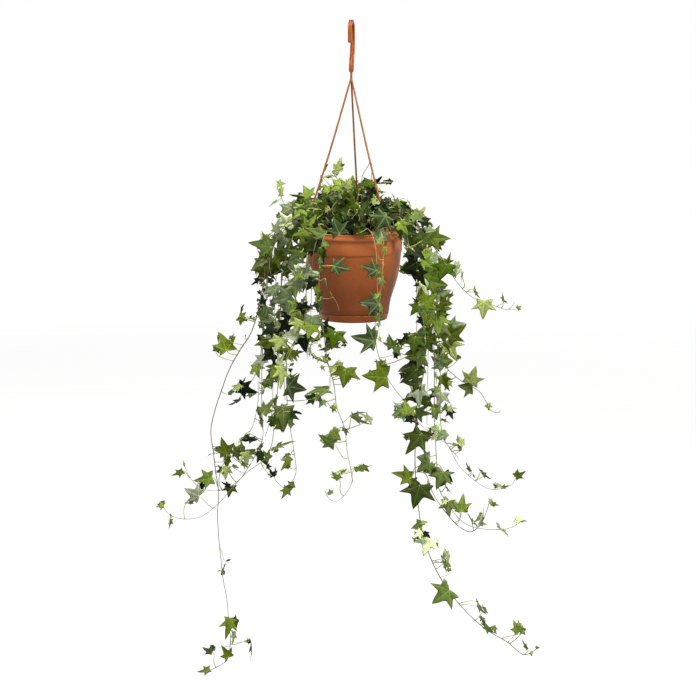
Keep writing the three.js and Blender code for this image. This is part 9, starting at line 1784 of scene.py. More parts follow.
            [27.8, -12.4, -241.5, 25.2, -34.4, -236.8, 23.1, -32.5, -223.5, -0.16, -0.98, 0.12, 1.15, 0, 4],
            [31.4, -14, -232.5, 44.5, -17.4, -231.5, 54.8, -16.5, -230.8, -0.04, -0.27, 0.96, 0.85, 2, 1],
            [18.5, -7.1, -290.2, 25.2, 3, -293.3, 41.2, 15, -300, 0.64, -0.57, 0.51, 1, 3, 3],
            [19.8, -8.1, -277, 22.3, -11.9, -269.4, 43.4, -18.4, -280.2, 0.22, -0.58, 0.78, 1, 3, 0],
            [31.21, -13.91, -232.96, 28.31, -20.74, -211.56, 26.25, -9.2, -217.74, -0.97, -0.23, -0.11, 1.08, 1, 8],
            [31.21, -13.91, -232.96, 56.71, -2.34, -231.61, 42.8, 3.77, -228.42, -0.17, -0.73, 0.66, 0.97, 2, 0],
            [18.6, -7, -292.8, 10.3, -14.2, -286.6, -7.1, -19.1, -302.6, -0.63, -0.21, 0.75, 0.91, 3, 0],
            [22.9, -9.9, -258.1, 30.4, -35.2, -248.5, 11.2, -27, -254.3, -0.27, 0.06, 0.96, 0.83, 2, 2],
            [18.6, -7, -292.8, 27.3, -3.2, -284.7, 36.2, -3.8, -270.6, -0.83, -0.17, 0.53, 0.96, 3, 4],
            [19, -6.7, -299.7, 15.9, -4.9, -292.4, 18.8, 0.2, -278.2, -0.97, 0.19, 0.13, 0.99, 2, 2],
            [19, -6.7, -299.7, 39.7, -20.1, -292, 27.5, -19.8, -302.6, -0.63, -0.29, 0.72, 0.85, 1, 2],
            [20.6, -8.6, -272, 31.1, -13, -262.4, 47.9, -6.5, -268, 0.2, 0.29, 0.94, 0.98, 1, 0],
            [19, -6.7, -299.7, 24.1, -15.8, -293.4, 38.8, -8.4, -302.5, 0.31, 0.43, 0.85, 0.97, 0, 2],
            [19.3, -6.5, -306.7, 20.8, -6.5, -295.3, 37.8, -2.9, -302.8, 0, -0.9, -0.44, 0.91, 1, 0],
            [19, -6.7, -299.7, 26.9, -17.8, -287.7, 40.1, -21.6, -292.8, -0.37, -0.88, -0.29, 1.06, 1, 1],
            [19.4, -7.9, -278.9, 22.1, -24.6, -270.8, 10, -24.9, -269.6, 0.03, -0.99, 0.1, 1.07, 2, 0],
            [18.6, -7, -292.8, 29.1, -9.2, -284.8, 15.1, -13.9, -289.6, 0.41, -0.84, -0.36, 0.96, 0, 1],
        ],
    },
    "ivy_crown_04": {
        "stems": [
            [1.3, 0.8, -22, -14, -320.5, -24.2, -16.4, -286.1, -34.8, -23.2, -252.8, -40.5, -24, -237.6],
        ],
        "leaves": [
            [-39.8, -23.9, -239.5, -17.8, -31.9, -231.1, -36.1, -30.1, -242.2, -0.38, -0.78, 0.5, 1.15, 0, 5],
            [-38.5, -23.7, -243.1, -36.1, -28.5, -242.4, -45.6, -25.2, -230.9, 0.28, -0.83, 0.47, 1.15, 0, 5],
            [-37.1, -23.5, -246.7, -40.4, -38.8, -248.8, -46.9, -36.1, -239.6, -0.57, -0.8, -0.17, 1.15, 1, 3],
            [-23.9, -16.1, -290.4, -38.1, -24.4, -294.5, -54.9, -42.1, -288.6, 0.55, -0.25, 0.8, 1, 3, 1],
            [-33.7, -22.5, -256.3, -45.2, -32.8, -257.9, -61.9, -45.9, -260.8, 0.14, -0.39, 0.91, 1, 3, 3],
            [-31.37, -21.4, -262.28, -28.79, -6.37, -258.22, -14.08, 4.7, -240.47, 0.07, -0.87, 0.48, 1.08, 1, 5],
            [-39.97, -23.94, -239, -52.11, -13.21, -239.89, -42.03, -20.46, -234.11, -0.68, -0.59, 0.44, 0.93, 1, 5],
            [-23.8, -15.9, -293, -22.4, -19.3, -281.1, -7.3, -26.3, -268.9, -0.38, 0.51, 0.77, 0.87, 0, 1],
            [-23.3, -15.4, -299.9, -21.2, -16.4, -288.9, -7.7, -14.8, -302.5, 0.71, -0.18, 0.68, 0.97, 0, 5],
            [-32.7, -21.8, -259.5, -29.1, -13.9, -252.3, -18.8, -18.5, -242, -0.35, -0.93, -0.07, 0.94, 0, 6],
            [-30.6, -20.5, -266.1, -22.1, -27.4, -259.2, -11.3, -24.6, -264.4, 0.44, -0.73, 0.52, 1, 3, 6],
            [-22.9, -15, -306.7, -24.7, -5.2, -295.9, -27.1, -9, -279.5, 0.58, -0.81, -0.1, 0.97, 0, 2],
            [-26.3, -17.8, -279.4, -12.8, -23.3, -272.5, -19.2, -26, -255.6, 0.38, -0.93, -0.01, 0.96, 3, 1],
        ],
    },
    "ivy_crown_05": {
        "stems": [
            [1.3, 0.8, -42, -4, -320.5, -46.3, -5.2, -285.5, -61.4, -8.3, -260.8, -74.6, -11, -247.4],
        ],
        "leaves": [
            [-59.7, -7.9, -263.6, -78.3, -14.3, -278.8, -77.4, -17.1, -254.3, 0, -0.99, -0.11, 1.15, 1, 5],
            [-73, -10.7, -249.1, -72.9, -19.1, -249, -94.9, -22.3, -248.4, 0.04, -0.45, -0.89, 1, 0, 3],
            [-68.2, -9.7, -253.9, -65.3, -30.2, -248.8, -73.7, -27.1, -232.7, 0.02, -0.98, 0.2, 1.15, 0, 5],
            [-69.8, -10, -252.3, -61.9, -16.6, -241.1, -58.3, -15.7, -238.2, -0.18, -0.84, 0.51, 1.15, 2, 5],
            [-46.3, -5.2, -285.5, -52.8, -8.1, -278.8, -68.9, -13.7, -270.2, 0.48, -0.79, 0.39, 1, 3, 3],
            [-59.7, -7.9, -263.6, -66.3, -2.7, -258.2, -75.9, -11.1, -243.8, -0.85, 0.1, -0.51, 1, 3, 2],
            [-45.4, -5, -292.5, -49.8, -26.1, -285.3, -57.9, -25.5, -265.7, 0.91, -0.15, 0.38, 0.96, 2, 3],
            [-45.4, -5, -292.5, -46.9, -4, -280.9, -64, -11.1, -290.5, -0.55, 0.24, 0.8, 0.82, 0, 5],
            [-43.7, -4.5, -306.5, -56.6, -33.6, -293.7, -63.8, -33.4, -270.2, 0.9, 0.35, 0.27, 0.98, 0, 6],
            [-52.3, -6.4, -275.6, -66.4, -27.3, -268.2, -83.2, -25.4, -279.4, -0.55, -0.27, 0.79, 0.86, 1, 5],
            [-45.4, -5, -292.5, -68.8, -37.5, -280.4, -54.8, -44.4, -287.5, 0.37, -0.18, 0.91, 0.94, 2, 3],
            [-58.4, -7.7, -265.7, -43.8, -11, -258.5, -32, -7.3, -247.2, -0.17, -0.87, 0.46, 1.04, 0, 3],
            [-45.4, -5, -292.5, -62.4, -29.1, -280.6, -49.9, -24.2, -282.5, 0.37, -0.93, 0, 1.01, 0, 0],
            [-44.6, -4.7, -299.5, -56.3, -31.2, -292.4, -41.8, -36.7, -289.1, -0.26, -0.9, -0.34, 0.94, 1, 7],
        ],
    },
    "ivy_crown_06": {
        "stems": [
            [1.2, 0.7, -56, 4, -320.5, -59.7, 4.1, -296.5, -74.7, 4.4, -274.9, -101.9, 4, -264.3, -107.6, 4, -251.6],
        ],
        "leaves": [
            [-77.9, 4.4, -273.6, -83.9, 0.7, -283.2, -99.4, -5.7, -305.7, 0.44, -0.89, -0.05, 1.15, 0, 8],
            [-92.6, 4.1, -267.9, -93.3, -4.1, -268.7, -114.1, -5.1, -282.4, -0.27, -0.84, 0.48, 1.15, 0, 6],
            [-107.6, 4, -251.6, -107.4, 0.2, -250.6, -108.8, 2, -226.1, 0.88, -0.46, 0.08, 0.85, 1, 7],
            [-96.1, 4.1, -266.6, -93.4, -1.9, -263, -76.3, -0.9, -252.7, -0.49, -0.22, 0.84, 0.85, 1, 3],
            [-105.5, 4, -256.3, -111.9, -0.2, -257.9, -126.1, -4.6, -267.2, -0.46, -0.28, 0.84, 0.85, 1, 5],
            [-106.92, 4, -253.38, -112.82, 18.62, -234.81, -100.43, 22.54, -234.46, 0.24, -0.81, 0.54, 0.98, 3, 5],
            [-65.7, 4.2, -287.9, -76.5, -39.3, -279.3, -87, -34.6, -291.1, -0.77, -0.18, 0.61, 0.82, 3, 8],
            [-68.7, 4.3, -283.5, -63.6, -14.9, -277.5, -83.6, -11.2, -277.5, 0, 0.01, 1, 0.89, 3, 5],
            [-65.7, 4.2, -287.9, -80.5, -39.8, -281, -86.7, -34.6, -269.6, -0.18, -0.93, 0.33, 0.98, 0, 6],
            [-59.7, 4.1, -296.5, -63.8, -9.4, -286.2, -75.1, -10.3, -293.8, -0.15, -0.93, 0.33, 1, 1, 5],
            [-65.7, 4.2, -287.9, -71.5, -1.8, -279.2, -56, -1.8, -271, 0.17, -0.93, -0.32, 1.03, 0, 8],
        ],
    },
    "ivy_crown_07": {
        "stems": [
            [1.3, 0.8, 36, 8, -320.5, 39.6, 6.5, -290.5, 52.3, 0.6, -266, 62.7, -3, -259.9],
        ],
        "leaves": [
            [58.9, -1.7, -262.1, 64.7, -10, -271.1, 44, -14.6, -275.9, 0.21, -0.98, 0.01, 1.15, 0, 3],
            [57.6, -1.2, -262.9, 56.6, -8.9, -258.7, 45.5, -10.2, -270.4, 0.1, -0.99, 0.01, 1.15, 0, 7],
            [52.3, 0.6, -266, 41.7, -14.4, -255.3, 55, -14.4, -255, -0.02, -0.19, 0.98, 1, 1, 1],
            [62.7, -3, -259.9, 66.5, -22.5, -257.5, 55.6, -22.8, -264.8, -0.26, -0.87, 0.43, 1.15, 0, 3],
            [61.4, -2.6, -260.7, 60.2, -11.3, -255.5, 56.2, -11.9, -245.9, 0.91, -0.22, 0.37, 1.15, 2, 6],
            [38.7, 6.9, -297.8, 41.9, 15.4, -290.3, 55, 27.9, -283.2, 0.49, -0.76, 0.42, 1, 3, 2],
            [49.6, 1.9, -271.3, 67.5, 5.3, -274.9, 89.3, 18.2, -276.4, 0.42, -0.65, 0.63, 1, 3, 3],
            [56.5, -0.8, -263.6, 46.9, -11.7, -255.8, 63.4, -12.1, -261.4, 0.28, 0.55, 0.78, 0.93, 0, 9],
            [49.8, 1.8, -270.9, 55.8, -9.5, -260.9, 40.1, -16.2, -265, -0.17, -0.2, 0.97, 0.81, 0, 6],
            [44.7, 4.1, -280.7, 43.4, -14, -274.3, 29, -16.2, -273.6, 0.16, -0.93, 0.33, 1.08, 0, 1],
            [47.2, 3, -275.8, 42, -23.9, -266, 29.3, -29, -266.2, 0.36, -0.91, -0.22, 0.95, 1, 3],
        ],
    },
    "ivy_crown_08": {
        "stems": [
            [1.3, 0.8, 44, 6, -320.5, 45.9, 5.6, -301.9, 63.8, 0.8, -278.5, 91, -11.6, -276.4, 104, -10, -285.9],
        ],
        "leaves": [
            [81.6, -7.3, -277.1, 80.1, -16.2, -278.7, 92, -16, -304.5, 0.06, -1, 0.02, 1.15, 0, 1],
            [70.3, -2.2, -278, 67.6, -10.7, -262.2, 86.9, -10.6, -271.8, 0.42, -0.33, 0.84, 1.15, 0, 0],
            [102.4, -10.2, -284.7, 99.8, -20, -284.2, 114.7, -19.6, -299.7, 0.51, -0.72, 0.47, 1, 0, 0],
            [94.2, -11.2, -278.7, 93.9, -21.8, -279.6, 106.8, -18.1, -264.5, 0.31, -0.95, -0.03, 0.85, 0, 7],
            [88.3, -10.4, -276.6, 86.9, -30, -275.9, 103, -33.9, -286.5, 0.19, -0.79, 0.58, 1.15, 0, 3],
            [85.1, -8.9, -276.9, 83.8, -12.1, -266.5, 77.8, -13.3, -253.9, 0.89, -0.2, 0.4, 1.15, 2, 6],
            [57.2, 2.6, -287.1, 69.3, -4, -280.8, 86.3, -0.9, -280.6, 0.08, -0.47, 0.88, 1, 3, 6],
            [63.8, 0.8, -278.5, 76.8, 2.4, -271.6, 91.7, 8.4, -273.7, 0.36, -0.67, 0.65, 1, 3, 1],
            [103.17, -10.15, -285.23, 117.12, -2.65, -294.36, 106.86, -12.37, -288.61, 0.71, -0.41, 0.58, 0.93, 1, 1],
            [56.6, 2.7, -287.9, 54.3, -26.7, -277.4, 50.2, -34.3, -255, 0.98, -0.14, 0.13, 0.97, 0, 1],
            [45.9, 5.6, -301.9, 54.3, -16.4, -291.8, 46.5, -24.8, -270.5, 0.77, 0.45, 0.46, 0.97, 0, 1],
            [56.6, 2.7, -287.9, 74.6, -34.4, -280.2, 51.4, -28.3, -273, 0.37, 0.41, 0.83, 0.88, 2, 1],
            [53.1, 3.7, -292.5, 44.9, -4.2, -286.3, 30.7, 2.5, -269.2, 0.66, -0.33, 0.67, 0.91, 3, 1],
            [45.9, 5.6, -301.9, 58.1, -17, -293, 43.2, -18.7, -288.5, 0.2, 0.52, 0.83, 0.93, 1, 2],
        ],
    },
    "ivy_crown_09": {
        "stems": [
            [1.3, 0.8, 2, 20, -320.5, 1.8, 21.4, -286.7, 6.5, 21.5, -253.8, 14, 18, -234.9],
        ],
        "leaves": [
            [14, 18, -234.9, 15.4, 9.9, -235.1, 26.6, 11.9, -229.3, -0.13, -0.84, 0.53, 1.15, 0, 1],
            [1.8, 21.2, -290.9, 10.2, 25.2, -283.1, 26.3, 41.2, -278.1, -0.52, 0.27, 0.81, 1, 3, 6],
            [4.2, 21.5, -269.7, 8.2, 29.1, -266.6, 18.8, 47.3, -263.5, -0.21, -0.05, 0.98, 1, 3, 1],
            [6.5, 21.5, -253.8, 17, 30.5, -254.2, 25.3, 44.9, -251.3, 0.18, -0.3, 0.94, 1, 3, 1],
            [11.3, 19.3, -241.8, 21, 22.7, -236.2, 30.9, 36.7, -233.5, 0.09, -0.25, 0.97, 1, 3, 4],
            [1.89, 21.43, -285.55, -0.16, 21.62, -284.69, -11.99, 10.76, -265.69, -0.03, -0.86, -0.51, 1.06, 0, 3],
            [13.89, 18.05, -235.17, 23.07, 13.17, -198.39, 28.49, 26.73, -208.14, 0.92, -0.09, 0.39, 0.84, 3, 1],
        ],
    },
    "ivy_crown_10": {
        "stems": [
            [1.3, 0.8, -16, -38, -320.5, -16.4, -39.3, -303.4, -25.7, -56, -275.6, -32.9, -60, -266.6],
            [0.6, 0.45, -18.3, -42.6, -297.8, -18.4, -44.8, -299.2, -12.6, -49, -283.3, -5.4, -46.1, -264.9],
            [0.6, 0.45, -18.3, -42.6, -297.8, -12.7, -47.4, -298.9, -17.2, -53.1, -284.6, -25.7, -50.2, -267.5],
            [0.6, 0.45, -18.3, -42.6, -297.8, -26, -43.5, -298.4, -32.8, -45.7, -286.2, -40.4, -41.4, -271.2],
            [0.6, 0.45, -20.1, -46, -292.3, -16.2, -51.2, -292.9, -6.3, -57.1, -283.1, 4.8, -54.2, -270],
            [0.6, 0.45, -22, -49.3, -286.7, -22.5, -53.7, -291.8, -21.9, -61.4, -282, -18.4, -60.8, -272.3],
        ],
        "leaves": [
            [-25.7, -56, -275.6, -14.8, -60.1, -269.4, -41.6, -58.6, -276.1, -0.08, -0.99, 0.07, 1.15, 0, 1],
            [-21.1, -47.8, -289.3, -7.6, -56.7, -284.3, -25.7, -58.3, -292.9, 0.09, -1, -0.01, 1.15, 0, 0],
            [-22.4, -50.1, -285.5, -34.5, -46.7, -290.4, -38.2, -46.5, -310.1, -0.31, -0.95, 0.05, 1.15, 1, 0],
            [-22.4, -50.1, -285.5, -30.6, -54.3, -286.2, -38.9, -68.9, -283, 0.64, -0.2, 0.74, 1, 3, 1],
            [-32.9, -60, -266.6, -40.9, -69.1, -262.9, -53, -87.1, -253.4, 0.81, -0.58, -0.06, 1, 3, 1],
            [-32.37, -59.73, -267.23, -43.03, -50.95, -259.99, -24.64, -42.02, -276.05, 0.42, -0.91, -0.02, 1.09, 0, 0],
            [-20.1, -46, -292.3, -49.6, -56.2, -283.2, -37.4, -51.2, -293.3, 0.62, 0.06, 0.78, 0.92, 3, 1],
            [-20.1, -46, -292.3, -52.3, -49.4, -283.2, -69.9, -43.5, -288.4, -0.09, 0.48, 0.87, 0.84, 2, 2],
            [-27.1, -56.8, -273.8, -50.7, -44.6, -267.7, -29, -44.9, -262.5, -0.23, 0.07, 0.97, 0.88, 1, 0],
            [-16.4, -39.3, -303.4, -30.2, -32.8, -293.3, -17.3, -30.3, -279.1, -0.7, -0.22, 0.68, 0.85, 1, 2],
            [-27.1, -56.8, -273.8, -54.8, -42.9, -267.4, -40.8, -39.2, -258.4, -0.57, 0.39, 0.72, 0.87, 3, 0],
            [-30, -58.4, -270.2, -17, -57.9, -260.1, -16.8, -61.3, -241.7, 0.99, 0.17, 0.02, 0.87, 3, 0],
            [-32.9, -60, -266.6, -24.3, -64, -250.6, -8.9, -55.4, -266.9, 0.62, 0.27, 0.73, 0.92, 0, 3],
            [-22, -49.3, -286.7, -45.6, -44, -279.8, -52.9, -44, -265.4, 0.83, 0.36, 0.42, 0.88, 1, 1],
            [-22, -49.3, -286.7, -16.6, -65.6, -275.3, -28, -58.6, -265.1, 0.73, 0.23, 0.65, 0.84, 0, 2],
            [-23.8, -52.7, -281.2, -78.9, -60.3, -273.8, -62.1, -54.6, -273, -0.18, 0.42, 0.89, 0.9, 2, 2],
            [-22, -49.3, -286.7, -15.4, -38.1, -275.5, 2.6, -36.5, -275.1, 0.06, -0.81, 0.58, 1.09, 0, 1],
            [-27.1, -56.8, -273.8, -65.9, -47.9, -267.5, -55.6, -45.3, -275.1, 0.46, -0.82, 0.33, 0.97, 0, 1],
            [-32.9, -60, -266.6, -42.2, -45.6, -258.6, -28, -42.3, -264, 0.37, -0.77, 0.51, 1.1, 0, 3],
            [-25.7, -56, -275.6, -30.4, -63.6, -268.1, -23.2, -58.6, -259.4, 0.55, -0.84, 0.02, 1.08, 1, 3],
            [-22, -49.3, -286.7, -76.6, -54.4, -278.7, -87.4, -58.9, -281.1, 0.42, -0.88, -0.22, 0.89, 3, 0],
            [-32.9, -60, -266.6, -61.8, -62, -257.7, -69.9, -68.3, -281.6, 0.37, -0.92, 0.11, 1, 0, 1],
            [-32.9, -60, -266.6, -67.5, -66, -264.6, -87.4, -71.8, -276.6, 0.13, -0.96, 0.24, 1, 0, 5],
            [-32.9, -60, -266.6, -58.8, -70, -268.5, -52.3, -76.1, -291.9, 0.38, -0.86, 0.33, 1, 3, 2],
            [-32.9, -60, -266.6, -51.7, -60, -260.8, -64.3, -65.3, -278, 0.23, -0.96, 0.13, 1, 1, 1],
            [-32.9, -60, -266.6, -68.8, -72, -274.1, -75.7, -77.3, -294.3, -0.04, -0.96, 0.27, 1, 3, 1],
            [-32.9, -60, -266.6, -54.4, -76, -278.1, -71.5, -81.3, -290.8, 0.13, -0.96, 0.23, 1, 1, 0],
        ],
    },
    "ivy_crown_11": {
        "stems": [
            [1.3, 0.8, 20, -36, -320.5, 20.3, -37.3, -303.4, 29.2, -53.7, -279.4, 39.5, -60, -268],
            [0.6, 0.45, 23.9, -43.9, -293.8, 20, -47.9, -297.5, 29.1, -53.8, -285.6, 35.3, -51.7, -268.8],
            [0.6, 0.45, 22.1, -40.6, -298.6, 24.2, -40.2, -298.9, 22.6, -44.9, -282.1, 22.3, -43.8, -263.7],
            [0.6, 0.45, 23.9, -43.9, -293.8, 30.4, -45.3, -296.8, 43.4, -50.6, -287.8, 46.9, -49.2, -273.4],
        ],
        "leaves": [
            [38.2, -59.2, -269.4, 45.4, -88.1, -272.6, 29.8, -85.4, -295.1, -0.12, -0.99, -0.04, 1.15, 0, 10],
            [28.2, -51.9, -282.1, 34.7, -43.8, -286.3, 18.7, -45.6, -295.6, -0.05, -0.96, 0.28, 1.15, 0, 2],
            [39.5, -60, -268, 37.1, -68.9, -260, 52.3, -70.4, -268.5, 0.07, -0.95, 0.3, 1.15, 0, 0],
            [25.9, -47.7, -288.2, 32.4, -56.8, -277.6, 47.9, -67.4, -273.7, -0.58, -0.7, 0.4, 1, 3, 1],
            [35.7, -57.7, -272.2, 40.7, -60.4, -266.4, 49.3, -73.2, -273, 0.06, -0.42, 0.9, 1, 3, 1],
            [37.4, -58.7, -270.3, 48.6, -44.8, -264, 62.9, -40.8, -272, 0.52, -0.24, 0.82, 0.84, 0, 1],
            [22.1, -40.6, -298.6, 38.4, -51.5, -290.2, 41.2, -47.2, -270.6, -0.87, -0.43, 0.22, 1, 0, 0],
            [23.9, -43.9, -293.8, 76.2, -62.3, -286.7, 79.4, -58.5, -265.3, -0.9, 0.43, 0.06, 0.91, 0, 1],
            [27.4, -50.4, -284.2, 26.6, -41.1, -278.2, 6.9, -44.8, -283.8, -0.32, 0.44, 0.84, 0.92, 0, 1],
            [31.3, -55, -277.1, 19.4, -48, -261.2, 27.3, -53.3, -246.5, -0.69, 0.48, 0.54, 0.92, 1, 0],
            [35.4, -57.5, -272.6, 62.6, -38.6, -266.1, 47.9, -33, -266, 0.19, 0.49, 0.85, 0.98, 1, 3],
            [39.5, -60, -268, 28.4, -40.3, -245.3, 17.5, -33.8, -233.4, -0.32, -0.92, 0.21, 1.04, 3, 0],
            [22.1, -40.6, -298.6, 60.1, -42, -289.9, 53.1, -43.4, -275.8, -0.45, -0.84, -0.31, 0.96, 1, 0],
            [22.1, -40.6, -298.6, 25.6, -57.9, -289.3, 13.6, -53.2, -300.5, 0.12, -0.86, -0.49, 0.95, 1, 0],
            [20.3, -37.3, -303.4, 14.8, -44.6, -293.9, 27.8, -43.1, -307.2, 0.36, -0.9, 0.26, 0.87, 3, 1],
        ],
    },
    "ivy_crown_12": {
        "stems": [
            [1.3, 0.8, 40, 26, -320.5, 44.4, 28.5, -287.9, 57.3, 34, -264.2, 77.3, 40, -257.6],
        ],
        "leaves": [
            [43.9, 28.2, -291.7, 44.4, 37.7, -290.3, 57.1, 45.6, -283.9, 0.11, -0.72, 0.68, 1, 3, 1],
            [47.7, 29.9, -281.8, 51.6, 36.3, -277, 69.3, 51.4, -271.9, 0.33, -0.63, 0.7, 1, 3, 0],
            [54.4, 32.8, -269.5, 66.1, 33.6, -271.8, 80.9, 41.9, -271.8, 0.35, -0.62, 0.71, 1, 3, 3],
            [64.6, 36.2, -261.8, 72.1, 53.1, -266.3, 91.7, 57.6, -278.1, 0.54, -0.41, 0.74, 1, 3, 5],
        ],
    },
    "ivy_crown_13": {
        "stems": [
            [1.3, 0.8, -36, 28, -320.5, -40.1, 29.8, -287.3, -51.4, 32.6, -263.9, -72.8, 38, -253],
        ],
        "leaves": [
            [-40.1, 29.8, -287.3, -44, 37.6, -278.5, -58.4, 52.9, -278.2, -0.46, -0.45, 0.76, 1, 3, 1],
            [-46, 31.3, -275.2, -54.8, 30.5, -271.5, -66.8, 47.7, -265, -0.54, -0.6, 0.59, 1, 3, 1],
            [-50.1, 32.3, -266.6, -56.4, 26.6, -256.7, -80.1, 25.6, -264.1, -0.3, 0.18, 0.94, 1, 3, 3],
            [-61.9, 35.2, -258.6, -70.4, 43.4, -260, -82.7, 52.8, -249.5, -0.38, -0.86, 0.33, 1, 3, 6],
            [-55.31, 33.58, -260.86, -53.56, 31.67, -255.21, -32.07, 31.29, -258.66, 0.08, -0.82, 0.57, 1.03, 1, 0],
        ],
    },
    "ivy_crown_14": {
        "stems": [
            [1.3, 0.8, -10, 40, -320.5, -12.1, 42.6, -289.9, -23.4, 50, -257, -30.9, 54, -246.7],
        ],
        "leaves": [
            [-11.8, 42.3, -293.8, -20.1, 48, -296.7, -26.8, 62.7, -289.3, 0.88, 0.17, 0.45, 1, 3, 4],
            [-13.5, 43.5, -285.8, -4, 49.7, -274.4, -8.3, 67.5, -261.4, 0.17, 0.61, -0.78, 1, 3, 2],
            [-18, 46.5, -272.6, -14.3, 53.1, -257.3, -8.2, 75.8, -251.3, -0.88, 0.11, 0.46, 1, 3, 7],
            [-21, 48.4, -264.1, -20.7, 63.1, -251, -28.8, 81.2, -252.1, 0.37, 0.22, 0.9, 1, 3, 0],
            [-22.3, 49.3, -260.3, -33.7, 57.6, -255.6, -49.4, 68, -253.6, 0.52, 0.7, 0.49, 1, 3, 3],
            [-30, 53.5, -248, -38.5, 57.3, -244.7, -47.1, 73.5, -247.8, 0.1, 0.24, 0.96, 1, 3, 1],
            [-19.84, 47.83, -264.95, -15.97, 34.94, -261.07, -9.87, 39.04, -279.25, 0.07, -0.98, -0.2, 1.01, 2, 3],
            [-29.52, 53.27, -248.48, -48.71, 35.81, -224.14, -49.56, 29.63, -245.68, 0.99, 0.15, -0.08, 1.06, 1, 1],
            [-29.52, 53.27, -248.48, -40.9, 48.93, -213.15, -45.25, 60.99, -213.06, -0.87, -0.32, 0.38, 1.11, 3, 0],
            [-18.9, 47, -270.2, -2.2, 74, -260.5, 1.2, 72.8, -240.8, 0.42, -0.9, -0.13, 1, 0, 1],
            [-26.4, 51.6, -252.9, -6.8, 74, -248.3, -10.9, 75.3, -230.9, 0.57, -0.8, 0.19, 1.02, 3, 5],
            [-27.9, 52.4, -250.8, -0.7, 78, -241, -1.2, 77.7, -225.1, -0.24, -0.97, -0.03, 1.01, 3, 5],
            [-18.9, 47, -270.2, -9.8, 72, -263.4, -20.3, 74.4, -248.9, -0.44, -0.88, -0.17, 1.03, 1, 1],
        ],
    },
    "ivy_crown_15": {
        "stems": [
            [1.3, 0.8, 18, 38, -320.5, 19, 41.4, -289.8, 25.9, 48.9, -265.1, 41.6, 58, -250.1],
        ],
        "leaves": [
            [18.9, 41, -293.5, 32.9, 50.3, -289.2, 47.2, 64.6, -284.1, -0.72, 0.58, 0.39, 1, 3, 1],
            [21.7, 44.3, -280.3, 27.7, 41.1, -269, 31.4, 60.4, -255.5, 0.28, 0.51, -0.81, 1, 3, 7],
            [23.4, 46.2, -274, 13.2, 51.8, -270.2, 14.2, 74, -261, 0.95, -0.16, 0.28, 1, 3, 3],
            [27.8, 50, -263.3, 33.9, 57.7, -263.2, 46.9, 75, -266.2, -0.47, 0.48, 0.74, 1, 3, 3],
            [33.7, 53.4, -257.7, 32.1, 69.4, -256.9, 28.5, 88.7, -259.1, 0.64, 0.2, 0.74, 1, 3, 5],
            [41.6, 58, -250.1, 40, 71.3, -249.4, 44.1, 86.2, -254.4, 0.26, 0.24, 0.94, 1, 3, 2],
            [40.59, 57.43, -251, 37.42, 58.56, -243.35, 18.95, 49.97, -247.79, 0.15, -0.7, 0.7, 0.91, 1, 6],
            [29, 50.7, -262.1, 3.9, 76, -251.5, -3.6, 77.5, -235.2, 0.09, -0.99, 0.13, 1.01, 1, 3],
            [29, 50.7, -262.1, 10, 78, -257.8, 20.7, 80.2, -241.1, -0.41, -0.84, 0.37, 0.92, 3, 4],
            [24.5, 47.4, -270, 16.1, 76, -263.7, 32, 81.4, -252.8, -0.13, -0.8, 0.58, 0.92, 0, 1],
            [23.1, 45.9, -275, 6.9, 74, -268.1, 14.9, 76.2, -247.7, -0.08, -0.99, 0.14, 0.93, 3, 0],
            [35.3, 54.4, -256.1, 13, 80, -245.8, 17.4, 84.2, -229.9, -0.42, -0.84, 0.34, 0.94, 3, 3],
            [29, 50.7, -262.1, 22.2, 78, -257.8, 32.9, 83, -244.2, -0.13, -0.89, 0.44, 0.95, 1, 1],
            [38.5, 56.2, -253.1, 19.1, 80, -248.8, 15.6, 84.2, -233.8, 0.38, -0.87, 0.33, 0.93, 0, 4],
            [23.1, 45.9, -275, 26.7, 74, -268.1, 44.2, 73.7, -260.7, 0.1, -0.96, -0.27, 1.04, 1, 0],
        ],
    },
    "ivy_crown_16": {
        "stems": [
            [1.3, 0.8, 2, -40, -320.5, 1.8, -41.7, -303.3, 2.6, -62.8, -278, 7.6, -70, -268.5],
            [0.6, 0.45, 2, -45.9, -298.2, -0.9, -44.7, -298.5, -6.3, -44.3, -281.5, -6.8, -38.6, -261.2],
            [0.6, 0.45, 2, -45.9, -298.2, 2.9, -47.3, -299.2, 9.5, -48.3, -280, 16.5, -42.7, -262.3],
            [0.6, 0.45, 2, -45.9, -298.2, 7.6, -49.9, -299.9, 8.8, -54.6, -283.4, 4.8, -51.1, -265.9],
            [0.6, 0.45, 2.3, -54.4, -288.1, 8.6, -56.7, -291.2, 21.5, -63.3, -282.6, 26.4, -62.6, -273.6],
        ],
        "leaves": [
            [7.6, -70, -268.5, 9.7, -73.2, -263.2, 28.4, -78.6, -269.9, -0.18, -0.95, 0.26, 1.15, 0, 1],
            [7.6, -70, -268.5, 2.5, -75.9, -255, -14, -74.4, -263.8, -0.04, -1, -0.09, 1.15, 0, 2],
            [2.5, -60.6, -280.6, -2.5, -68.4, -278.1, -1.8, -69, -296.1, 0.22, -0.97, 0.04, 1.15, 0, 0],
            [2.3, -55.2, -287.1, 0.7, -72.3, -287.1, 2.3, -93.3, -296.7, -0.01, -0.41, 0.91, 1, 3, 0],
            [7.6, -70, -268.5, 17, -79.6, -259.4, 23.4, -100, -251.9, -0.92, -0.16, 0.35, 1, 3, 1],
            [1.76, -57.45, -283.89, 6.78, -56.35, -282.95, 19.36, -44.22, -273.73, 0.03, -0.62, 0.78, 1.01, 2, 0],
        ],
    },
}
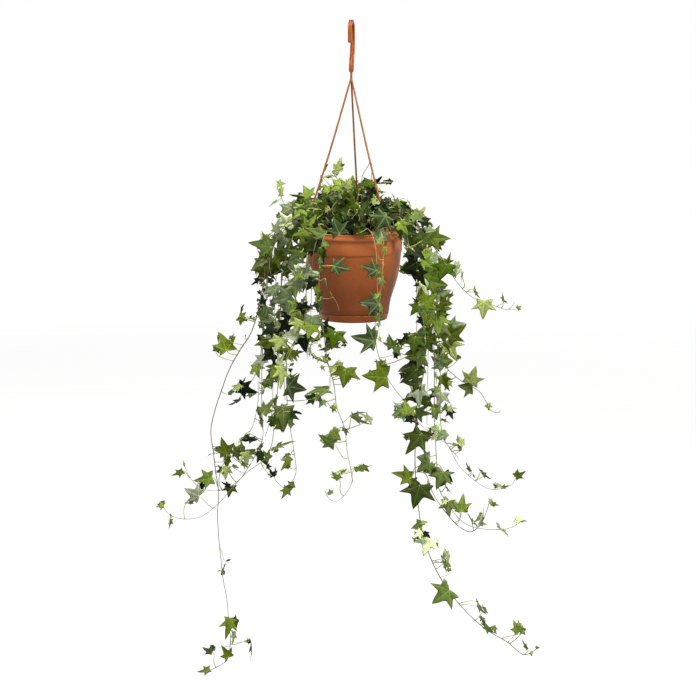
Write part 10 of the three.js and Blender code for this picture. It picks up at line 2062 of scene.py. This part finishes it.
ROOTS = [(-48, -30), (-40, -18), (-30, -36), (-38, 6), (-28, -46), (-54, 14), (-50, -4), (-54, 26), (-16, -52), (-41, 41), (-8, -55), (14, -54), (26, -48), (46, -22), (50, 0), (52, 20), (36, -38), (56, -12), (30, -46), (43, 39), (-26, 54), (2, 58), (28, 52), (-6, -8), (8, -22), (20, -6), (-22, -14), (-42, -4), (-56, 4), (36, 8), (44, 6), (2, 20), (-16, -38), (20, -36), (40, 26), (-36, 28), (-10, 40), (18, 38), (2, -40)]


def main():
    make_camera()
    make_stage()
    rng = random.Random(20417)
    mats = {
        "leaf_top": leaf_material("ivy_leaf_top", False),
        "leaf_under": leaf_material("ivy_leaf_underside", True),
        "stem_dark": stem_material("ivy_stem_woody", rgb(74, 66, 48), rgb(84, 78, 58)),
        "stem_green": stem_material("ivy_stem_green", rgb(92, 96, 48), rgb(104, 110, 62)),
        "stem_turning": stem_material("ivy_stem_turning_woody", rgb(140, 124, 82), rgb(78, 62, 42), lo=0.22, hi=0.34),
        "stem_aging": stem_material("ivy_stem_pale_to_woody", rgb(136, 142, 92), rgb(66, 56, 38), lo=0.20, hi=0.44),
        "stem_woody": stem_material("ivy_stem_dark_woody", rgb(52, 44, 32), rgb(60, 56, 38)),
        "stem_pale": stem_material("ivy_stem_pale", rgb(138, 132, 84), rgb(132, 142, 74)),
        "petiole": stem_material("ivy_petiole", rgb(124, 122, 70), rgb(126, 142, 72), petiole=True),
    }
    pot = plastic_material("terracotta_plastic", rgb(127, 64, 23), rgb(106, 52, 17), rgb(162, 92, 46), pot=True, painted_height_shading=True)
    saucer = plastic_material("terracotta_plastic_saucer", rgb(132, 67, 26), rgb(112, 55, 19), rgb(156, 95, 50), pot=True)
    hook = plastic_material("hanger_plastic_hook", rgb(124, 62, 21), rgb(90, 42, 14), rgb(160, 99, 53), rough=0.40, painted_dark_ends=True)
    arm = plastic_material("hanger_plastic_arms", rgb(108, 65, 23), rgb(92, 51, 17), rgb(138, 95, 48), rough=0.38)
    make_pot(pot)
    make_saucer(saucer)
    make_soil(soil_material(), ROOTS, rng)
    make_hanger(hook, arm)
    for name, table in VINES.items():
        make_vine(name, table, mats, random.Random(name))
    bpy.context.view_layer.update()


main()
